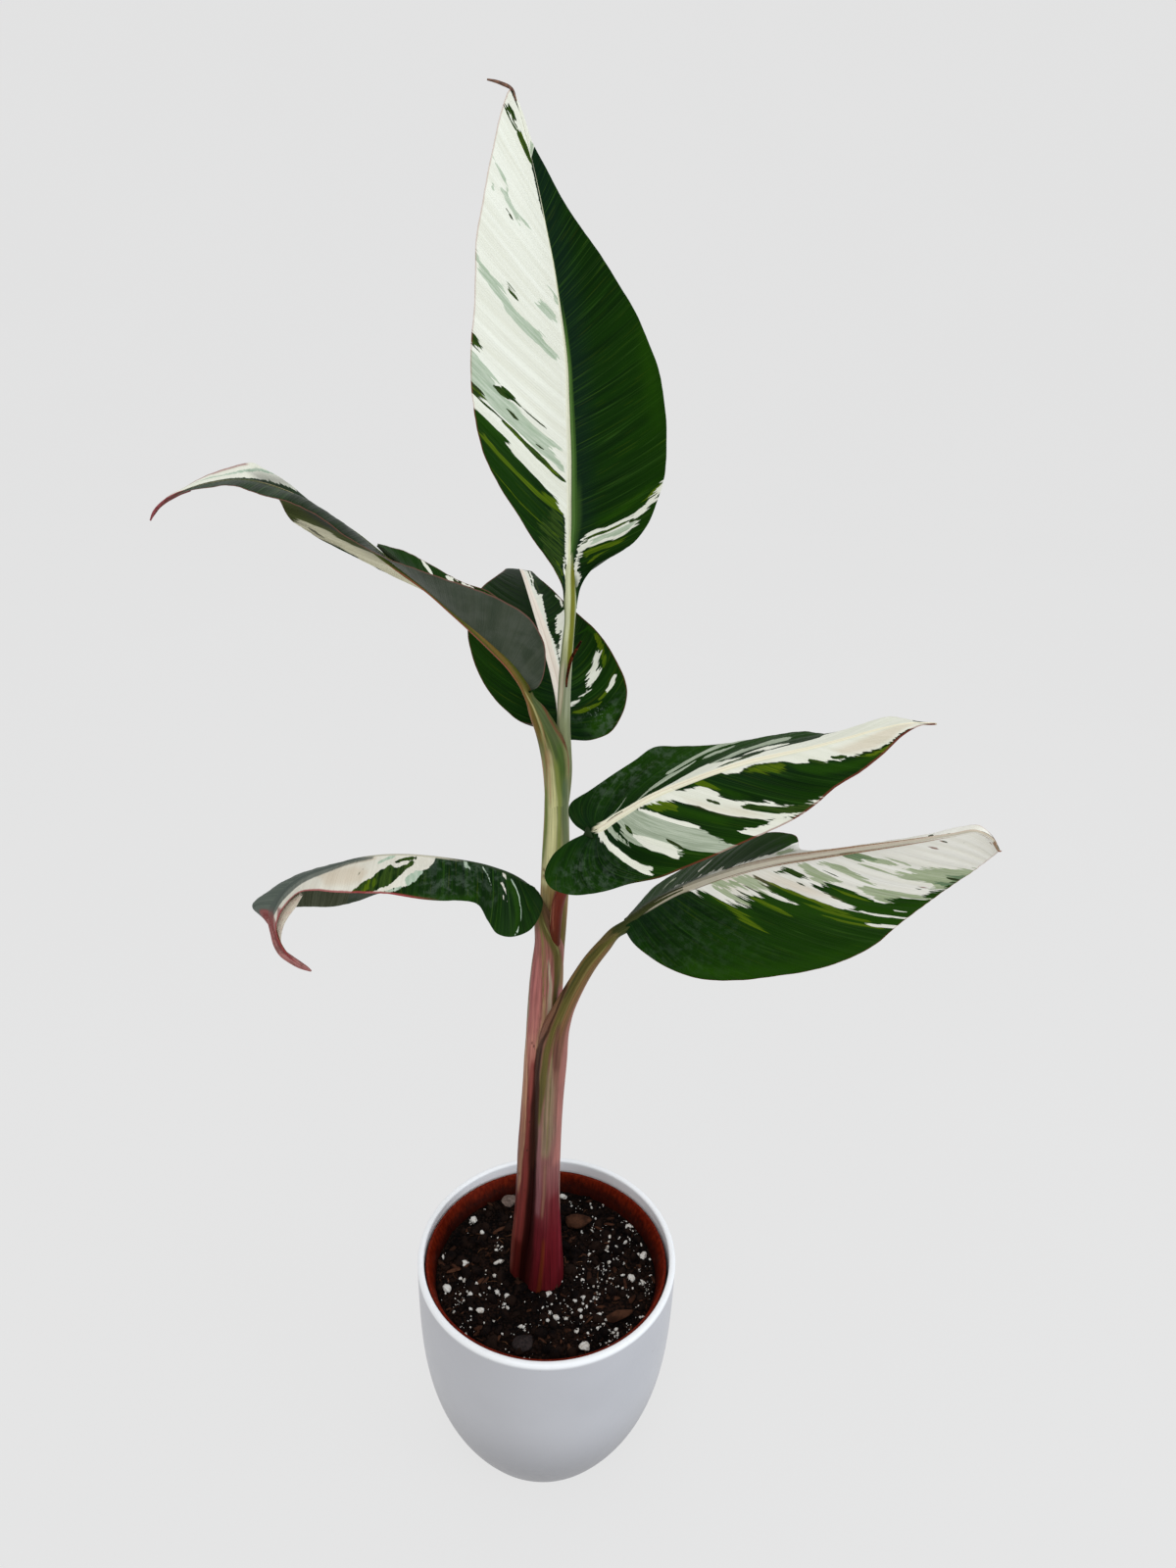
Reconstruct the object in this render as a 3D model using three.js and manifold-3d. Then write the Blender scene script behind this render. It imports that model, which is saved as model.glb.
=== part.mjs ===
// Potted variegated banana plant: a young plant with six leaves on a slender
// pseudostem, standing in a thin plastic nursery pot that sits inside a smooth
// white cover pot.  Millimetres, +Z up, origin at the centre of the cover
// pot's flat underside, +Y towards the back of the plant.
import * as THREE from "three";
import { mergeVertices } from "three/addons/utils/BufferGeometryUtils.js";
import Module from "manifold-3d";

const wasm = await Module();
wasm.setup();

// ---------------------------------------------------------------- dimensions
const GAP = 0.3; // clearance left between neighbouring solids

// cover pot
const COVER_H = 125.2; // height over the rounded lip
const COVER_R = 67.5; // outer radius at the lip
const COVER_BASE_R = 45.1; // outer radius where the wall meets the foot
const COVER_CURVE = 3.67; // how quickly the wall swells above the foot
const COVER_SOFT = 1.07;
const COVER_WALL = 3.3;
const COVER_FLOOR = 3.6;
const COVER_FOOT_R = 41.5; // radius of the flat underside
const COVER_SIDES = 44;

// nursery pot, in its own frame: underside at z = 0
const NURSERY_H = 116;
const NURSERY_TOP_R = 63.2; // outer radius of the rolled rim
const NURSERY_BASE_R = 38.5;
const NURSERY_WALL = 1.3;
const NURSERY_FLOOR = 1.6;
const NURSERY_RIM_H = 9; // height of the thicker rim band
const NURSERY_HOLE_R = 4;
const NURSERY_HOLE_RING_R = 24;
const NURSERY_HOLES = 6;
const NURSERY_SIDES = 40;
const NURSERY_POS = [-1.1, -4.0, 5.3];
const NURSERY_TILT_X = -0.031; // leans back: the front of the rim stands higher
const NURSERY_TILT_Y = 0.008;

// potting mix, in the nursery pot's frame
const MIX_BOTTOM = NURSERY_FLOOR + GAP;
const MIX_EDGE_H = 105.0; // surface height at the wall
const MIX_MOUND = 1.6; // how much higher the surface is around the stem

// leaf blades
const BLADE_T = 0.9; // thickness of the blade solids
const TUBE_SIDES = 8;
const STEM_SIDES = 14;

// stems: [x, y, z, radius] along each path, from inside the soil upwards
const CORE_PATH = [
  [-6.5, 3, 69.4, 7.6],
  [-6.7, 3, 96.5, 7.8],
  [-6.9, 2.5, 119.6, 7.6],
  [-6.7, 2, 164.9, 7],
  [-6, 2, 192.5, 7],
  [-4.4, 2, 228.5, 6.8],
  [-3, 1.5, 271.1, 6.6],
  [-1.3, 1, 310.8, 6.3],
  [0, 0.5, 340.9, 6.2],
  [0.5, 0, 364.4, 6],
  [0.5, 0, 387.6, 5.3],
  [0.3, 0, 401.2, 5],
  [0.6, 0, 409.9, 5.2],
  [1.3, 0, 415.8, 4.4],
];
const SHEATH_LOWER_LEFT = [
  [-11.8, 1, 71.7, 7.8],
  [-11.6, 0.5, 106.8, 8],
  [-10.9, 0, 125.9, 8],
  [-8.6, 0, 166.9, 8],
  [-7.6, 0, 194.4, 8],
  [-5.8, 0, 230.2, 8],
  [-3.9, 0, 272.2, 7.9],
  [-2.3, -0.5, 309.2, 7.3],
  [-1.8, -1.5, 322.3, 6.4],
  [-3.4, -4, 332.8, 4.9],
  [-5.3, -7, 342, 3.3],
  [-7.2, -8.2, 349.3, 2.5],
];
const SHEATH_LOWER_RIGHT = [
  [-2.3, -5, 68, 10.8],
  [-2.1, -5, 100.4, 11.2],
  [-1.9, -4.5, 120.6, 10.6],
  [-1.4, -4, 141.6, 8.8],
  [-1, -5, 172.5, 6.9],
  [-0.9, -5, 199.7, 6.7],
  [-0.4, -5.5, 235.4, 7],
  [0.7, -6.5, 261.5, 7.3],
  [2.3, -8.5, 279.4, 6.4],
  [5.7, -10.5, 292.3, 4.9],
  [9.3, -12.5, 303.4, 4.2],
  [12.8, -14.5, 313.1, 3.8],
  [17.2, -17, 324, 3.5],
  [22.8, -19.5, 334.8, 3.1],
  [27.2, -21.2, 342.5, 2.6],
];
// upright newest leaf: [midrib, halfway a, margin a, halfway b, margin b] per station
const LEAF_TOP = [
  [[4.2, 4, 477.1], [3.2, 3.8, 477.6], [2.1, 3.4, 478.5], [5.4, 3.8, 477.1], [6.5, 3.5, 477.4]],
  [[4.1, 4.3, 480.6], [2.5, 4, 483.4], [0.6, 3.3, 486.8], [6.1, 4.1, 483.3], [8.2, 3.4, 486.6]],
  [[4, 5, 484], [0.4, 4.1, 488.9], [-3.7, 2.7, 495], [8, 4.3, 488.5], [12.9, 3, 494.5]],
  [[3.7, 5.8, 488.1], [-2.5, 4.3, 494.7], [-9.4, 1.8, 503.1], [9.4, 4.6, 491.6], [19.5, 2.2, 499.2]],
  [[3.6, 6.6, 492.5], [-5.6, 4.4, 501.6], [-15.7, 0.6, 513.3], [10.2, 4.9, 494.5], [27.1, 1.2, 504.5]],
  [[3.5, 7.4, 496.9], [-8.8, 4.5, 508.7], [-22.1, -0.6, 523.7], [12.6, 5.3, 500.2], [32.6, 0.7, 512.3]],
  [[3.4, 8.3, 501.3], [-11.7, 4.7, 516.2], [-27.8, -1.6, 534.8], [16.9, 5.9, 508.3], [35.8, 0.7, 521.6]],
  [[3.3, 9.7, 509], [-13.3, 5.7, 525.2], [-30.9, -1.3, 545.5], [20.8, 7.2, 518], [37.9, 1.7, 530.5]],
  [[3.1, 11.2, 517.3], [-14.2, 7.2, 533.2], [-32.3, 0.2, 553], [21, 8.7, 526.6], [38.1, 3.2, 539.1]],
  [[2.9, 12.6, 525.1], [-14.6, 8.6, 539.5], [-33.1, 1.6, 557.9], [20.7, 10.1, 535.4], [37.6, 4.6, 548.7]],
  [[2.6, 14, 534], [-14.9, 10, 548.6], [-33.4, 3, 567], [19.8, 11.5, 544.4], [36.1, 6, 557.7]],
  [[2, 15.7, 544.5], [-15.1, 11.7, 558.3], [-33.1, 4.7, 575.7], [18.3, 13.3, 554.1], [33.9, 8.1, 566.5]],
  [[1.3, 17.2, 554.8], [-14.9, 13.2, 568.8], [-32.1, 6.2, 586.3], [15.8, 15.1, 564.3], [29.6, 10.4, 576]],
  [[0.7, 18.8, 565], [-15, 14.8, 579.8], [-31.7, 7.9, 597.9], [12.9, 16.9, 574.3], [24.6, 12.9, 585.5]],
  [[-0.6, 20.2, 575], [-15.6, 16.4, 589.9], [-31.4, 9.8, 607.8], [9.2, 18.7, 583.7], [18.7, 15.5, 593.8]],
  [[-2.7, 21.6, 586.5], [-15.9, 18.2, 600.4], [-29.9, 12.3, 616.9], [4.8, 20.5, 594.1], [12.1, 18, 602.7]],
  [[-5.1, 23.2, 599.4], [-16.2, 20.3, 612.4], [-28, 15.3, 627.4], [-0.5, 22.5, 605.4], [4.1, 20.9, 612.1]],
  [[-7.8, 24.3, 610.4], [-16.5, 22.1, 623.1], [-25.9, 18.1, 637.3], [-4.8, 23.9, 615], [-2, 22.9, 620]],
  [[-11.1, 25.3, 624.3], [-17.3, 23.7, 634.1], [-24, 20.8, 645], [-9.7, 25.1, 627.1], [-8.4, 24.7, 630.2]],
  [[-14, 26, 634.8], [-18.1, 24.9, 642.1], [-22.5, 23, 650.1], [-13.6, 25.9, 636.5], [-13.3, 25.8, 638.1]],
  [[-17.1, 26, 645.1], [-19.1, 25.4, 648.7], [-21.5, 24.4, 652.8], [-17, 26, 646.3], [-16.9, 26, 647.5]],
  [[-19.4, 26, 651.8], [-20.1, 25.8, 652.6], [-20.9, 25.5, 653.5], [-19.3, 26, 652], [-19.2, 26, 652.3]],
];
const LEAF_TOP_RIB = [
  [3.6, 0.5, 408.8, 3],
  [3.2, 0.5, 417.4, 2.9],
  [2.8, 0.5, 426.3, 2.8],
  [2.6, 0.8, 439.2, 2.6],
  [2.9, 1.4, 451.7, 2.5],
  [3.6, 2.4, 463.8, 2.3],
  [4.2, 3.3, 472.9, 2.1],
  [4.2, 4.8, 477, 2],
  [4.1, 5.1, 480.5, 2],
  [4, 5.8, 483.8, 2],
  [3.7, 6.5, 487.9, 2],
  [3.6, 7.4, 492.4, 2],
  [3.4, 8.2, 496.8, 1.9],
  [3.3, 9.1, 501.2, 1.9],
  [3.3, 10.5, 508.8, 1.9],
  [3, 12, 517.1, 1.9],
  [2.8, 13.4, 525, 1.8],
  [2.6, 14.8, 533.9, 1.7],
  [1.9, 16.5, 544.3, 1.6],
  [1.3, 18, 554.7, 1.5],
  [0.6, 19.5, 564.9, 1.4],
  [-0.7, 20.8, 574.9, 1.2],
  [-2.8, 22.2, 586.4, 1.1],
  [-5.2, 23.7, 599.3, 0.9],
  [-7.9, 24.7, 610.3, 0.8],
  [-11.2, 25.7, 624.2, 0.6],
  [-14.1, 26.2, 634.8, 0.5],
  [-17.2, 26.2, 645.1, 0.4],
];
// leaf going to the back and drooping over: [midrib, halfway a, margin a, halfway b, margin b] per station
const LEAF_REAR = [
  [[2.6, 20, 415], [0.9, 19.5, 416.6], [-0.7, 19, 418.1], [4.1, 20, 413.9], [5.6, 20, 412.8]],
  [[2.3, 22, 416.9], [-3.8, 22, 416.6], [-9.1, 19, 419.7], [8.5, 23, 412.9], [14, 23, 411.7]],
  [[2, 23.5, 418.9], [-7.6, 22.5, 417.7], [-16.6, 18.5, 421.9], [11.8, 25.5, 414.2], [22, 26.5, 413.7]],
  [[1.5, 25, 421.5], [-11, 23, 421], [-23.6, 18, 428.2], [15.1, 28, 417.4], [27.3, 30, 421.1]],
  [[1, 27, 423.8], [-14.5, 24, 425.5], [-29.8, 18, 435.6], [16.6, 31, 421.2], [29.1, 34, 428.2]],
  [[0.2, 29, 427.5], [-17.5, 25, 431.7], [-34.2, 19, 443.8], [15.6, 33, 426.8], [28.1, 37, 434.3]],
  [[-1.1, 33, 430.8], [-20.3, 29, 438.1], [-37.5, 22, 452.5], [14.1, 38, 431.6], [24.9, 42, 439.5]],
  [[-2.6, 38, 434.6], [-22.7, 34, 444.1], [-38.9, 27, 459.7], [11.7, 43, 437.7], [20.4, 47, 445.6]],
  [[-5.2, 46, 439.6], [-24.2, 42, 449.5], [-38.4, 35, 464.7], [7.5, 51, 442.7], [15.1, 55, 449.8]],
  [[-8.3, 57, 445.5], [-24.7, 54, 453.7], [-37.1, 47, 466.8], [2.4, 62, 446.8], [8.3, 66, 452.1]],
  [[-12.7, 72, 451.6], [-25, 70, 457.4], [-35.4, 64, 466.2], [-4.9, 77, 451.1], [0.3, 81, 453.6]],
  [[-16.8, 88, 456.4], [-24.9, 87, 459.7], [-31.7, 82, 464.8], [-11.6, 93, 454.5], [-7.2, 97, 455.2]],
  [[-19.7, 102, 458], [-25, 101, 459.8], [-29.9, 98, 462.2], [-16.5, 106, 456.9], [-13.6, 110, 456]],
  [[-22.3, 116, 457.5], [-25.8, 115, 458.4], [-29.2, 113, 458.9], [-20.1, 119.5, 456.2], [-17.9, 123, 455]],
  [[-23.6, 129, 453], [-26.7, 128, 452.7], [-29.5, 127, 451.9], [-21.3, 131.5, 451.3], [-19, 134, 449.1]],
  [[-24.1, 139, 445.8], [-26.4, 138.3, 445.4], [-28.6, 137.5, 444.6], [-22.2, 140.5, 444.6], [-20.4, 142, 443.2]],
  [[-24.2, 146, 437.9], [-25.2, 145.7, 437.7], [-26.1, 145.3, 437.3], [-23.2, 146.7, 437.4], [-22.2, 147.5, 436.7]],
  [[-23.9, 150, 430.3], [-24, 150, 430.3], [-24.1, 150, 430.3], [-23.8, 150, 430.3], [-23.7, 150, 430.3]],
];
const LEAF_REAR_RIB = [
  [2.7, 3, 400.2, 2.4],
  [3.1, 8, 409.2, 2.4],
  [3.3, 15, 412.8, 2.3],
  [2.2, 20.4, 414.5, 2.1],
  [2, 22.5, 416.3, 2.1],
  [1.8, 24.1, 418.5, 2.1],
  [1.3, 25.6, 421, 2.1],
  [0.7, 27.6, 423.3, 2.1],
  [-0.1, 29.5, 427, 2.1],
  [-1.3, 33.4, 430.2, 2],
  [-2.9, 38.4, 434, 2],
  [-5.5, 46.3, 438.9, 2],
  [-8.7, 57.2, 444.8, 1.9],
  [-13, 72.2, 450.9, 1.7],
  [-17.1, 88.1, 455.7, 1.5],
  [-20, 102, 457.4, 1.3],
  [-22.4, 115.9, 456.9, 1.1],
  [-23.6, 128.8, 452.5, 0.9],
  [-24, 138.8, 445.5, 0.7],
  [-24.1, 145.8, 437.7, 0.5],
];
// leaf going to the right at mid height: [midrib, halfway a, margin a, halfway b, margin b] per station
const LEAF_MID_RIGHT = [
  [[15.2, -34, 398.2], [13.9, -34.5, 397.9], [12.5, -35, 397.5], [14, -33.5, 397.9], [12.9, -33, 397.7]],
  [[15.8, -34, 398.6], [11, -35, 396.6], [7.6, -36, 395.2], [12, -32, 398.9], [8.9, -31, 399.6]],
  [[16.3, -34, 399], [7.2, -36, 394.8], [0.8, -38, 389.9], [10.8, -31, 400.5], [6, -28, 403.1]],
  [[16.9, -34.2, 399.5], [6.5, -37.2, 391.4], [-2.5, -41.2, 384.1], [11.1, -29.2, 402.6], [7, -24.2, 406]],
  [[17.4, -34.4, 400], [7.8, -38.4, 387.7], [-0.7, -43.4, 378.7], [14.5, -26.4, 404.4], [14.3, -19.4, 409.3]],
  [[18.4, -34.7, 401], [11, -39.7, 385.9], [7.1, -45.7, 376.3], [19.5, -24.7, 407.2], [23.1, -15.7, 414.8]],
  [[19.7, -35, 402.2], [17.2, -41, 386.9], [19.4, -48, 379.4], [24.8, -23, 410], [31.9, -13, 420.3]],
  [[21.4, -35.3, 403.8], [23.6, -42.3, 390.7], [30.6, -49.3, 384.5], [30.1, -22.3, 413.8], [39.2, -11.3, 425.5]],
  [[24.1, -35.8, 406.6], [31.1, -42.8, 394.4], [41.8, -50.8, 388.6], [36.6, -21.8, 415.9], [48.3, -9.8, 425.5]],
  [[28.2, -36.5, 409.9], [38.4, -44.5, 399.6], [51.1, -52.5, 394.4], [43.1, -21.5, 418.2], [57, -9.5, 425.9]],
  [[33.6, -37.2, 414.4], [46.3, -45.2, 405.1], [60.6, -54.2, 400.5], [50.6, -22.2, 421.4], [67.2, -9.2, 427]],
  [[40.5, -38, 419.1], [55.2, -46, 410.6], [70, -55, 406.5], [59.2, -23, 425.2], [77.1, -10, 429.5]],
  [[49.1, -39, 423.9], [64.8, -47, 416.2], [78.9, -56, 412.3], [68.7, -24, 429.4], [87.6, -11, 432.5]],
  [[59.8, -40.5, 429.7], [74.7, -48.5, 422.4], [88.4, -56.5, 418.3], [78.7, -26.5, 433.9], [97.6, -14.5, 436]],
  [[71.7, -42, 435.2], [84.7, -49, 428.4], [96.2, -57, 425.3], [88.8, -30, 437.6], [106.2, -20, 437.8]],
  [[84.1, -44, 439.9], [94.3, -50, 435.3], [103.4, -57, 433.6], [98.6, -34, 441.3], [113.2, -26, 443.1]],
  [[96.3, -46, 444.5], [104.5, -51, 441.4], [112, -56, 439.8], [107.6, -38, 446.3], [118.7, -32, 448.6]],
  [[107.6, -48, 449.4], [113.6, -51.5, 447.5], [119.3, -55, 446.7], [115.5, -42.5, 451.5], [123.3, -38, 453.5]],
  [[117.9, -50, 454.1], [121.4, -52, 453.5], [125.2, -54, 453.4], [122.8, -46.5, 454.9], [127.4, -44, 455.9]],
  [[126.5, -52, 457.4], [128.5, -52.7, 457.2], [130.4, -53.5, 457], [128.6, -51, 457.6], [130.8, -50, 457.6]],
  [[136.6, -54, 458.8], [136.6, -54, 458.8], [136.6, -54, 458.8], [136.6, -54, 458.8], [136.6, -54, 458.8]],
];
const LEAF_MID_RIGHT_RIB = [
  [1, -3, 318.1, 2.2],
  [1.8, -7, 332.5, 2.8],
  [3, -14, 349.9, 2.9],
  [7.4, -25, 373.1, 2.6],
  [12.3, -31.5, 391, 2.3],
  [15.7, -34, 397.6, 2],
  [17.5, -33.9, 399, 2],
  [20.2, -34.6, 401.7, 1.9],
  [21.9, -34.9, 403.3, 1.9],
  [24.6, -35.4, 406.1, 1.9],
  [28.7, -36.2, 409.4, 1.8],
  [34.1, -36.9, 413.8, 1.7],
  [40.9, -37.7, 418.5, 1.7],
  [49.5, -38.8, 423.3, 1.6],
  [60.1, -40.3, 429, 1.5],
  [72, -41.9, 434.5, 1.4],
  [84.4, -43.9, 439.2, 1.2],
  [96.6, -45.9, 444, 1],
  [107.8, -47.9, 449, 0.9],
  [118.1, -49.9, 453.7, 0.7],
  [126.6, -52, 457.1, 0.6],
];
// leaf arching down to the left: [midrib, halfway a, margin a, halfway b, margin b] per station
const LEAF_LOWER_LEFT = [
  [[-9.9, -9, 356.2], [-7.4, -10, 355.4], [-5.6, -11, 353.6], [-11.3, -7, 355.9], [-12.7, -6, 355.2]],
  [[-11.2, -9.5, 357.9], [-6.8, -11.5, 354.9], [-4.2, -14.5, 352], [-13.6, -4.5, 354.7], [-16.4, -1.5, 351.2]],
  [[-12.8, -10, 359.6], [-8, -13.5, 353.2], [-5.2, -18, 347.8], [-16.3, -2, 353.5], [-20.1, 3, 346.7]],
  [[-14.7, -10.5, 361.4], [-10.8, -15.5, 351.9], [-9.1, -21.5, 342.5], [-19, -0.5, 352.5], [-23.9, 6.5, 342.8]],
  [[-17, -11, 363], [-14.9, -17, 351.2], [-16.4, -24, 340.4], [-22.1, 1, 352.2], [-28.1, 9, 340]],
  [[-19.8, -12, 365], [-19.7, -19, 353.8], [-22.4, -27, 343.7], [-25.5, 1, 353], [-32.1, 10, 338.6]],
  [[-23.4, -13, 366.9], [-24.1, -21, 359.3], [-26.3, -29, 351.8], [-29.8, 1, 354.6], [-37, 10, 338.4]],
  [[-28.3, -14, 369.3], [-28.8, -22.5, 364.9], [-30, -31, 360.7], [-34.9, 0, 355.6], [-42.7, 10, 338.7]],
  [[-34.8, -15, 371.3], [-35.5, -24, 367.5], [-36.7, -32.5, 363.3], [-41.5, -1, 357.4], [-49.6, 9, 340.1]],
  [[-42.8, -16, 373.1], [-43.9, -25, 369.2], [-45.3, -34, 364], [-49.9, -2, 358.7], [-57.8, 8, 341]],
  [[-52, -17, 374.7], [-53.4, -26, 370.9], [-55.5, -35, 365.4], [-59.5, -3, 359.4], [-67.8, 7, 341.2]],
  [[-62, -18, 375.6], [-64, -27, 372], [-65.9, -36, 367.7], [-69.1, -4, 359.7], [-78.4, 5, 341.1]],
  [[-72, -19, 375.4], [-74.6, -28, 372.5], [-77.6, -37, 368.4], [-79.7, -6, 360], [-88.7, 3, 337.8]],
  [[-82.1, -20, 373.7], [-84.6, -28.5, 371.7], [-86.7, -37, 368.3], [-89.8, -8, 360.3], [-98.6, 0, 336.8]],
  [[-91.9, -21, 370.4], [-93.6, -28.5, 369.7], [-95.2, -36, 368.2], [-100.5, -10, 358.2], [-107.8, -3, 338.4]],
  [[-100.9, -22, 366.1], [-102, -28, 366], [-102.7, -34, 365.5], [-110.1, -13, 354.8], [-114.5, -7, 340.2]],
  [[-108.5, -23, 361.1], [-108.2, -27.5, 360.6], [-108, -32, 359.7], [-118.2, -16, 350.4], [-120.4, -11, 340.1]],
  [[-114, -24, 355.3], [-113.4, -27, 353.9], [-112.4, -30, 352.5], [-123.5, -19, 347.7], [-122.7, -16, 341.8]],
  [[-117, -25, 349], [-116.1, -27, 347.4], [-114.9, -29, 345.8], [-120.8, -22, 346.4], [-120.6, -21, 342.2]],
  [[-117.1, -26, 341.7], [-116.2, -27.2, 340.6], [-115.1, -28.5, 340.1], [-117.6, -25, 340.8], [-118.4, -24, 339.3]],
  [[-115, -26.5, 333.2], [-114.4, -27.2, 333.2], [-113.5, -28, 333.8], [-115.4, -26, 332.3], [-116.1, -25.5, 331.1]],
  [[-110.1, -27, 326.1], [-109.5, -27.4, 326.6], [-109.2, -27.8, 327], [-110.4, -26.8, 325.4], [-110.7, -26.5, 324.7]],
  [[-102.9, -27, 321], [-102.9, -27, 321], [-102.9, -27, 321], [-102.9, -27, 321], [-102.9, -27, 321]],
];
const LEAF_LOWER_LEFT_RIB = [
  [-5.3, -7, 342, 3.3],
  [-7.2, -8.2, 349.3, 2.5],
  [-10.4, -9.5, 355.7, 1.9],
  [-13.3, -10.3, 359.1, 1.8],
  [-15.1, -10.7, 360.7, 1.8],
  [-17.4, -11.2, 362.4, 1.8],
  [-20.2, -12.2, 364.3, 1.7],
  [-23.7, -13.3, 366.2, 1.7],
  [-28.5, -14.4, 368.6, 1.6],
  [-34.9, -15.4, 370.6, 1.5],
  [-42.9, -16.4, 372.4, 1.5],
  [-52.1, -17.4, 374, 1.4],
  [-62, -18.4, 375, 1.3],
  [-71.9, -19.4, 374.8, 1.3],
  [-81.9, -20.4, 373.2, 1.2],
  [-91.7, -21.3, 369.9, 1.1],
  [-100.7, -22.3, 365.7, 1.1],
  [-108.1, -23.2, 360.7, 1],
  [-113.6, -23.9, 355, 1],
  [-116.6, -24.8, 348.8, 0.9],
  [-116.7, -25.7, 341.8, 0.8],
  [-114.8, -26.2, 333.2, 0.7],
  [-110, -26.7, 326.2, 0.5],
];
// lowest leaf, going to the right and forwards: [midrib, halfway a, margin a, halfway b, margin b] per station
const LEAF_LOWER_RIGHT = [
  [[30.7, -22, 347.9], [30.5, -22.5, 347.2], [30.3, -23, 346.6], [30.8, -21.2, 348.1], [30.9, -20.5, 348.4]],
  [[31.6, -22.6, 349.3], [32.6, -24.1, 345.2], [34.2, -25.6, 341], [32.1, -20.6, 349.5], [32.7, -18.6, 350.2]],
  [[33, -23.5, 351.2], [36.8, -26, 343.4], [41.9, -28.5, 335.9], [33.9, -19.5, 351.3], [35.2, -15.5, 351.4]],
  [[34.9, -24.7, 353.8], [42.8, -28.2, 341.7], [52.4, -31.7, 331.3], [36.7, -18.2, 354], [38.9, -11.7, 354.3]],
  [[37.1, -26.2, 357.1], [49.7, -30.7, 341.7], [63.8, -35.2, 330], [39.8, -17.7, 357.3], [43, -9.2, 357.9]],
  [[40.1, -28.2, 361.2], [58, -33.7, 343.7], [77.2, -39.2, 332.8], [43.7, -18.2, 361.1], [48.3, -8.2, 361.9]],
  [[44.6, -31, 366.5], [68, -37, 348.1], [92.4, -43, 338.2], [49.5, -20, 366.9], [55.4, -9, 367.8]],
  [[50.4, -34.5, 372.7], [78.3, -40.5, 354.6], [107, -47.5, 345.3], [57, -22.5, 373.5], [64.7, -10.5, 374.6]],
  [[57.2, -38.5, 379], [88.2, -44.5, 362.3], [118.3, -51.5, 353.7], [65.5, -25.5, 380.8], [75.3, -13.5, 382.5]],
  [[65.7, -43, 386], [98, -49, 371.1], [127.9, -55, 363.9], [76, -30, 388.5], [87.5, -17, 390.8]],
  [[75.2, -48.5, 393.5], [106.5, -54, 380.2], [133.6, -59.5, 375.7], [85.8, -35.5, 393.5], [98.1, -22.5, 393.2]],
  [[85.5, -54, 400.3], [114.4, -58.5, 388.5], [139.4, -63, 385.8], [92.5, -41, 396.1], [99.4, -29, 391.1]],
  [[96.5, -60, 406.4], [122.6, -63.5, 397], [144.3, -67, 395.1], [102.4, -49, 401.6], [108.6, -38, 396.5]],
  [[107.7, -66, 412.5], [129.6, -68.5, 405.9], [148.7, -71, 403.6], [113.1, -57, 408.7], [119, -48, 404.7]],
  [[119.2, -72, 418.5], [136.8, -73.5, 413.5], [152, -75, 410.7], [123.8, -65, 416], [128.6, -58, 413.2]],
  [[130.4, -77, 424], [143.2, -78, 420.5], [154, -79, 416.7], [133.9, -72, 422.7], [137.8, -67, 421.2]],
  [[140.3, -81, 428.9], [148.6, -81.5, 425.5], [155.4, -82, 421.1], [142.4, -78, 429], [145, -75, 428.8]],
  [[147.7, -84, 432], [151.9, -84.3, 428.9], [155.8, -84.5, 424.2], [148.8, -82.5, 432.2], [149.9, -81, 432.3]],
  [[152.3, -85.5, 430.1], [154.2, -85.7, 428], [155.8, -85.8, 425.8], [152.8, -85, 430.1], [153.3, -84.5, 430]],
  [[155.9, -86, 425.7], [155.9, -86, 425.7], [155.9, -86, 425.7], [155.9, -86, 425.7], [155.9, -86, 425.7]],
];
const LEAF_LOWER_RIGHT_RIB = [
  [17.2, -17, 324, 3.5],
  [22.8, -19.5, 334.8, 3.1],
  [27.2, -21.2, 342.5, 2.6],
  [31.3, -21.9, 347.5, 2.2],
  [33.6, -23, 351, 2.2],
  [35.5, -24.2, 353.7, 2.2],
  [37.7, -25.6, 357, 2.2],
  [40.7, -27.6, 361.1, 2.1],
  [45.1, -30.4, 366.4, 2.1],
  [50.9, -33.9, 372.6, 2.1],
  [57.7, -37.9, 378.9, 2],
  [66.1, -42.4, 385.8, 2],
  [75.7, -47.9, 393.3, 1.9],
  [85.9, -53.4, 400, 1.7],
  [96.9, -59.4, 406.1, 1.6],
  [108.1, -65.4, 412.2, 1.4],
  [119.5, -71.5, 418.3, 1.2],
  [130.7, -76.6, 423.8, 1],
  [140.5, -80.6, 428.8, 0.7],
  [147.8, -83.7, 432, 0.6],
  [152.4, -85.2, 430.1, 0.5],
];
const LEAF_TOP_HOOK = [
  [-19.1, 26, 650, 0.6],
  [-20.4, 26, 653.6, 0.5],
  [-21.6, 25.5, 654.3, 0.6],
  [-23.2, 25, 654.8, 0.6],
  [-25.6, 24, 655.5, 0.5],
  [-28.5, 23.5, 655.9, 0.3],
];
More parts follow.
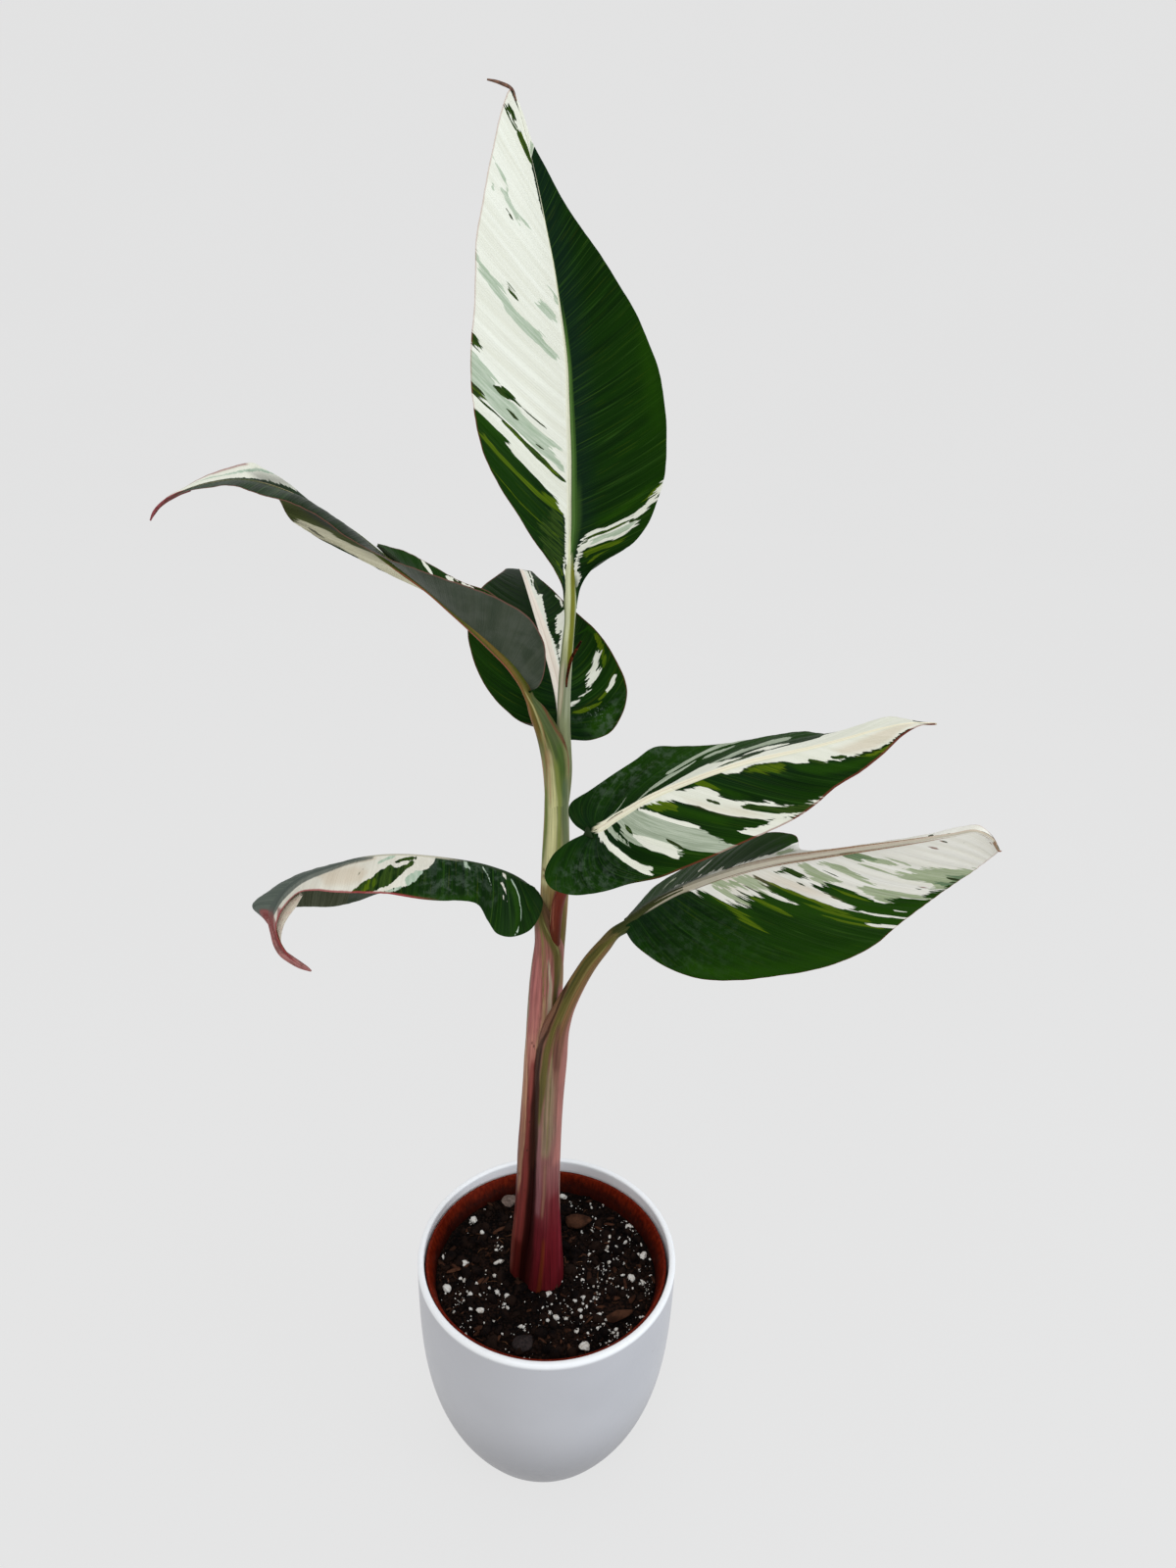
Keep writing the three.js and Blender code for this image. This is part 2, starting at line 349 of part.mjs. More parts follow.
// leaf arching to the upper left, its blade ripped on the far side:
// [midrib, halfway, margin] per station for each of the three flaps
const LEAF_UPPER_LEFT_NEAR = [
  [[-9.9, -7, 443.8], [-11.2, -8, 445], [-11.7, -9, 446.7]],
  [[-11.1, -7.3, 446], [-9.8, -9.3, 447.7], [-7.7, -12.3, 449.9]],
  [[-13, -7.6, 449], [-8.9, -11.6, 454.4], [-4.6, -16.6, 460.7]],
  [[-16.1, -8, 452.8], [-10.8, -13, 462.2], [-4.9, -20, 471.9]],
  [[-19.9, -8.5, 457.3], [-14.9, -14.5, 469.1], [-10, -22.5, 481.8]],
  [[-25.1, -9, 463], [-22.2, -16, 475.6], [-19.7, -24, 488.8]],
  [[-32.1, -10, 470.4], [-30.8, -18, 481.5], [-30.1, -27, 493.9]],
  [[-40.9, -11, 479.1], [-40.3, -20.5, 487.7], [-40.6, -30, 498.3]],
  [[-50.1, -12, 488.2], [-49.8, -23, 494.9], [-50.2, -33, 502.5]],
  [[-58.5, -13, 495.6], [-58.1, -25.5, 500.9], [-58.2, -36, 506.1]],
  [[-66, -14, 502.3], [-65.3, -27, 506.8], [-65.5, -38, 510.3]],
  [[-73.7, -15, 509.1], [-72.7, -28, 513.6], [-73.5, -39, 515.5]],
  [[-82.7, -16, 515.6], [-81.9, -28, 520.4], [-82.5, -39, 522.2]],
  [[-92.6, -17, 522], [-91.5, -28, 525.8], [-91.5, -39, 526.4]],
  [[-102, -17.5, 526.1], [-101.3, -27.5, 527.7], [-101.7, -36.5, 528.1]],
  [[-112.1, -18, 528.3], [-111.8, -26, 529.4], [-111.8, -33, 530]],
  [[-122.7, -18, 527.2], [-122.5, -23, 527.4], [-122.4, -27, 527.4]],
  [[-132.8, -18, 524.5], [-132.9, -20, 524.2], [-132.6, -22, 524.4]],
  [[-141.1, -18, 520.2], [-141.2, -18.8, 520], [-140.9, -19.5, 520]],
  [[-147.9, -18, 512.6], [-147.9, -18, 512.6], [-147.9, -18, 512.6]],
];
const LEAF_UPPER_LEFT_FAR_BASE = [
  [[-9.9, -7, 443.8], [-11.5, -5.5, 443.9], [-12.4, -4, 444.5]],
  [[-11.1, -7.3, 446], [-10.8, -4.3, 446.8], [-9.5, -1.3, 447.3]],
  [[-13, -7.6, 449], [-11, -2.6, 452], [-7.8, 2.4, 454.7]],
  [[-16.1, -8, 452.8], [-14.2, -1, 459.1], [-10.8, 6, 464.9]],
  [[-19.9, -8.5, 457.3], [-19.8, 0.5, 464.9], [-18.5, 9.5, 472.8]],
  [[-25.1, -9, 463], [-27.2, 2, 470.7], [-28, 12, 480]],
  [[-32.1, -10, 470.4], [-35.6, 2, 476], [-39.5, 14, 483.2]],
  [[-40.9, -11, 479.1], [-46.3, 3, 482.9], [-51.5, 15, 489.3]],
  [[-50.1, -12, 488.2], [-55.9, 3, 489.6], [-62.3, 16, 494.4]],
  [[-58.5, -13, 495.6], [-65.1, 3, 495.5], [-72.6, 16, 497]],
];
const LEAF_UPPER_LEFT_FAR_TIP = [
  [[-48.7, -11.8, 486.8], [-66.8, -5.8, 492.9], [-84.2, -1.8, 500.3]],
  [[-53.6, -12.3, 491.4], [-72.8, -4.3, 495.9], [-90.9, 0.7, 502.4]],
  [[-58.5, -13, 495.6], [-79.2, -3, 499.1], [-97.5, 3, 505.5]],
  [[-66, -14, 502.3], [-85, -2, 503.9], [-102.7, 4, 508.6]],
  [[-73.7, -15, 509.1], [-90.4, -2, 510], [-105.2, 5, 512.2]],
  [[-82.7, -16, 515.6], [-96.2, -2, 516.5], [-107.3, 6, 516.4]],
  [[-92.6, -17, 522], [-102.2, -5, 526], [-110.4, 5, 524.2]],
  [[-102, -17.5, 526.1], [-109.5, -6.5, 528.9], [-114.6, 3.5, 529.6]],
  [[-112.1, -18, 528.3], [-118.1, -9, 528.5], [-123.2, -1, 528.5]],
  [[-122.7, -18, 527.2], [-127, -12, 527], [-130.3, -7, 526.6]],
  [[-132.8, -18, 524.5], [-134.3, -15.5, 524.2], [-135.9, -13, 523.7]],
  [[-141.1, -18, 520.2], [-141.5, -17.2, 520.3], [-141.9, -16.5, 520.5]],
  [[-147.9, -18, 512.6], [-147.9, -18, 512.6], [-147.9, -18, 512.6]],
];
const LEAF_UPPER_LEFT_RIB = [
  [-0.5, -1, 402.1, 3.9],
  [-2.3, -3.2, 418.5, 4.1],
  [-5, -5, 429.8, 3.6],
  [-7.5, -6.2, 437.6, 3],
  [-10.6, -7.3, 443.4, 2.2],
  [-11.7, -7.5, 445.6, 2.2],
  [-13.6, -7.8, 448.5, 2.1],
  [-16.6, -8.3, 452.2, 2.1],
  [-20.4, -8.8, 456.8, 2],
  [-25.7, -9.3, 462.5, 1.9],
  [-32.7, -10.3, 469.8, 1.8],
  [-41.4, -11.2, 478.5, 1.6],
  [-50.6, -12.2, 487.6, 1.4],
  [-58.9, -13.2, 495.1, 1.3],
  [-66.3, -14.3, 501.9, 1.2],
  [-74, -15.3, 508.7, 1.1],
  [-83, -16.2, 515.1, 1],
  [-92.8, -17.1, 521.6, 0.9],
  [-102.1, -17.5, 525.6, 0.8],
  [-112.1, -18, 527.9, 0.7],
  [-122.6, -18, 526.9, 0.6],
  [-132.7, -18, 524.2, 0.5],
  [-140.9, -17.9, 520, 0.5],
];
// dried thread of an old sheath lying in front of the upper petiole
const FILAMENT_PATH = [
  [8.9, -2.5, 466.3, 0.3],
  [7.2, -2.8, 463, 0.5],
  [5.4, -3, 459.4, 0.6],
  [4.3, -3, 454.8, 0.6],
  [3.7, -3, 450.2, 0.5],
  [3.5, -3, 446.8, 0.3],
];
// pieces lying on the soil: [name, x, y, half sizes a b c, turn, seed, kind]
const SOIL_PIECES = [
  ["tan_pebble", -23.6, 45.2, 4.2, 3.4, 2.6, 0.3, 1, "pebble"],
  ["dark_stone", -9.9, -47.4, 5.2, 4.2, 2.6, 0.2, 2, "stone"],
  ["bark_chip_right", 38.4, -28.4, 7.4, 2.8, 1.6, 0.42, 3, "bark"],
  ["bark_stick", 22.6, -5.2, 1.5, 4.2, 1.1, 0.05, 4, "bark"],
  ["bark_lump", 16.1, 32, 6.5, 4.8, 2, 0.2, 5, "bark"],
  ["perlite_01", -43.3, 1.3, 2.2, 1.9, 1.6, 0.3, 6, "perlite"],
  ["perlite_02", -19.3, -18.9, 1.9, 1.6, 1.3, 0.1, 7, "perlite"],
  ["perlite_03", 51.5, 10.7, 2.5, 2.1, 1.8, 0.5, 8, "perlite"],
  ["perlite_04", 44.9, -4.1, 2.1, 2.3, 1.7, 0.2, 9, "perlite"],
  ["perlite_05", -25.7, 2.9, 3.2, 1.5, 1.3, 0.5, 10, "perlite"],
  ["perlite_06", 7, 52, 2.5, 1.7, 1.5, 0.1, 11, "perlite"],
  ["perlite_07", -51.1, -15.3, 2.6, 1.9, 1.6, -0.4, 12, "perlite"],
  ["perlite_08", 20.7, -47.1, 3, 2.4, 1.8, 0.2, 13, "perlite"],
  ["perlite_09", 1.9, -17, 2.2, 1.7, 1.4, 0.1, 14, "perlite"],
  ["perlite_10", -32.6, -28.2, 2.3, 1.5, 1.2, 0, 15, "perlite"],
  ["perlite_11", -41.9, 31.9, 2, 2.8, 1.5, 0.1, 16, "perlite"],
];

// ---------------------------------------------------------------- helpers
const vec = (p) => new THREE.Vector3(p[0], p[1], p[2]);

// one closed, indexed surface with merged vertices
function closed(geometry) {
  const g = geometry.index ? geometry.toNonIndexed() : geometry.clone();
  g.deleteAttribute("normal");
  g.deleteAttribute("uv");
  return mergeVertices(g, 1e-4);
}

function toSolid(geometry) {
  const g = closed(geometry);
  const tri = [];
  const idx = g.index.array;
  for (let i = 0; i < idx.length; i += 3) {
    const [a, b, c] = [idx[i], idx[i + 1], idx[i + 2]];
    if (a !== b && b !== c && a !== c) tri.push(a, b, c);
  }
  return new wasm.Manifold(
    new wasm.Mesh({
      numProp: 3,
      vertProperties: Float32Array.from(g.attributes.position.array),
      triVerts: Uint32Array.from(tri),
    }),
  );
}

function toGeometry(solid) {
  const m = solid.getMesh();
  const g = new THREE.BufferGeometry();
  const n = m.vertProperties.length / m.numProp;
  const pos = new Float32Array(n * 3);
  for (let i = 0; i < n; i++)
    for (let k = 0; k < 3; k++) pos[3 * i + k] = m.vertProperties[i * m.numProp + k];
  g.setAttribute("position", new THREE.BufferAttribute(pos, 3));
  g.setIndex(Array.from(m.triVerts));
  g.computeVertexNormals();
  return g;
}

// keeps only the largest body, so that a cut leaves no loose crumbs
function largest(solid) {
  const pieces = solid.decompose();
  let best = pieces[0];
  for (const p of pieces) if (p.volume() > best.volume()) best = p;
  return best;
}

// a tapering tube with closed ends: path is a list of [x, y, z, radius]
function tube(path, sides, grow = 0, steps = 0) {
  let pts = path.map(vec);
  let rad = path.map((p) => p[3] + grow);
  if (steps > 0) {
    const curve = new THREE.CatmullRomCurve3(pts, false, "centripetal");
    const fine = [];
    const fineR = [];
    for (let i = 0; i <= steps; i++) {
      const t = i / steps;
      fine.push(curve.getPoint(t));
      const f = t * (rad.length - 1);
      const k = Math.min(Math.floor(f), rad.length - 2);
      fineR.push(rad[k] + (rad[k + 1] - rad[k]) * (f - k));
    }
    pts = fine;
    rad = fineR;
  }
  const n = pts.length;
  if (grow > 0) {
    // the grown copy also runs past both ends
    const a = pts[0].clone().sub(pts[1]).normalize();
    const b = pts[n - 1].clone().sub(pts[n - 2]).normalize();
    pts[0] = pts[0].clone().addScaledVector(a, grow);
    pts[n - 1] = pts[n - 1].clone().addScaledVector(b, grow);
  }
  const pos = [];
  const idx = [];
  let side = null;
  for (let i = 0; i < n; i++) {
    const t = pts[Math.min(i + 1, n - 1)].clone().sub(pts[Math.max(i - 1, 0)]).normalize();
    if (!side) side = Math.abs(t.z) > 0.5 ? new THREE.Vector3(1, 0, 0) : new THREE.Vector3(0, 0, 1);
    side = side.clone().addScaledVector(t, -side.dot(t)).normalize();
    const other = new THREE.Vector3().crossVectors(t, side);
    for (let k = 0; k < sides; k++) {
      const a = (2 * Math.PI * k) / sides;
      const p = pts[i]
        .clone()
        .addScaledVector(side, rad[i] * Math.cos(a))
        .addScaledVector(other, rad[i] * Math.sin(a));
      pos.push(p.x, p.y, p.z);
    }
  }
  for (let i = 0; i < n - 1; i++)
    for (let k = 0; k < sides; k++) {
      const a = i * sides + k;
      const b = i * sides + ((k + 1) % sides);
      const c = a + sides;
      const d = b + sides;
      idx.push(a, b, d, a, d, c);
    }
  const s = pos.length / 3;
  pos.push(pts[0].x, pts[0].y, pts[0].z, pts[n - 1].x, pts[n - 1].y, pts[n - 1].z);
  for (let k = 0; k < sides; k++) {
    const k2 = (k + 1) % sides;
    idx.push(s, k2, k);
    idx.push(s + 1, (n - 1) * sides + k, (n - 1) * sides + k2);
  }
  const g = new THREE.BufferGeometry();
  g.setAttribute("position", new THREE.Float32BufferAttribute(pos, 3));
  g.setIndex(idx);
  return g;
}

// a thin closed sheet over a grid of points rows[i][j]
function sheet(rows, thickness) {
  const n = rows.length;
  const m = rows[0].length;
  const P = rows.map((r) => r.map((p) => p.clone()));
  const normal = (i, j) => {
    const du = P[Math.min(i + 1, n - 1)][j].clone().sub(P[Math.max(i - 1, 0)][j]);
    const dv = P[i][Math.min(j + 1, m - 1)].clone().sub(P[i][Math.max(j - 1, 0)]);
    const c = new THREE.Vector3().crossVectors(du, dv);
    return c.lengthSq() > 1e-9 ? c.normalize() : null;
  };
  const N = P.map((r, i) => r.map((_, j) => normal(i, j)));
  for (let i = 0; i < n; i++)
    for (let j = 0; j < m; j++)
      if (!N[i][j]) N[i][j] = (N[Math.max(i - 1, 0)][Math.floor(m / 2)] || new THREE.Vector3(0, 0, 1)).clone();
  const pos = [];
  for (const s of [1, -1])
    for (let i = 0; i < n; i++)
      for (let j = 0; j < m; j++) {
        const q = P[i][j].clone().addScaledVector(N[i][j], (s * thickness) / 2);
        pos.push(q.x, q.y, q.z);
      }
  const idx = [];
  const top = (i, j) => i * m + j;
  const bot = (i, j) => n * m + i * m + j;
  for (let i = 0; i < n - 1; i++)
    for (let j = 0; j < m - 1; j++) {
      idx.push(top(i, j), top(i + 1, j), top(i + 1, j + 1), top(i, j), top(i + 1, j + 1), top(i, j + 1));
      idx.push(bot(i, j), bot(i + 1, j + 1), bot(i + 1, j), bot(i, j), bot(i, j + 1), bot(i + 1, j + 1));
    }
  const edge = (a, b, c, d) => idx.push(a, b, c, a, c, d);
  for (let i = 0; i < n - 1; i++) {
    edge(top(i, 0), bot(i, 0), bot(i + 1, 0), top(i + 1, 0));
    edge(top(i + 1, m - 1), bot(i + 1, m - 1), bot(i, m - 1), top(i, m - 1));
  }
  for (let j = 0; j < m - 1; j++) {
    edge(top(0, j + 1), bot(0, j + 1), bot(0, j), top(0, j));
    edge(top(n - 1, j), bot(n - 1, j), bot(n - 1, j + 1), top(n - 1, j + 1));
  }
  const g = new THREE.BufferGeometry();
  g.setAttribute("position", new THREE.Float32BufferAttribute(pos, 3));
  g.setIndex(idx);
  return g;
}

// point on the vein that runs from the midrib m through q to the margin e
function vein(m, q, e, r) {
  const c = q.clone().multiplyScalar(2).addScaledVector(m, -0.5).addScaledVector(e, -0.5);
  return m
    .clone()
    .multiplyScalar((1 - r) * (1 - r))
    .addScaledVector(c, 2 * r * (1 - r))
    .addScaledVector(e, r * r);
}

// half a blade: stations [midrib, halfway, margin] -> rows of points
const CROSS = [0, 0.5, 1];
function halfRows(stations) {
  return stations.map((s) => CROSS.map((r) => vein(vec(s[0]), vec(s[1]), vec(s[2]), r)));
}
// whole blade: stations [midrib, halfway a, margin a, halfway b, margin b]
function wholeRows(stations) {
  return stations.map((s) => {
    const a = CROSS.map((r) => vein(vec(s[0]), vec(s[1]), vec(s[2]), r)).reverse();
    const b = CROSS.slice(1).map((r) => vein(vec(s[0]), vec(s[3]), vec(s[4]), r));
    return a.concat(b);
  });
}

function lathe(profile, sides) {
  const g = new THREE.LatheGeometry(
    profile.map(([r, z]) => new THREE.Vector2(r, z)),
    sides,
  );
  g.rotateX(Math.PI / 2);
  return g;
}

function material(colour, roughness, metalness = 0) {
  return new THREE.MeshStandardMaterial({ color: colour, roughness, metalness });
}

const group = new THREE.Group();
function addSolid(name, solid, mat) {
  const mesh = new THREE.Mesh(toGeometry(solid), mat);
  mesh.name = name;
  group.add(mesh);
  return mesh;
}

// ---------------------------------------------------------------- materials
const WHITE = material(0xd9dbe0, 0.35);
const TERRACOTTA = material(0x6a2a1a, 0.55);
const SOIL = material(0x1c1410, 0.95);
const PERLITE = material(0xc9c7c2, 0.85);
const LEAF = material(0x234a1c, 0.38);
const STEM = material(0x7d4a44, 0.45);
const BARK = material(0x4a2c1e, 0.9);
const STONE = material(0x3a3532, 0.8);
const PEBBLE = material(0x8d8272, 0.75);
const DRY = material(0x3a1d14, 0.8);

// ---------------------------------------------------------------- cover pot
function coverRadius(z) {
  const u = Math.min(Math.max(z / COVER_H, 0), 1);
  return (
    COVER_BASE_R +
    (COVER_R - COVER_BASE_R) * Math.pow(1 - Math.pow(1 - u, COVER_CURVE), COVER_SOFT)
  );
}
{
  const p = [[0, 0], [COVER_FOOT_R, 0], [COVER_FOOT_R + 2.4, 0.6], [coverRadius(2.2), 2.2]];
  for (const z of [6, 13, 22, 34, 50, 72, 98]) p.push([coverRadius(z), z]);
  p.push([COVER_R, COVER_H - 1.7], [COVER_R - 0.9, COVER_H], [COVER_R - 2.3, COVER_H]);
  p.push([COVER_R - COVER_WALL, COVER_H - 1.7]);
  for (const z of [98, 72, 50, 34, 22, 13]) p.push([coverRadius(z) - COVER_WALL, z]);
  p.push([coverRadius(6) - COVER_WALL - 1.2, 5.6], [coverRadius(6) - COVER_WALL - 4, COVER_FLOOR], [0, COVER_FLOOR]);
  addSolid("cover_pot", toSolid(lathe(p, COVER_SIDES)), WHITE);
}

// ---------------------------------------------------------------- nursery pot
const nurseryMatrix = new THREE.Matrix4()
  .makeTranslation(NURSERY_POS[0], NURSERY_POS[1], NURSERY_POS[2])
  .multiply(new THREE.Matrix4().makeRotationX(NURSERY_TILT_X))
  .multiply(new THREE.Matrix4().makeRotationY(NURSERY_TILT_Y));
const wallR = (z) => NURSERY_BASE_R + ((NURSERY_TOP_R - 1.6 - NURSERY_BASE_R) * z) / NURSERY_H;
{
  const rimZ = NURSERY_H - NURSERY_RIM_H;
  const p = [
    [0, 0], [NURSERY_BASE_R - 1.5, 0], [NURSERY_BASE_R, 1.5], [wallR(rimZ), rimZ],
    [NURSERY_TOP_R - 0.8, rimZ + 0.8], [NURSERY_TOP_R, NURSERY_H - 0.8], [NURSERY_TOP_R - 0.7, NURSERY_H],
    [NURSERY_TOP_R - 1.5, NURSERY_H - 0.5], [wallR(rimZ + 1) - NURSERY_WALL, rimZ + 1],
    [NURSERY_BASE_R - NURSERY_WALL + 0.3, NURSERY_FLOOR + 1.2], [NURSERY_BASE_R - NURSERY_WALL - 1, NURSERY_FLOOR], [0, NURSERY_FLOOR],
  ];
  let solid = toSolid(lathe(p, NURSERY_SIDES));
  for (let k = 0; k < NURSERY_HOLES; k++) {
    const a = (2 * Math.PI * k) / NURSERY_HOLES;
    const hole = new THREE.CylinderGeometry(NURSERY_HOLE_R, NURSERY_HOLE_R, 10, 8);
    hole.rotateX(Math.PI / 2);
    hole.translate(NURSERY_HOLE_RING_R * Math.cos(a), NURSERY_HOLE_RING_R * Math.sin(a), 0);
    solid = solid.subtract(toSolid(hole));
  }
  const g = toGeometry(solid);
  g.applyMatrix4(nurseryMatrix);
  const mesh = new THREE.Mesh(g, TERRACOTTA);
  mesh.name = "nursery_pot";
  group.add(mesh);
}

// ---------------------------------------------------------------- pseudostem
const core = toSolid(tube(CORE_PATH, STEM_SIDES));
const coreGrown = toSolid(tube(CORE_PATH, STEM_SIDES, GAP));
const sheathE = toSolid(tube(SHEATH_LOWER_LEFT, STEM_SIDES));
const sheathEGrown = toSolid(tube(SHEATH_LOWER_LEFT, STEM_SIDES, GAP));
const sheathF = toSolid(tube(SHEATH_LOWER_RIGHT, STEM_SIDES));
const sheathFGrown = toSolid(tube(SHEATH_LOWER_RIGHT, STEM_SIDES, GAP));
addSolid("pseudostem", core, STEM);

// ---------------------------------------------------------------- potting mix
{
  const inner = (z) => wallR(z) - NURSERY_WALL - GAP - 0.35;
  const p = [[0, MIX_BOTTOM], [inner(MIX_BOTTOM) - 1.6, MIX_BOTTOM], [inner(MIX_BOTTOM + 2), MIX_BOTTOM + 2]];
  p.push([inner(MIX_EDGE_H), MIX_EDGE_H]);
  for (const [f, h] of [[0.86, 0.25], [0.6, 0.5], [0.36, 0.85], [0.18, 1]])
    p.push([inner(MIX_EDGE_H) * f, MIX_EDGE_H + MIX_MOUND * h]);
  p.push([0, MIX_EDGE_H + MIX_MOUND]);
  const g = closed(lathe(p, 32));
  g.applyMatrix4(nurseryMatrix);
  let solid = toSolid(g);
  for (const s of [coreGrown, sheathEGrown, sheathFGrown]) solid = solid.subtract(s);
  addSolid("potting_mix", largest(solid), SOIL);
}

// ---------------------------------------------------------------- leaves
function leaf(name, parts, cutters, mat = LEAF) {
  let solid = parts[0];
  for (const p of parts.slice(1)) solid = solid.add(p);
  for (const c of cutters) solid = solid.subtract(c);
  addSolid(name, largest(solid), mat);
}
const blade = (stations) => toSolid(sheet(wholeRows(stations), BLADE_T));
const halfBlade = (stations) => toSolid(sheet(halfRows(stations), BLADE_T));
const rib = (path) => toSolid(tube(path, TUBE_SIDES));

const ribGrown = (path) => toSolid(tube(path, TUBE_SIDES, GAP));

leaf("leaf_top", [blade(LEAF_TOP), rib(LEAF_TOP_RIB), rib(LEAF_TOP_HOOK)], [coreGrown]);
leaf("leaf_rear", [blade(LEAF_REAR), rib(LEAF_REAR_RIB)], [coreGrown, ribGrown(LEAF_TOP_RIB)]);
leaf(
  "leaf_upper_left",
  [halfBlade(LEAF_UPPER_LEFT_NEAR), halfBlade(LEAF_UPPER_LEFT_FAR_BASE), halfBlade(LEAF_UPPER_LEFT_FAR_TIP), rib(LEAF_UPPER_LEFT_RIB)],
  [coreGrown, ribGrown(LEAF_TOP_RIB), ribGrown(LEAF_REAR_RIB)],
);
leaf("leaf_mid_right", [blade(LEAF_MID_RIGHT), rib(LEAF_MID_RIGHT_RIB)], [coreGrown, sheathEGrown, sheathFGrown]);
leaf("leaf_lower_left", [blade(LEAF_LOWER_LEFT), rib(LEAF_LOWER_LEFT_RIB), sheathE], [coreGrown]);
leaf("leaf_lower_right", [blade(LEAF_LOWER_RIGHT), rib(LEAF_LOWER_RIGHT_RIB), sheathF], [coreGrown, sheathEGrown]);
addSolid("dried_filament", toSolid(tube(FILAMENT_PATH, 8)), DRY);

// ---------------------------------------------------------------- on the soil
// height of the mix's surface under a point
function mixTop(x, y) {
  const inv = nurseryMatrix.clone().invert();
  const p = new THREE.Vector3(x, y, 110).applyMatrix4(inv);
  const f = Math.hypot(p.x, p.y) / (wallR(MIX_EDGE_H) - NURSERY_WALL - GAP - 0.35);
  const table = [[0, 1], [0.18, 1], [0.36, 0.85], [0.6, 0.5], [0.86, 0.25], [1, 0]];
  let h = 0;
  for (let i = 0; i < table.length - 1; i++)
    if (f >= table[i][0] && f <= table[i + 1][0])
      h = table[i][1] + ((table[i + 1][1] - table[i][1]) * (f - table[i][0])) / (table[i + 1][0] - table[i][0]);
  const q = new THREE.Vector3(p.x, p.y, MIX_EDGE_H + MIX_MOUND * h).applyMatrix4(nurseryMatrix);
  return q.z;
}
// a lump with flattened, uneven faces: half sizes a, b, c, turned by angle about Z
function lump(name, x, y, a, b, c, turn, seed, mat) {
  const g = closed(new THREE.IcosahedronGeometry(1, a > 4 ? 1 : 0));
  const pos = g.attributes.position;
  for (let i = 0; i < pos.count; i++) {
    const k = 1 + 0.13 * Math.sin(3.1 * pos.getX(i) + 5.3 * pos.getY(i) + 2.7 * pos.getZ(i) + seed);
    pos.setXYZ(i, pos.getX(i) * k, pos.getY(i) * k, pos.getZ(i) * k);
  }
  g.scale(a, b, c);
  g.rotateZ(turn);
  g.computeBoundingBox();
  const top = Math.max(mixTop(x, y), mixTop(x + a, y), mixTop(x - a, y), mixTop(x, y + b), mixTop(x, y - b));
  g.translate(x, y, top + GAP + 0.1 - g.boundingBox.min.z);
  addSolid(name, toSolid(g), mat);
}
for (const [name, x, y, a, b, c, turn, seed, kind] of SOIL_PIECES) {
  lump(name, x, y, a, b, c, turn, seed, { perlite: PERLITE, bark: BARK, stone: STONE, pebble: PEBBLE }[kind]);
}

export default group;
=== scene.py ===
import math

import bmesh
import bpy
import numpy as np
from mathutils import Matrix, Vector


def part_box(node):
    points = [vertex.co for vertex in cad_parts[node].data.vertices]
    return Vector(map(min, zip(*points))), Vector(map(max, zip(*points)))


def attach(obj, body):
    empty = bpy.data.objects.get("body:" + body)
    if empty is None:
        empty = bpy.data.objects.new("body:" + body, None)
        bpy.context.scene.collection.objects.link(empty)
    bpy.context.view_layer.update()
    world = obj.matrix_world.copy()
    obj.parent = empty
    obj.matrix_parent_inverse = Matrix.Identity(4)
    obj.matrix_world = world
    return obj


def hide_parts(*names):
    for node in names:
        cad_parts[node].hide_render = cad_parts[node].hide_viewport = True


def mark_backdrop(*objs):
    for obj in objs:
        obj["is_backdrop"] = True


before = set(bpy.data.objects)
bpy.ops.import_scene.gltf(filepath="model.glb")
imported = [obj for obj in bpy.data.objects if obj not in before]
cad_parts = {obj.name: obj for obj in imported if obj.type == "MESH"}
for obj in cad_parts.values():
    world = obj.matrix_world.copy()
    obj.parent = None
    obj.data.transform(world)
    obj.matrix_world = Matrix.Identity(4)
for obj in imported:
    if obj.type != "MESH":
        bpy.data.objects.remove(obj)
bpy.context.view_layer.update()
MM = 0.001

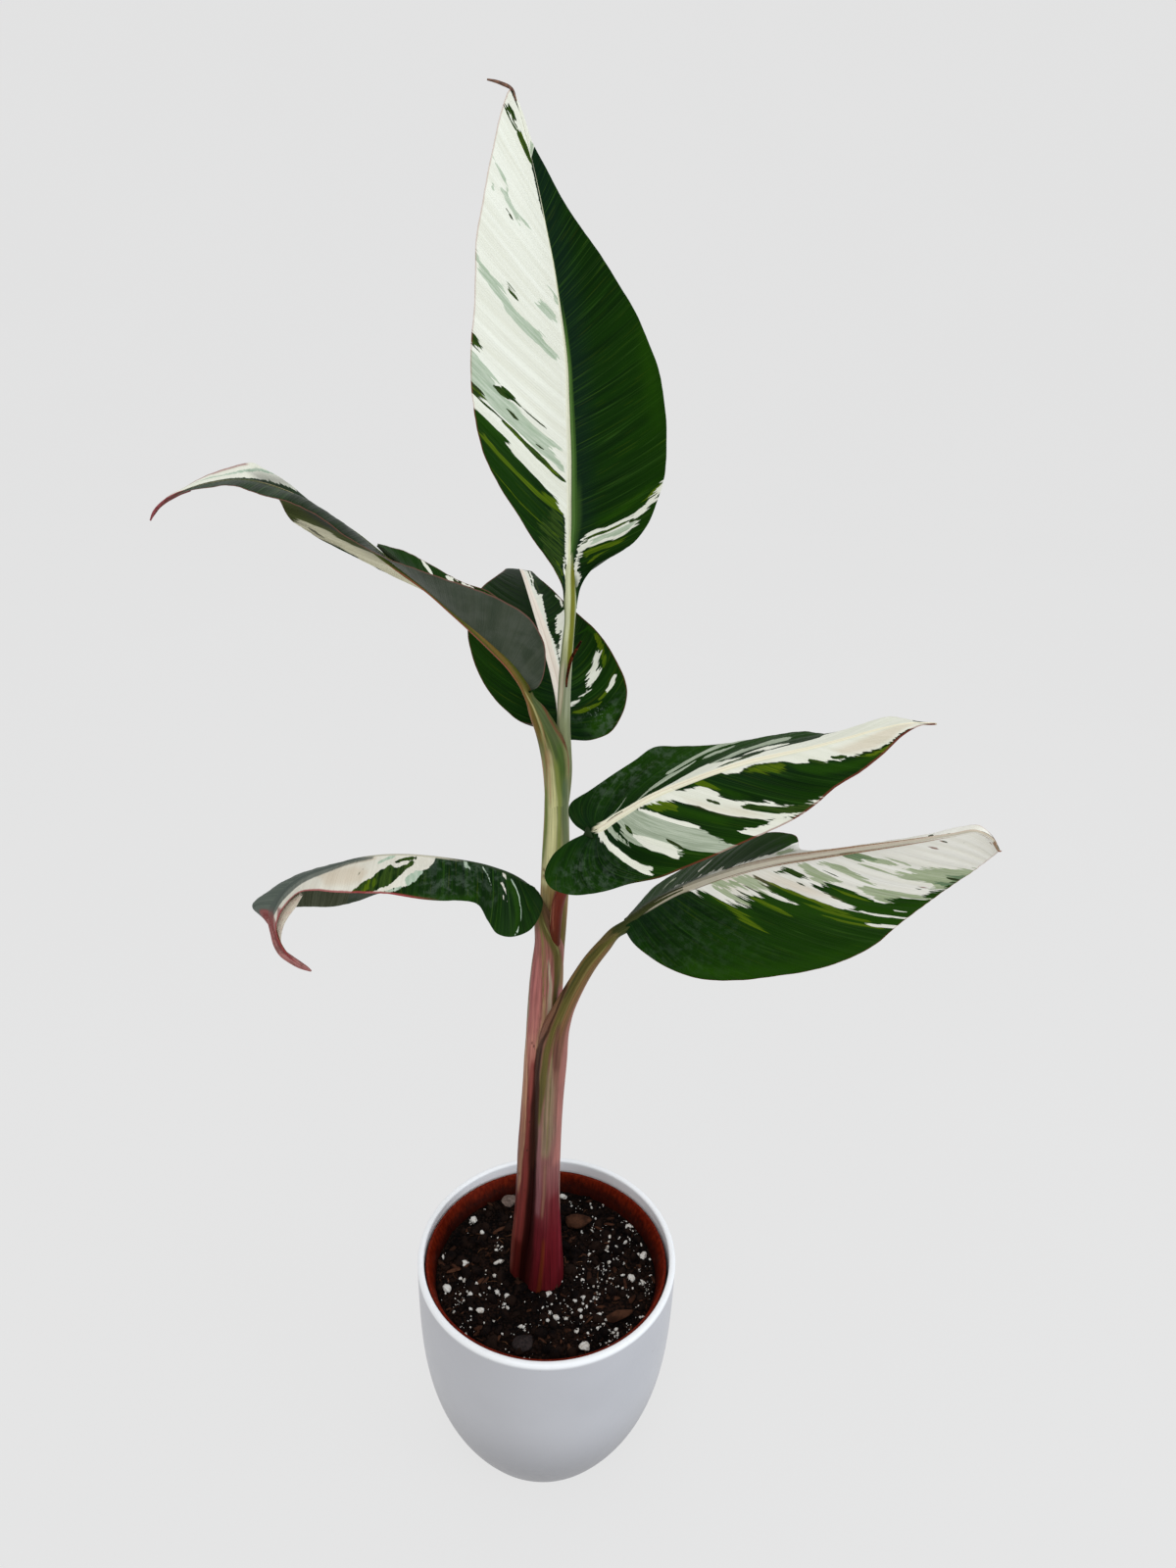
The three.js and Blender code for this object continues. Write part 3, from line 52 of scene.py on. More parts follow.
# ------------------------------------------------------------------ tables, mm
# blades: [midrib, halfway a, margin a, halfway b, margin b] per station, from the petiole to the tip
LEAVES = {}
LEAVES["A"] = [
    [[4.21, 4, 477.11], [3.21, 3.77, 477.62], [2.09, 3.36, 478.46], [5.36, 3.84, 477.1], [6.52, 3.49, 477.36]],
    [[4.12, 4.35, 480.59], [2.45, 3.97, 483.42], [0.59, 3.31, 486.75], [6.09, 4.06, 483.32], [8.19, 3.42, 486.59]],
    [[4.02, 4.98, 483.96], [0.37, 4.14, 488.94], [-3.69, 2.67, 495], [7.98, 4.35, 488.49], [12.89, 2.96, 494.51]],
    [[3.72, 5.75, 488.06], [-2.5, 4.3, 494.67], [-9.37, 1.76, 503.11], [9.39, 4.64, 491.6], [19.5, 2.18, 499.2]],
    [[3.59, 6.6, 492.5], [-5.6, 4.43, 501.63], [-15.66, 0.63, 513.33], [10.15, 4.93, 494.51], [27.1, 1.25, 504.49]],
    [[3.47, 7.44, 496.93], [-8.85, 4.51, 508.66], [-22.15, -0.61, 523.68], [12.56, 5.35, 500.19], [32.62, 0.74, 512.32]],
    [[3.35, 8.27, 501.32], [-11.7, 4.67, 516.19], [-27.75, -1.63, 534.81], [16.88, 5.91, 508.33], [35.78, 0.73, 521.65]],
    [[3.32, 9.67, 508.98], [-13.28, 5.67, 525.25], [-30.86, -1.33, 545.47], [20.8, 7.17, 518], [37.85, 1.67, 530.55]],
    [[3.09, 11.2, 517.27], [-14.15, 7.2, 533.22], [-32.32, 0.2, 553.04], [21.04, 8.7, 526.6], [38.13, 3.2, 539.14]],
    [[2.88, 12.57, 525.13], [-14.63, 8.57, 539.55], [-33.09, 1.57, 557.88], [20.69, 10.07, 535.38], [37.62, 4.57, 548.68]],
    [[2.63, 14, 533.98], [-14.94, 10, 548.64], [-33.44, 3, 567.04], [19.78, 11.5, 544.38], [36.07, 6, 557.69]],
    [[1.98, 15.71, 544.45], [-15.09, 11.71, 558.26], [-33.13, 4.71, 575.74], [18.31, 13.32, 554.1], [33.88, 8.05, 566.47]],
    [[1.34, 17.25, 554.79], [-14.88, 13.25, 568.79], [-32.09, 6.25, 586.3], [15.76, 15.12, 564.27], [29.55, 10.43, 576.05]],
    [[0.71, 18.75, 564.98], [-15.04, 14.79, 579.83], [-31.74, 7.87, 597.91], [12.88, 16.93, 574.3], [24.58, 12.94, 585.49]],
    [[-0.63, 20.2, 574.99], [-15.59, 16.41, 589.91], [-31.45, 9.78, 607.75], [9.18, 18.73, 583.69], [18.66, 15.48, 593.84]],
    [[-2.68, 21.6, 586.49], [-15.86, 18.23, 600.43], [-29.9, 12.34, 616.88], [4.79, 20.47, 594.08], [12.07, 17.98, 602.74]],
    [[-5.09, 23.2, 599.36], [-16.18, 20.34, 612.38], [-28.04, 15.33, 627.43], [-0.45, 22.49, 605.42], [4.12, 20.93, 612.13]],
    [[-7.76, 24.33, 610.4], [-16.48, 22.06, 623.11], [-25.86, 18.08, 637.29], [-4.85, 23.89, 614.99], [-1.97, 22.9, 619.97]],
    [[-11.09, 25.33, 624.29], [-17.3, 23.69, 634.11], [-24.04, 20.82, 645.01], [-9.74, 25.12, 627.13], [-8.38, 24.66, 630.16]],
    [[-13.96, 26, 634.83], [-18.05, 24.91, 642.07], [-22.53, 22.99, 650.06], [-13.63, 25.95, 636.46], [-13.29, 25.83, 638.13]],
    [[-17.06, 26, 645.12], [-19.15, 25.43, 648.73], [-21.48, 24.44, 652.76], [-16.98, 25.99, 646.29], [-16.9, 25.96, 647.47]],
    [[-19.42, 26, 651.75], [-20.11, 25.81, 652.58], [-20.89, 25.48, 653.55], [-19.34, 25.99, 652.03], [-19.25, 25.96, 652.33]],
]
LEAVES["B"] = [
    [[2.64, 20, 415.03], [0.95, 19.5, 416.58], [-0.74, 19, 418.13], [4.13, 20, 413.93], [5.63, 20, 412.82]],
    [[2.32, 22, 416.87], [-3.77, 22, 416.65], [-9.11, 19, 419.66], [8.5, 23, 412.92], [14.04, 23, 411.73]],
    [[2.02, 23.5, 418.95], [-7.6, 22.5, 417.67], [-16.6, 18.5, 421.9], [11.81, 25.5, 414.22], [22.01, 26.5, 413.66]],
    [[1.5, 25, 421.48], [-11.02, 23, 421], [-23.61, 18, 428.2], [15.07, 28, 417.39], [27.26, 30, 421.13]],
    [[0.96, 27, 423.8], [-14.47, 24, 425.47], [-29.75, 18, 435.57], [16.62, 31, 421.23], [29.12, 34, 428.24]],
    [[0.19, 29, 427.5], [-17.48, 25, 431.74], [-34.25, 19, 443.82], [15.57, 33, 426.8], [28.05, 37, 434.3]],
    [[-1.08, 33, 430.79], [-20.27, 29, 438.09], [-37.48, 22, 452.54], [14.09, 38, 431.56], [24.89, 42, 439.5]],
    [[-2.61, 38, 434.63], [-22.73, 34, 444.09], [-38.91, 27, 459.7], [11.7, 43, 437.72], [20.4, 47, 445.62]],
    [[-5.17, 46, 439.62], [-24.18, 42, 449.52], [-38.43, 35, 464.67], [7.54, 51, 442.74], [15.05, 55, 449.77]],
    [[-8.35, 57, 445.47], [-24.66, 54, 453.73], [-37.13, 47, 466.78], [2.36, 62, 446.8], [8.29, 66, 452.05]],
    [[-12.71, 72, 451.56], [-25, 70, 457.36], [-35.36, 64, 466.21], [-4.91, 77, 451.06], [0.29, 81, 453.64]],
    [[-16.81, 88, 456.39], [-24.92, 87, 459.72], [-31.7, 82, 464.77], [-11.59, 93, 454.48], [-7.18, 97, 455.25]],
    [[-19.74, 102, 458.02], [-25.01, 101, 459.82], [-29.85, 98, 462.24], [-16.48, 106, 456.88], [-13.64, 110, 455.98]],
    [[-22.28, 116, 457.49], [-25.77, 115, 458.4], [-29.17, 113, 458.89], [-20.12, 119.5, 456.25], [-17.92, 123, 455.01]],
    [[-23.6, 129, 452.98], [-26.69, 128, 452.68], [-29.53, 127, 451.89], [-21.32, 131.5, 451.28], [-19.01, 134, 449.08]],
    [[-24.09, 139, 445.82], [-26.43, 138.3, 445.44], [-28.6, 137.5, 444.6], [-22.25, 140.5, 444.64], [-20.44, 142, 443.2]],
    [[-24.18, 146, 437.9], [-25.17, 145.7, 437.7], [-26.15, 145.3, 437.27], [-23.21, 146.7, 437.44], [-22.25, 147.5, 436.69]],
    [[-23.9, 150, 430.27], [-24, 150, 430.26], [-24.11, 150, 430.26], [-23.8, 150, 430.27], [-23.7, 150, 430.27]],
]
LEAVES["D"] = [
    [[15.19, -34, 398.17], [13.86, -34.5, 397.85], [12.52, -35, 397.53], [14.03, -33.5, 397.95], [12.87, -33, 397.74]],
    [[15.76, -34, 398.63], [11, -35, 396.58], [7.59, -36, 395.24], [12.04, -32, 398.92], [8.9, -31, 399.57]],
    [[16.33, -34, 398.97], [7.21, -36, 394.78], [0.81, -38, 389.9], [10.82, -31, 400.53], [6.02, -28, 403.13]],
    [[16.89, -34.2, 399.46], [6.55, -37.2, 391.44], [-2.45, -41.2, 384.05], [11.11, -29.2, 402.65], [7.01, -24.2, 405.98]],
    [[17.45, -34.4, 400.03], [7.83, -38.4, 387.71], [-0.72, -43.4, 378.67], [14.51, -26.4, 404.35], [14.27, -19.4, 409.26]],
    [[18.39, -34.7, 400.99], [11, -39.7, 385.91], [7.13, -45.7, 376.34], [19.47, -24.7, 407.16], [23.11, -15.7, 414.76]],
    [[19.69, -35, 402.22], [17.17, -41, 386.94], [19.4, -48, 379.42], [24.83, -23, 409.99], [31.95, -13, 420.34]],
    [[21.36, -35.3, 403.77], [23.58, -42.3, 390.66], [30.64, -49.3, 384.51], [30.13, -22.3, 413.78], [39.2, -11.3, 425.46]],
    [[24.12, -35.8, 406.55], [31.06, -42.8, 394.35], [41.76, -50.8, 388.55], [36.64, -21.8, 415.95], [48.31, -9.8, 425.52]],
    [[28.17, -36.5, 409.91], [38.35, -44.5, 399.59], [51.09, -52.5, 394.35], [43.13, -21.5, 418.22], [56.97, -9.5, 425.91]],
    [[33.63, -37.2, 414.37], [46.29, -45.2, 405.07], [60.59, -54.2, 400.52], [50.64, -22.2, 421.45], [67.15, -9.2, 427.01]],
    [[40.51, -38, 419.1], [55.23, -46, 410.58], [70, -55, 406.48], [59.18, -23, 425.17], [77.07, -10, 429.49]],
    [[49.15, -39, 423.94], [64.75, -47, 416.16], [78.88, -56, 412.26], [68.72, -24, 429.42], [87.62, -11, 432.5]],
    [[59.77, -40.5, 429.68], [74.74, -48.5, 422.36], [88.37, -56.5, 418.32], [78.69, -26.5, 433.94], [97.64, -14.5, 435.97]],
    [[71.68, -42, 435.18], [84.68, -49, 428.36], [96.17, -57, 425.26], [88.8, -30, 437.63], [106.17, -20, 437.76]],
    [[84.13, -44, 439.86], [94.27, -50, 435.33], [103.38, -57, 433.61], [98.59, -34, 441.31], [113.15, -26, 443.06]],
    [[96.34, -46, 444.47], [104.5, -51, 441.41], [111.98, -56, 439.8], [107.6, -38, 446.34], [118.69, -32, 448.64]],
    [[107.57, -48, 449.38], [113.56, -51.5, 447.52], [119.34, -55, 446.67], [115.49, -42.5, 451.48], [123.35, -38, 453.49]],
    [[117.9, -50, 454.08], [121.44, -52, 453.5], [125.24, -54, 453.4], [122.76, -46.5, 454.92], [127.44, -44, 455.92]],
    [[126.49, -52, 457.35], [128.46, -52.7, 457.16], [130.39, -53.5, 457.02], [128.61, -51, 457.55], [130.77, -50, 457.57]],
    [[136.61, -54, 458.81], [136.61, -54, 458.81], [136.61, -54, 458.81], [136.61, -54, 458.81], [136.61, -54, 458.81]],
]
LEAVES["E"] = [
    [[-9.94, -9, 356.17], [-7.36, -10, 355.41], [-5.6, -11, 353.63], [-11.33, -7, 355.85], [-12.65, -6, 355.17]],
    [[-11.18, -9.5, 357.92], [-6.85, -11.5, 354.9], [-4.15, -14.5, 351.97], [-13.6, -4.5, 354.69], [-16.35, -1.5, 351.19]],
    [[-12.84, -10, 359.64], [-7.98, -13.5, 353.16], [-5.18, -18, 347.77], [-16.32, -2, 353.51], [-20.12, 3, 346.67]],
    [[-14.7, -10.5, 361.35], [-10.78, -15.5, 351.87], [-9.11, -21.5, 342.48], [-18.99, -0.5, 352.47], [-23.89, 6.5, 342.75]],
    [[-16.96, -11, 363.04], [-14.86, -17, 351.2], [-16.43, -24, 340.39], [-22.11, 1, 352.17], [-28.06, 9, 339.96]],
    [[-19.8, -12, 365.01], [-19.7, -19, 353.79], [-22.4, -27, 343.72], [-25.54, 1, 353.04], [-32.14, 10, 338.64]],
    [[-23.44, -13, 366.93], [-24.05, -21, 359.31], [-26.27, -29, 351.81], [-29.82, 1, 354.64], [-37, 10, 338.44]],
    [[-28.29, -14, 369.28], [-28.77, -22.5, 364.9], [-30.03, -31, 360.71], [-34.85, -0, 355.56], [-42.73, 10, 338.74]],
    [[-34.75, -15, 371.31], [-35.5, -24, 367.49], [-36.67, -32.5, 363.33], [-41.55, -1, 357.42], [-49.64, 9, 340.15]],
    [[-42.8, -16, 373.13], [-43.85, -25, 369.21], [-45.27, -34, 363.96], [-49.91, -2, 358.7], [-57.84, 8, 340.99]],
    [[-52.03, -17, 374.7], [-53.35, -26, 370.88], [-55.46, -35, 365.39], [-59.52, -3, 359.44], [-67.78, 7, 341.23]],
    [[-62.03, -18, 375.62], [-64.01, -27, 372.02], [-65.93, -36, 367.73], [-69.1, -4, 359.67], [-78.4, 5, 341.06]],
    [[-72.04, -19, 375.35], [-74.64, -28, 372.46], [-77.6, -37, 368.38], [-79.72, -6, 359.99], [-88.71, 3, 337.8]],
    [[-82.11, -20, 373.67], [-84.61, -28.5, 371.68], [-86.71, -37, 368.26], [-89.84, -8, 360.33], [-98.63, 0, 336.78]],
    [[-91.88, -21, 370.35], [-93.57, -28.5, 369.68], [-95.24, -36, 368.22], [-101.64, -10, 359.63], [-107.83, -3, 338.38]],
    [[-101.29, -22, 366.79], [-102.01, -28, 365.97], [-102.67, -34, 365.49], [-112.84, -13, 357.37], [-115.35, -7, 340.19]],
    [[-108.81, -23, 361.85], [-108.24, -27.5, 360.65], [-108.04, -32, 359.72], [-121.43, -16, 353.28], [-122.49, -11, 340]],
    [[-114.05, -24, 355.28], [-113.44, -27, 353.85], [-112.41, -30, 352.47], [-126.86, -19, 349.33], [-125.22, -16, 342.19]],
    [[-117.05, -25, 348.97], [-116.08, -27, 347.4], [-114.9, -29, 345.84], [-122.69, -22, 347.75], [-121.83, -21, 342.16]],
    [[-117.06, -26, 341.74], [-116.24, -27.2, 340.61], [-115.14, -28.5, 340.05], [-117.61, -25, 340.79], [-118.41, -24, 339.33]],
    [[-115.02, -26.5, 333.16], [-114.43, -27.2, 333.17], [-113.55, -28, 333.77], [-115.43, -26, 332.28], [-116.07, -25.5, 331.15]],
    [[-110.08, -27, 326.1], [-109.53, -27.4, 326.56], [-109.19, -27.8, 326.96], [-110.4, -26.8, 325.43], [-110.74, -26.5, 324.68]],
    [[-102.94, -27, 320.99], [-102.94, -27, 320.99], [-102.94, -27, 320.99], [-102.94, -27, 320.99], [-102.94, -27, 320.99]],
]
LEAVES["F"] = [
    [[30.67, -22, 347.89], [30.48, -22.5, 347.23], [30.3, -23, 346.56], [30.77, -21.25, 348.13], [30.87, -20.5, 348.38]],
    [[31.63, -22.6, 349.32], [32.62, -24.1, 345.17], [34.24, -25.6, 341.03], [32.07, -20.6, 349.49], [32.69, -18.6, 350.16]],
    [[32.98, -23.5, 351.21], [36.81, -26, 343.41], [41.88, -28.5, 335.85], [33.87, -19.5, 351.3], [35.19, -15.5, 351.45]],
    [[34.89, -24.7, 353.81], [42.82, -28.2, 341.69], [52.37, -31.7, 331.27], [36.67, -18.2, 354.01], [38.9, -11.7, 354.34]],
    [[37.15, -26.2, 357.08], [49.71, -30.7, 341.73], [63.79, -35.2, 330.01], [39.84, -17.7, 357.26], [42.99, -9.2, 357.86]],
    [[40.13, -28.2, 361.17], [58, -33.7, 343.69], [77.16, -39.2, 332.78], [43.74, -18.2, 361.15], [48.26, -8.2, 361.89]],
    [[44.57, -31, 366.51], [67.98, -37, 348.13], [92.43, -43, 338.22], [49.48, -20, 366.87], [55.36, -9, 367.79]],
    [[50.41, -34.5, 372.74], [78.33, -40.5, 354.62], [107, -47.5, 345.31], [57.04, -22.5, 373.49], [64.73, -10.5, 374.61]],
    [[57.22, -38.5, 379], [88.22, -44.5, 362.29], [118.28, -51.5, 353.72], [65.53, -25.5, 380.81], [75.32, -13.5, 382.49]],
    [[65.65, -43, 385.99], [97.97, -49, 371.07], [127.86, -55, 363.88], [75.97, -30, 388.5], [87.52, -17, 390.81]],
    [[75.16, -48.5, 393.51], [106.46, -54, 380.17], [133.56, -59.5, 375.68], [85.8, -35.5, 393.48], [98.13, -22.5, 393.2]],
    [[85.47, -54, 400.28], [114.37, -58.5, 388.51], [139.41, -63, 385.82], [92.51, -41, 396.09], [99.4, -29, 391.09]],
    [[96.45, -60, 406.42], [122.56, -63.5, 397], [144.27, -67, 395.13], [102.42, -49, 401.64], [108.63, -38, 396.5]],
    [[107.7, -66, 412.48], [129.59, -68.5, 405.88], [148.66, -71, 403.56], [113.09, -57, 408.67], [119.02, -48, 404.71]],
    [[119.17, -72, 418.48], [136.79, -73.5, 413.54], [151.99, -75, 410.73], [123.83, -65, 416.03], [128.64, -58, 413.21]],
    [[130.44, -77, 424.02], [143.2, -78, 420.5], [153.97, -79, 416.7], [133.93, -72, 422.68], [137.83, -67, 421.18]],
    [[140.3, -81, 428.86], [148.57, -81.5, 425.54], [155.38, -82, 421.15], [142.42, -78, 429], [144.97, -75, 428.78]],
    [[147.73, -84, 432.01], [151.93, -84.3, 428.85], [155.78, -84.5, 424.23], [148.79, -82.5, 432.17], [149.86, -81, 432.34]],
    [[152.35, -85.5, 430.14], [154.21, -85.7, 428], [155.78, -85.8, 425.78], [152.85, -85, 430.07], [153.34, -84.5, 429.99]],
    [[155.9, -86, 425.71], [155.9, -86, 425.71], [155.9, -86, 425.71], [155.9, -86, 425.71], [155.9, -86, 425.71]],
]
# the upper left leaf is ripped on its far side: three flaps, [midrib, halfway, margin] per station
LEAF_C_NEAR = [
    [[-9.9, -7, 443.79], [-11.21, -8, 445], [-11.74, -9, 446.66]],
    [[-11.06, -7.3, 445.97], [-9.8, -9.3, 447.69], [-7.73, -12.3, 449.85]],
    [[-13, -7.6, 448.96], [-8.95, -11.6, 454.45], [-4.6, -16.6, 460.66]],
    [[-16.07, -8, 452.75], [-10.83, -13, 462.25], [-4.94, -20, 471.85]],
    [[-19.87, -8.5, 457.33], [-14.9, -14.5, 469.07], [-10.03, -22.5, 481.83]],
    [[-25.14, -9, 463.04], [-22.22, -16, 475.64], [-19.69, -24, 488.8]],
    [[-32.15, -10, 470.38], [-30.82, -18, 481.46], [-30.09, -27, 493.87]],
    [[-40.87, -11, 479.09], [-40.26, -20.5, 487.68], [-40.61, -30, 498.3]],
    [[-50.11, -12, 488.17], [-49.8, -23, 494.88], [-50.2, -33, 502.49]],
    [[-58.48, -13, 495.58], [-58.07, -25.5, 500.86], [-58.22, -36, 506.14]],
    [[-65.99, -14, 502.32], [-65.27, -27, 506.82], [-65.54, -38, 510.32]],
    [[-73.71, -15, 509.12], [-72.71, -28, 513.58], [-73.52, -39, 515.51]],
    [[-82.71, -16, 515.57], [-81.93, -28, 520.42], [-82.47, -39, 522.18]],
    [[-92.6, -17, 522.05], [-91.46, -28, 525.78], [-91.5, -39, 526.42]],
    [[-101.96, -17.5, 526.06], [-101.33, -27.5, 527.72], [-101.67, -36.5, 528.15]],
    [[-112.09, -18, 528.27], [-111.83, -26, 529.41], [-111.84, -33, 530.01]],
    [[-122.67, -18, 527.23], [-122.55, -23, 527.35], [-122.37, -27, 527.42]],
    [[-132.79, -18, 524.46], [-132.88, -20, 524.23], [-132.57, -22, 524.37]],
    [[-141.07, -18, 520.16], [-141.18, -18.8, 520], [-140.94, -19.5, 520]],
    [[-147.93, -18, 512.65], [-147.93, -18, 512.65], [-147.93, -18, 512.65]],
]
LEAF_C_BASE = [
    [[-9.9, -7, 443.79], [-11.54, -5.5, 443.94], [-12.42, -4, 444.54]],
    [[-11.06, -7.3, 445.97], [-10.85, -4.3, 446.83], [-9.47, -1.3, 447.33]],
    [[-13, -7.6, 448.96], [-10.99, -2.6, 452], [-7.78, 2.4, 454.73]],
    [[-16.07, -8, 452.75], [-14.24, -1, 459.14], [-10.81, 6, 464.9]],
    [[-19.87, -8.5, 457.33], [-19.77, 0.5, 464.95], [-18.48, 9.5, 472.83]],
    [[-25.14, -9, 463.04], [-27.2, 2, 470.66], [-28.01, 12, 479.99]],
    [[-32.15, -10, 470.38], [-35.58, 2, 476.01], [-39.45, 14, 483.19]],
    [[-40.87, -11, 479.09], [-46.26, 3, 482.88], [-51.47, 15, 489.28]],
    [[-50.11, -12, 488.17], [-55.92, 3, 489.62], [-62.28, 16, 494.37]],
    [[-58.48, -13, 495.58], [-65.12, 3, 495.51], [-72.58, 16, 496.97]],
]
LEAF_C_TIP = [
    [[-48.71, -11.8, 486.81], [-66.77, -5.8, 492.91], [-84.16, -1.8, 500.26]],
    [[-53.63, -12.3, 491.38], [-72.81, -4.3, 495.87], [-90.86, 0.7, 502.36]],
    [[-58.48, -13, 495.58], [-79.17, -3, 499.07], [-97.46, 3, 505.48]],
    [[-65.99, -14, 502.32], [-84.98, -2, 503.87], [-102.65, 4, 508.62]],
    [[-73.71, -15, 509.12], [-90.44, -2, 510.03], [-105.19, 5, 512.21]],
    [[-82.71, -16, 515.57], [-96.16, -2, 516.47], [-107.29, 6, 516.36]],
    [[-92.6, -17, 522.05], [-102.24, -5, 526.01], [-110.37, 5, 524.21]],
    [[-101.96, -17.5, 526.06], [-109.46, -6.5, 528.94], [-114.56, 3.5, 529.64]],
    [[-112.09, -18, 528.27], [-118.08, -9, 528.5], [-123.22, -1, 528.53]],
    [[-122.67, -18, 527.23], [-126.95, -12, 526.95], [-130.29, -7, 526.6]],
    [[-132.79, -18, 524.46], [-134.32, -15.5, 524.18], [-135.89, -13, 523.72]],
    [[-141.07, -18, 520.16], [-141.49, -17.2, 520.3], [-141.88, -16.5, 520.47]],
    [[-147.93, -18, 512.65], [-147.93, -18, 512.65], [-147.93, -18, 512.65]],
]
LEAF_C_RIB = [
    [-10.83, -7.25, 443.26, 1.94],
    [-11.74, -7.5, 445.54, 1.91],
    [-13.04, -7.85, 448.77, 1.88],
    [-15.56, -8.26, 453.06, 1.83],
    [-19.16, -8.79, 458.16, 1.77],
    [-24.45, -9.26, 463.87, 1.69],
    [-31.47, -10.26, 471.24, 1.59],
    [-40.3, -11.24, 479.81, 1.43],
    [-49.82, -12.22, 488.67, 1.27],
    [-58.7, -13.21, 495.39, 1.14],
    [-66.34, -14.33, 501.87, 1.2],
    [-74.03, -15.27, 508.67, 1.12],
    [-82.99, -16.21, 515.13, 1.02],
    [-92.83, -17.12, 521.61, 0.92],
    [-102.09, -17.53, 525.62, 0.83],
    [-112.11, -18.03, 527.86, 0.75],
    [-122.6, -17.99, 526.88, 0.65],
    [-132.68, -17.98, 524.18, 0.54],
    [-140.93, -17.93, 519.97, 0.45],
]
RIBS = {"A": [2, 1.9, 1.6, 1.1, 0.7, 0.35], "B": [2.1, 2, 1.8, 1.3, 0.9, 0.35], "C": [2.2, 1.8, 1.3, 1, 0.7, 0.35], "D": [2, 1.7, 1.5, 1.2, 0.8, 0.4], "E": [1.9, 1.5, 1.3, 1.1, 0.9, 0.4], "F": [2.2, 2.1, 1.9, 1.5, 1, 0.4]}
# stems and petioles: [x, y, z, radius]
CORE = [
    [-6.48, 3, 69.39, 7.6],
    [-6.71, 3, 96.54, 7.8],
    [-6.88, 2.5, 119.56, 7.6],
    [-6.74, 2, 164.92, 7],
    [-6, 2, 192.55, 7],
    [-4.44, 2, 228.48, 6.8],
    [-3.05, 1.5, 271.07, 6.6],
    [-1.3, 1, 310.84, 6.3],
    [0.02, 0.5, 340.86, 6.2],
    [0.51, 0, 364.39, 6],
    [0.53, 0, 387.61, 5.3],
    [0.29, 0, 401.16, 5],
    [0.55, 0, 409.87, 5.2],
    [1.26, 0, 415.78, 4.4],
]
SHEATH_E = [
    [-11.76, 1, 71.66, 7.8],
    [-11.63, 0.5, 106.83, 8],
    [-10.92, 0, 125.9, 8],
    [-8.64, 0, 166.93, 8],
    [-7.63, 0, 194.45, 8],
    [-5.78, 0, 230.24, 8],
    [-3.91, 0, 272.25, 7.9],
    [-2.32, -0.5, 309.16, 7.3],
    [-1.8, -1.5, 322.26, 6.4],
    [-3.35, -4, 332.85, 4.9],
    [-5.25, -7, 341.99, 3.3],
    [-7.18, -8.2, 349.27, 2.5],
]
SHEATH_F = [
    [-2.29, -5, 67.96, 10.8],
    [-2.13, -5, 100.37, 11.2],
    [-1.87, -4.5, 120.58, 10.6],
    [-1.39, -4, 141.64, 8.8],
    [-0.99, -5, 172.53, 6.9],
    [-0.86, -5, 199.68, 6.7],
    [-0.38, -5.5, 235.45, 7],
    [0.67, -6.5, 261.52, 7.3],
    [2.28, -8.5, 279.39, 6.4],
    [5.69, -10.5, 292.34, 4.9],
    [9.27, -12.5, 303.35, 4.2],
    [12.78, -14.5, 313.07, 3.8],
    [17.24, -17, 324.03, 3.5],
    [22.84, -19.5, 334.79, 3.1],
    [27.16, -21.2, 342.47, 2.6],
]
PETIOLES = {}
PETIOLES["A"] = [
    [2.58, 1, 387.14, 2.6],
    [3.61, 0.5, 408.83, 3],
    [3.23, 0.5, 417.4, 2.9],
    [2.77, 0.5, 426.28, 2.75],
    [2.58, 0.8, 439.21, 2.65],
    [2.89, 1.4, 451.73, 2.5],
    [3.58, 2.4, 463.84, 2.3],
    [4.17, 3.3, 472.92, 2.15],
    [4.14, 4.43, 479.66, 2.63],
    [4.08, 5.15, 482.05, 2.81],
    [3.94, 6.05, 484.67, 2.85],
    [3.64, 7.05, 489.12, 2.66],
    [3.52, 8.08, 493.8, 2.45],
    [3.4, 9.11, 497.88, 2.32],
    [3.3, 10.13, 502.27, 2.16],
    [3.28, 11.44, 508.95, 1.83],
    [3.05, 12.89, 516.93, 1.5],
]
PETIOLES["B"] = [
    [2.14, 2, 386.58, 2],
    [2.67, 3, 400.17, 2.4],
    [3.15, 8, 409.23, 2.4],
    [3.26, 15, 412.78, 2.3],
]
PETIOLES["C"] = [
    [0.68, 0.4, 377.83, 4.6],
    [0.49, 0, 389.97, 4.95],
    [0.31, -0.3, 400.85, 5.2],
    [-0.92, -1.8, 417.01, 5.65],
    [-4.67, -4.2, 429.47, 4.45],
    [-8.14, -6, 437.48, 3.35],
]
PETIOLES["D"] = [
    [0.97, -3, 318.1, 2.09],
    [1.11, -7, 332.47, 2.52],
    [2.14, -14, 349.91, 2.61],
    [6.78, -25, 373.07, 2.39],
    [12.25, -31.5, 391.02, 2.3],
]
TAIL_E = [
    [-119.26, -25.1, 346.3, 0.6],
    [-118.03, -25.3, 339.43, 1],
    [-116.93, -25.8, 334.25, 1.3],
    [-114.6, -26.2, 329.82, 1.55],
    [-110.8, -26.6, 326.65, 1.6],
    [-106.99, -26.8, 323.98, 1.35],
    [-104.41, -27, 322.58, 0.9],
    [-102.66, -27, 321.37, 0.35],
]
CURL_E = [
    [-106.15, -19.2, 355.18, 0.9],
    [-110.21, -19.4, 350.74, 2.3],
    [-114.06, -20, 345.43, 2.4],
    [-116.11, -20.8, 340.4, 1.9],
    [-116.82, -21.8, 335.37, 1.3],
    [-116.35, -22.6, 331.38, 0.5],
]
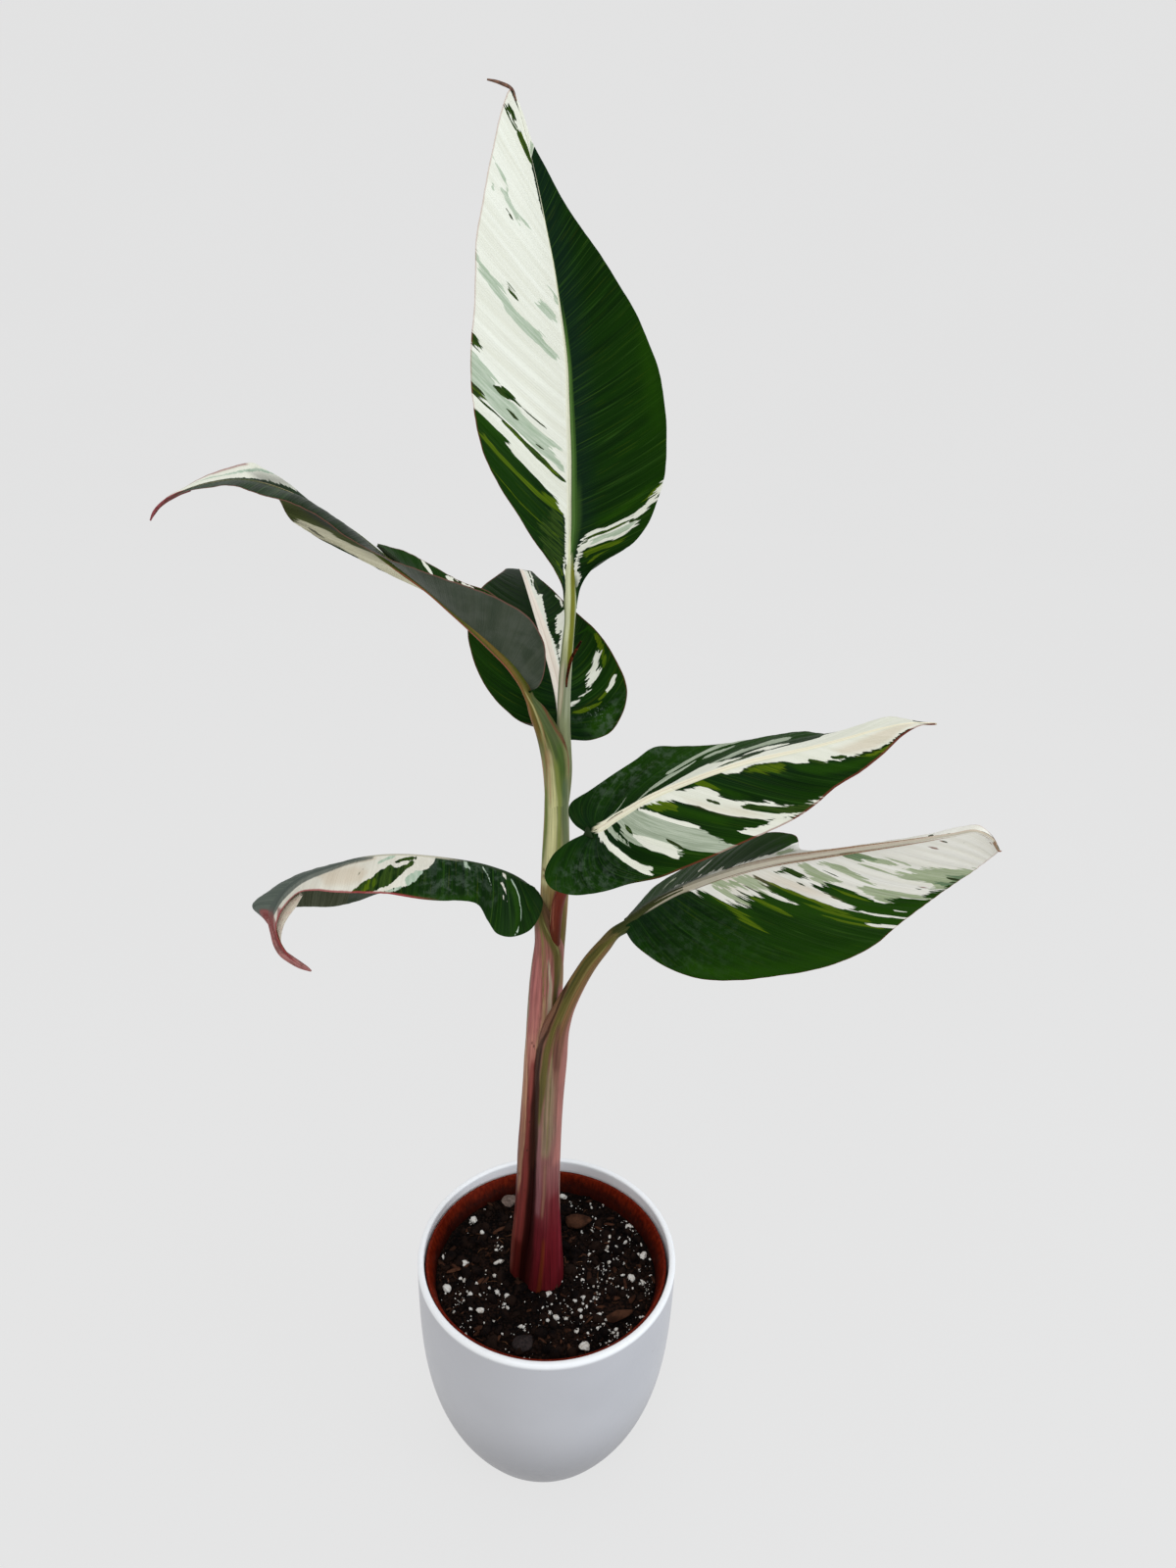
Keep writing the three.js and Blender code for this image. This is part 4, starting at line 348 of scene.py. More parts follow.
FOLD_C = [
    [-66.28, -17.4, 506.03, 0.4],
    [-64.6, -17.2, 504.57, 0.7],
    [-62.61, -16.8, 502.69, 0.9],
    [-60.25, -16.4, 500.63, 0.8],
    [-57.89, -16, 498.37, 0.5],
]
TIP_C = [
    [-132.13, -18, 524.13, 0.55],
    [-136.46, -18.2, 522.64, 0.7],
    [-140.96, -18.3, 520.23, 0.72],
    [-144.1, -18.3, 517.84, 0.66],
    [-146.17, -18.3, 515.64, 0.55],
    [-147.85, -18.2, 512.71, 0.3],
]
HOOK = [
    [-19.09, 26, 650.02, 0.6],
    [-20.42, 26, 653.6, 0.5],
    [-21.55, 25.5, 654.25, 0.6],
    [-23.18, 25, 654.81, 0.6],
    [-25.58, 24, 655.47, 0.5],
    [-28.51, 23.5, 655.93, 0.3],
]
FILAMENT = [
    [8.86, -2.5, 466.25, 0.35],
    [7.22, -2.8, 463.05, 0.5],
    [5.39, -3, 459.37, 0.6],
    [4.33, -3, 454.78, 0.6],
    [3.65, -3, 450.17, 0.5],
    [3.53, -3, 446.81, 0.35],
]
# pieces lying on the soil: (name, x, y, half sizes a b c, turn, seed, kind)
SOIL_PIECES = [
    ("tan_pebble", -23.6, 45.2, 4.2, 3.4, 2.6, 0.3, 1, "pebble"),
    ("dark_stone", -9.9, -47.4, 5.2, 4.2, 2.6, 0.2, 2, "stone"),
    ("bark_chip_right", 38.4, -28.4, 7.4, 2.8, 1.6, 0.42, 3, "bark"),
    ("bark_stick", 22.6, -5.2, 1.5, 4.2, 1.1, 0.05, 4, "bark"),
    ("bark_lump", 16.1, 32, 6.5, 4.8, 2, 0.2, 5, "bark"),
    ("perlite_01", -43.3, 1.3, 2.2, 1.9, 1.6, 0.3, 6, "perlite"),
    ("perlite_02", -19.3, -18.9, 1.9, 1.6, 1.3, 0.1, 7, "perlite"),
    ("perlite_03", 51.5, 10.7, 2.5, 2.1, 1.8, 0.5, 8, "perlite"),
    ("perlite_04", 44.9, -4.1, 2.1, 2.3, 1.7, 0.2, 9, "perlite"),
    ("perlite_05", -25.7, 2.9, 3.2, 1.5, 1.3, 0.5, 10, "perlite"),
    ("perlite_06", 7, 52, 2.5, 1.7, 1.5, 0.1, 11, "perlite"),
    ("perlite_07", -51.1, -15.3, 2.6, 1.9, 1.6, -0.4, 12, "perlite"),
    ("perlite_08", 20.7, -47.1, 3, 2.4, 1.8, 0.2, 13, "perlite"),
    ("perlite_09", 1.9, -17, 2.2, 1.7, 1.4, 0.1, 14, "perlite"),
    ("perlite_10", -32.6, -28.2, 2.3, 1.5, 1.2, 0, 15, "perlite"),
    ("perlite_11", -41.9, 31.9, 2, 2.8, 1.5, 0.1, 16, "perlite"),
]
# marks on the blades: (kind, part, side, line width or 0 for an outline, [(mm along the blade, share of the half width), ...])
MARKS = {}
MARKS["A"] = [
    ("G", "", "a", 0, [(53.2, -0.076), (47.1, -0.076), (37.6, -0.088), (27.1, -0.126), (11.0, -0.491), (7.0, -1.400), (16.0, -0.793), (28.6, -0.453), (45.6, -0.315), (53.2, -0.227), (53.7, -0.138)]),
    ("G", "", "a", 0, [(53.2, -0.076), (9.5, -0.642), (7.0, -1.400), (16.0, -0.793), (45.6, -0.315)]),
    ("W", "", "a", 0, [(182.5, -1.400), (188.0, -1.400), (183.0, 0.300), (170.5, -0.138), (158.5, -0.063), (145.4, 0.300), (130.9, 0.300), (120.3, 0.300), (100.8, 0.300), (80.2, 0.300), (66.2, 0.300), (41.1, 0.300), (30.1, 0.300), (27.6, -0.101), (38.1, -0.076), (47.1, -0.063), (53.2, -0.076), (56.2, -0.101), (58.2, -0.164), (58.2, -0.201), (58.7, -0.176), (58.7, -0.289), (59.2, -0.403), (59.7, -0.529), (59.7, -0.629), (60.7, -0.667), (62.7, -0.667), (63.7, -0.692), (62.7, -0.768), (62.7, -0.843), (62.2, -0.919), (61.7, -0.994), (58.7, -1.400), (85.7, -1.400), (114.3, -1.400), (136.4, -1.400), (156.4, -1.400)]),
    ("W", "", "b", 0, [(188.0, 1.400), (188.0, -0.300), (183.0, 0.113), (175.0, -0.300), (173.5, 0.101), (173.5, 0.768), (173.0, 1.400), (175.5, 1.400), (181.5, 1.400), (187.5, 1.400)]),
    ("G", "", "", 0, [(174.0, -0.944), (177.0, -0.831), (178.0, -0.667), (176.5, -0.604), (174.0, -0.642), (173.5, -0.717), (174.5, -0.780), (173.0, -0.868), (171.5, -0.944)]),
    ("K", "", "", 0.7, [(173.5, -0.780), (173.0, -0.680), (174.5, -0.529)]),
    ("G", "", "", 0.8, [(172.0, -0.931), (171.5, -0.831), (171.5, -0.705), (172.0, -0.579)]),
    ("G", "", "", 0, [(173.0, -0.579), (176.0, -0.365), (175.0, -0.289), (175.0, -0.126), (173.0, -0.076), (170.5, -0.088), (169.5, -0.227), (170.0, -0.340), (170.5, -0.466), (171.0, -0.566)]),
    ("Y", "", "", 0, [(173.0, -0.579), (176.0, -0.365), (175.0, -0.289), (175.0, -0.126), (173.0, -0.076), (170.5, -0.088), (169.5, -0.227), (170.0, -0.340), (170.5, -0.466), (171.0, -0.566)]),
    ("S", "", "b", 0, [(176.0, 0.755), (174.0, 1.019), (173.5, 0.768), (173.5, 0.101), (175.0, -0.300)]),
    ("S", "", "a", 0, [(150.4, -1.007), (149.9, -0.919), (149.9, -0.831), (149.9, -0.755), (148.9, -0.717), (147.4, -0.768), (148.4, -0.856), (148.9, -0.956), (149.9, -1.007)]),
    ("S", "", "a", 0, [(145.4, -0.831), (147.9, -0.780), (148.9, -0.717), (146.4, -0.705), (144.9, -0.654), (144.4, -0.591), (142.9, -0.541), (141.4, -0.516), (140.4, -0.591), (141.9, -0.642), (142.9, -0.705), (143.9, -0.768), (143.9, -0.818)]),
    ("S", "", "a", 0.9, [(144.9, -0.591), (144.4, -0.516), (145.4, -0.428), (145.4, -0.352)]),
    ("K", "", "a", 0.6, [(141.4, -0.755), (140.9, -0.692), (139.9, -0.642)]),
    ("S", "", "a", 0.5, [(143.9, -0.956), (140.9, -0.906)]),
    ("S", "", "a", 0, [(117.3, -1.019), (115.8, -0.994), (114.3, -0.956), (114.3, -0.893), (113.8, -0.856), (114.8, -0.831), (114.3, -0.793), (115.3, -0.730), (112.8, -0.742), (112.8, -0.692), (111.8, -0.629), (111.3, -0.554), (112.3, -0.466), (112.3, -0.390), (113.3, -0.327), (113.3, -0.277), (111.3, -0.277), (111.3, -0.214), (111.3, -0.138), (110.8, -0.113), (108.8, -0.126), (108.3, -0.189), (107.8, -0.277), (108.3, -0.352), (107.3, -0.453), (107.3, -0.529), (107.3, -0.617), (108.3, -0.692), (109.3, -0.755), (109.3, -0.843), (110.3, -0.906), (111.3, -0.969), (113.8, -1.007), (115.8, -1.400)]),
    ("G", "", "a", 0, [(116.8, -0.680), (118.3, -0.642), (117.8, -0.604), (115.8, -0.629), (115.3, -0.667)]),
    ("Y", "", "a", 0, [(116.8, -0.680), (118.3, -0.642), (117.8, -0.604), (115.8, -0.629), (115.3, -0.667)]),
    ("G", "", "a", 0.7, [(116.3, -0.629), (115.8, -0.617), (115.3, -0.591)]),
    ("S", "", "a", 0, [(121.3, -0.378), (125.4, -0.252), (125.9, -0.164), (125.4, -0.101), (122.8, -0.088), (121.3, -0.201), (121.3, -0.264), (121.3, -0.327)]),
    ("S", "", "a", 0.6, [(132.9, -0.201), (132.9, -0.113), (132.4, -0.050), (129.9, -0.050)]),
    ("G", "", "a", 0, [(90.8, -1.400), (91.3, -0.994), (90.3, -0.956), (89.8, -0.919), (87.7, -0.931), (86.7, -0.919), (84.7, -0.931), (85.2, -0.969), (86.7, -0.994)]),
    ("S", "", "a", 0, [(83.2, -1.400), (84.7, -0.969), (85.2, -0.919), (83.7, -0.893), (83.2, -0.818), (82.7, -0.755), (82.2, -0.742), (80.2, -0.768), (79.2, -0.730), (78.7, -0.705), (79.7, -0.642), (80.2, -0.566), (79.2, -0.516), (78.7, -0.390), (78.7, -0.315), (78.7, -0.252), (79.2, -0.176), (78.7, -0.076), (76.7, -0.164), (76.7, -0.239), (75.2, -0.227), (74.2, -0.164), (73.7, -0.101), (70.7, -0.050), (70.2, -0.126), (71.2, -0.201), (70.7, -0.277), (70.7, -0.327), (71.2, -0.440), (71.7, -0.541), (71.7, -0.642), (71.7, -0.730), (71.7, -0.831), (72.2, -0.881), (72.2, -0.931), (72.7, -1.007), (72.7, -1.400)]),
    ("K", "", "a", 1, [(75.7, -0.654), (76.2, -0.629)]),
    ("K", "", "a", 1.6, [(75.7, -0.604), (75.7, -0.566)]),
    ("K", "", "a", 1.1, [(73.2, -0.352), (72.7, -0.315)]),
    ("K", "", "a", 0.8, [(79.7, -0.780), (79.2, -0.755), (79.2, -0.730)]),
    ("G", "", "a", 1.2, [(78.7, -0.742), (80.7, -0.692), (82.2, -0.642), (81.7, -0.604)]),
    ("G", "", "a", 1, [(81.7, -0.629), (81.2, -0.591), (81.2, -0.554), (81.2, -0.529)]),
    ("K", "", "a", 0.6, [(81.2, -0.541), (81.2, -0.428), (81.2, -0.327), (81.7, -0.239)]),
    ("K", "", "a", 1, [(80.7, -0.227), (80.7, -0.214)]),
    ("K", "", "a", 0.9, [(89.3, -0.101), (89.3, -0.088)]),
    ("G", "", "a", 0, [(72.7, -1.400), (73.7, -0.994), (73.7, -0.969), (72.2, -0.956), (72.7, -0.906), (72.2, -0.868), (70.2, -0.906), (68.7, -0.956), (67.7, -1.007), (66.7, -1.400)]),
    ("Y", "", "a", 0, [(72.7, -1.400), (73.7, -0.994), (73.7, -0.969), (72.2, -0.956), (72.7, -0.906), (72.2, -0.868), (70.2, -0.906), (68.7, -0.956), (67.7, -1.007), (66.7, -1.400)]),
    ("K", "", "a", 1, [(73.7, -0.969), (73.2, -0.931), (72.7, -0.881)]),
    ("G", "", "a", 0.9, [(69.7, -0.931), (70.2, -0.856), (70.7, -0.780), (70.7, -0.705)]),
    ("G", "", "a", 2, [(70.7, -0.692), (70.2, -0.617), (69.7, -0.541), (69.2, -0.440)]),
    ("Y", "", "a", 1.9, [(70.7, -0.692), (70.2, -0.617), (69.7, -0.541), (69.2, -0.440), (68.7, -0.340), (68.2, -0.239), (67.7, -0.113)]),
    ("G", "", "a", 2.6, [(69.2, -0.466), (69.2, -0.403), (68.7, -0.340), (68.7, -0.289)]),
    ("G", "", "a", 1.9, [(68.7, -0.315), (68.2, -0.239), (67.7, -0.151), (67.7, -0.088)]),
    ("L", "", "a", 0, [(61.7, -0.994), (62.2, -0.919), (62.7, -0.843), (62.7, -0.768), (63.7, -0.692), (60.7, -0.717), (59.2, -0.793), (58.7, -0.881), (57.7, -0.969), (58.2, -1.019)]),
    ("Y", "", "a", 0, [(52.6, -1.019), (55.2, -0.931), (54.7, -0.868), (54.2, -0.780), (54.2, -0.680), (54.2, -0.579), (54.7, -0.466), (54.7, -0.365), (56.2, -0.277), (58.2, -0.176), (57.2, -0.113), (54.7, -0.063), (53.7, -0.138), (53.2, -0.227), (52.6, -0.315), (52.1, -0.390), (52.1, -0.478), (52.1, -0.579), (51.6, -0.692), (51.6, -0.793), (51.6, -0.893), (52.1, -0.969)]),
    ("Y", "", "a", 0.9, [(42.1, -0.982), (41.6, -0.831), (40.1, -0.680), (40.6, -0.491), (41.6, -0.289), (43.6, -0.101)]),
    ("L", "", "a", 0.9, [(35.1, -1.120), (30.1, -1.044), (29.6, -0.755), (32.6, -0.440)]),
    ("Y", "", "a", 0.8, [(25.1, -0.491), (23.1, -0.315), (16.5, -0.277)]),
    ("W", "", "a", 0.45, [(35.1, -0.151), (26.6, -0.138), (17.0, -0.176), (8.0, -0.403)]),
    ("W", "", "b", 0, [(52.1, 1.019), (49.1, 0.956), (47.1, 0.919), (45.1, 0.856), (43.6, 0.780), (44.6, 0.680), (45.1, 0.529), (46.6, 0.352), (46.6, 0.239), (45.1, 0.189), (42.1, 0.176), (36.6, 0.214), (27.6, 0.227), (13.5, 0.151), (9.5, 0.478), (25.1, 0.340), (35.6, 0.302), (38.6, 0.315), (38.1, 0.466), (38.1, 0.566), (36.1, 0.730), (36.1, 0.805), (37.1, 0.856), (39.1, 0.868), (40.6, 0.805), (43.1, 0.768), (41.1, 0.856), (42.6, 0.919), (43.6, 0.982), (46.6, 0.994), (48.6, 1.400)]),
    ("G", "", "b", 0, [(43.1, 0.201), (44.6, 0.227), (44.1, 0.327), (42.6, 0.302), (41.1, 0.252)]),
    ("Y", "", "b", 0, [(43.1, 0.201), (44.6, 0.227), (44.1, 0.327), (42.6, 0.302), (41.1, 0.252)]),
    ("G", "", "b", 1.2, [(44.6, 0.239), (44.1, 0.352), (43.1, 0.516), (42.6, 0.654), (42.1, 0.755), (42.1, 0.780)]),
    ("Y", "", "b", 0.8, [(44.6, 0.239), (44.1, 0.352), (43.1, 0.516), (42.6, 0.654), (42.1, 0.755)]),
    ("S", "", "b", 0, [(42.1, 0.352), (42.1, 0.466), (41.1, 0.617), (40.6, 0.755), (39.6, 0.843), (38.1, 0.831), (37.6, 0.742), (39.6, 0.566), (39.1, 0.440)]),
    ("G", "", "b", 0.7, [(41.6, 0.793), (40.6, 0.843), (41.1, 0.856)]),
    ("Y", "", "b", 0, [(36.6, 0.340), (37.6, 0.428), (36.1, 0.591), (35.1, 0.742), (34.1, 0.831), (32.1, 0.843), (32.6, 0.742), (33.6, 0.591), (33.6, 0.478), (32.1, 0.415)]),
    ("Y", "", "b", 0.8, [(28.1, 0.503), (31.6, 0.604), (31.6, 0.730)]),
    ("Y", "", "b", 0.8, [(47.6, 0.843), (48.6, 0.919), (51.1, 0.969)]),
    ("Y", "", "b", 0.7, [(45.6, 0.906), (46.6, 0.969), (48.6, 1.007)]),
    ("L", "", "b", 0, [(105.3, 1.007), (97.8, 1.019), (88.3, 0.982), (77.7, 0.969), (69.2, 0.906), (77.2, 0.856), (88.3, 0.843), (97.8, 0.881)]),
    ("L", "", "b", 0, [(51.1, 0.315), (51.1, 0.529), (52.6, 0.717), (54.2, 0.856), (52.1, 0.831), (49.1, 0.742), (48.1, 0.566), (48.6, 0.365)]),
]
MARKS["B"] = [
    ("N", "", "a", 0, [(52.2, -0.856), (80.3, -1.019), (127.5, -1.400), (138.1, 0.300), (104.9, 0.300), (75.3, 0.300), (65.8, -0.201), (76.8, -0.466), (56.7, -0.642)]),
    ("Q", "", "b", 0, [(21.1, 0.201), (27.1, 0.742), (13.1, 1.400), (6.5, 1.400), (2.0, 1.400)]),
    ("W", "", "b", 0, [(139.1, -0.300), (128.5, 0.730), (119.0, 0.566), (112.5, 0.352), (104.4, 0.289), (100.9, 0.289), (102.4, 0.403), (101.4, 0.466), (92.9, 0.315), (84.3, 0.214), (76.3, 0.138), (69.3, 0.126), (61.8, 0.138), (55.7, 0.113), (50.7, 0.101), (40.7, 0.063), (31.1, -0.300), (32.6, -0.300), (40.7, -0.300), (46.7, -0.300), (56.7, -0.300), (69.8, -0.300), (86.4, -0.300), (104.4, -0.300), (151.1, -0.300)]),
    ("G", "", "b", 0.9, [(153.6, 0.982), (111.0, 0.252), (107.4, 0.264)]),
    ("K", "", "b", 0.8, [(116.5, 0.541), (108.4, 0.440), (102.4, 0.365)]),
    ("W", "", "b", 0, [(82.8, 0.466), (82.8, 0.591), (83.3, 0.805), (82.3, 0.944), (71.8, 0.554), (60.8, 0.327), (53.2, 0.201), (49.7, 0.126), (53.7, 0.126), (59.7, 0.151), (65.3, 0.227), (69.3, 0.327), (72.3, 0.378), (72.3, 0.340), (69.8, 0.277), (70.8, 0.227), (75.3, 0.277)]),
    ("W", "", "b", 0.8, [(97.4, 0.906), (91.4, 0.944), (85.4, 0.805)]),
    ("W", "", "b", 0, [(28.1, 0.126), (31.1, 0.138), (32.6, 0.252), (35.1, 0.340), (37.7, 0.415), (39.7, 0.440), (41.7, 0.415), (42.2, 0.365), (43.2, 0.440), (45.2, 0.516), (48.7, 0.642), (50.2, 0.730), (48.7, 0.818), (46.7, 0.742), (44.7, 0.654), (42.2, 0.642), (40.2, 0.554), (37.7, 0.440), (34.6, 0.352), (31.1, 0.239)]),
    ("W", "", "b", 1, [(32.1, 0.692), (34.1, 0.780), (37.2, 0.881)]),
    ("Y", "", "b", 0.8, [(30.1, 0.529), (31.6, 0.642), (33.1, 0.730)]),
    ("L", "", "b", 0, [(13.1, 0.428), (22.1, 0.453), (25.1, 0.617), (26.1, 0.780), (17.6, 0.856), (9.0, 1.019), (5.0, 1.400), (3.0, 1.400)]),
    ("L", "", "b", 1, [(65.3, 0.503), (62.8, 0.919), (52.2, 0.982)]),
    ("Y", "", "b", 1.2, [(24.1, 0.151), (27.6, 0.365), (29.1, 0.579)]),
    ("Y", "", "b", 1, [(58.2, 0.944), (49.2, 0.868), (42.7, 0.768)]),
    ("R", "", "b", 0, [(27.6, 0.365), (27.1, 0.541), (23.6, 0.654), (20.6, 0.654), (22.1, 0.453), (25.1, 0.340)]),
]
MARKS["C"] = [
    ("N", "near", "", 0, [(128.0, 0.264), (110.9, 0.264), (91.4, -0.300), (70.3, 0.906), (79.3, 0.189), (88.4, 1.019), (102.9, 1.400), (117.5, 1.400), (127.0, 0.982)]),
    ("N", "tip", "", 0, [(61.5, 0.453), (49.9, 0.529), (41.9, 0.076), (32.8, -0.300), (20.2, -0.300), (16.1, 0.088), (23.2, 0.390), (32.3, 0.818), (62.0, -0.300)]),
    ("L", "tip", "", 0, [(41.4, 0.931), (36.3, 0.717), (28.7, 0.478), (26.7, 0.289), (22.2, -0.300), (14.6, 0.176), (4.5, 0.856), (6.6, 1.400), (13.1, 1.400)]),
    ("W", "base", "", 1.5, [(63.9, 0.982), (62.9, 0.893), (60.9, 0.793)]),
    ("W", "base", "", 1.2, [(53.9, 0.906), (49.8, 0.931), (46.8, 0.893)]),
    ("K", "base", "", 1, [(50.8, 0.944), (48.3, 0.906), (45.8, 0.881)]),
    ("W", "base", "", 1.4, [(47.3, 0.944), (44.3, 0.919), (41.3, 0.881)]),
    ("K", "base", "", 1, [(45.8, 0.906), (42.8, 0.893)]),
    ("U", "tip", "", 0, [(26.2, 0.843), (25.7, 0.680), (25.7, 0.554), (24.2, 0.478), (22.7, 0.403), (21.2, 0.214), (17.1, -0.300), (2.0, -0.300), (0.0, -0.300), (0.0, 0.050), (0.0, 0.378), (0.5, 0.742), (4.5, 0.856), (6.1, 0.994), (8.1, 1.400)]),
    ("R", "tip", "", 0, [(21.2, 0.428), (19.2, 0.264), (14.1, 0.088), (1.0, -0.300), (0.0, 0.063), (4.5, 0.302), (8.6, 0.566)]),
    ("K", "tip", "", 0.8, [(22.7, 0.780), (20.2, 0.755), (16.6, 0.742)]),
    ("Y", "tip", "", 0, [(34.8, 0.931), (32.8, 0.654), (29.8, 0.378), (24.7, 0.340), (25.7, 0.554), (26.7, 0.755), (26.7, 0.956)]),
    ("P", "tip", "", 0, [(60.0, 0.860), (120.0, 0.780), (120.0, 1.400), (60.0, 1.400)]),
    ("W", "tip", "", 0, [(42.0, 0.170), (60.0, 0.150), (82.0, 0.100), (96.0, -0.300), (200.0, -0.300), (200.0, 1.400), (42.0, 1.400)]),
    ("S", "tip", "", 1.2, [(48.0, 0.620), (60.0, 0.550), (72.0, 0.500), (82.0, 0.550)]),
]
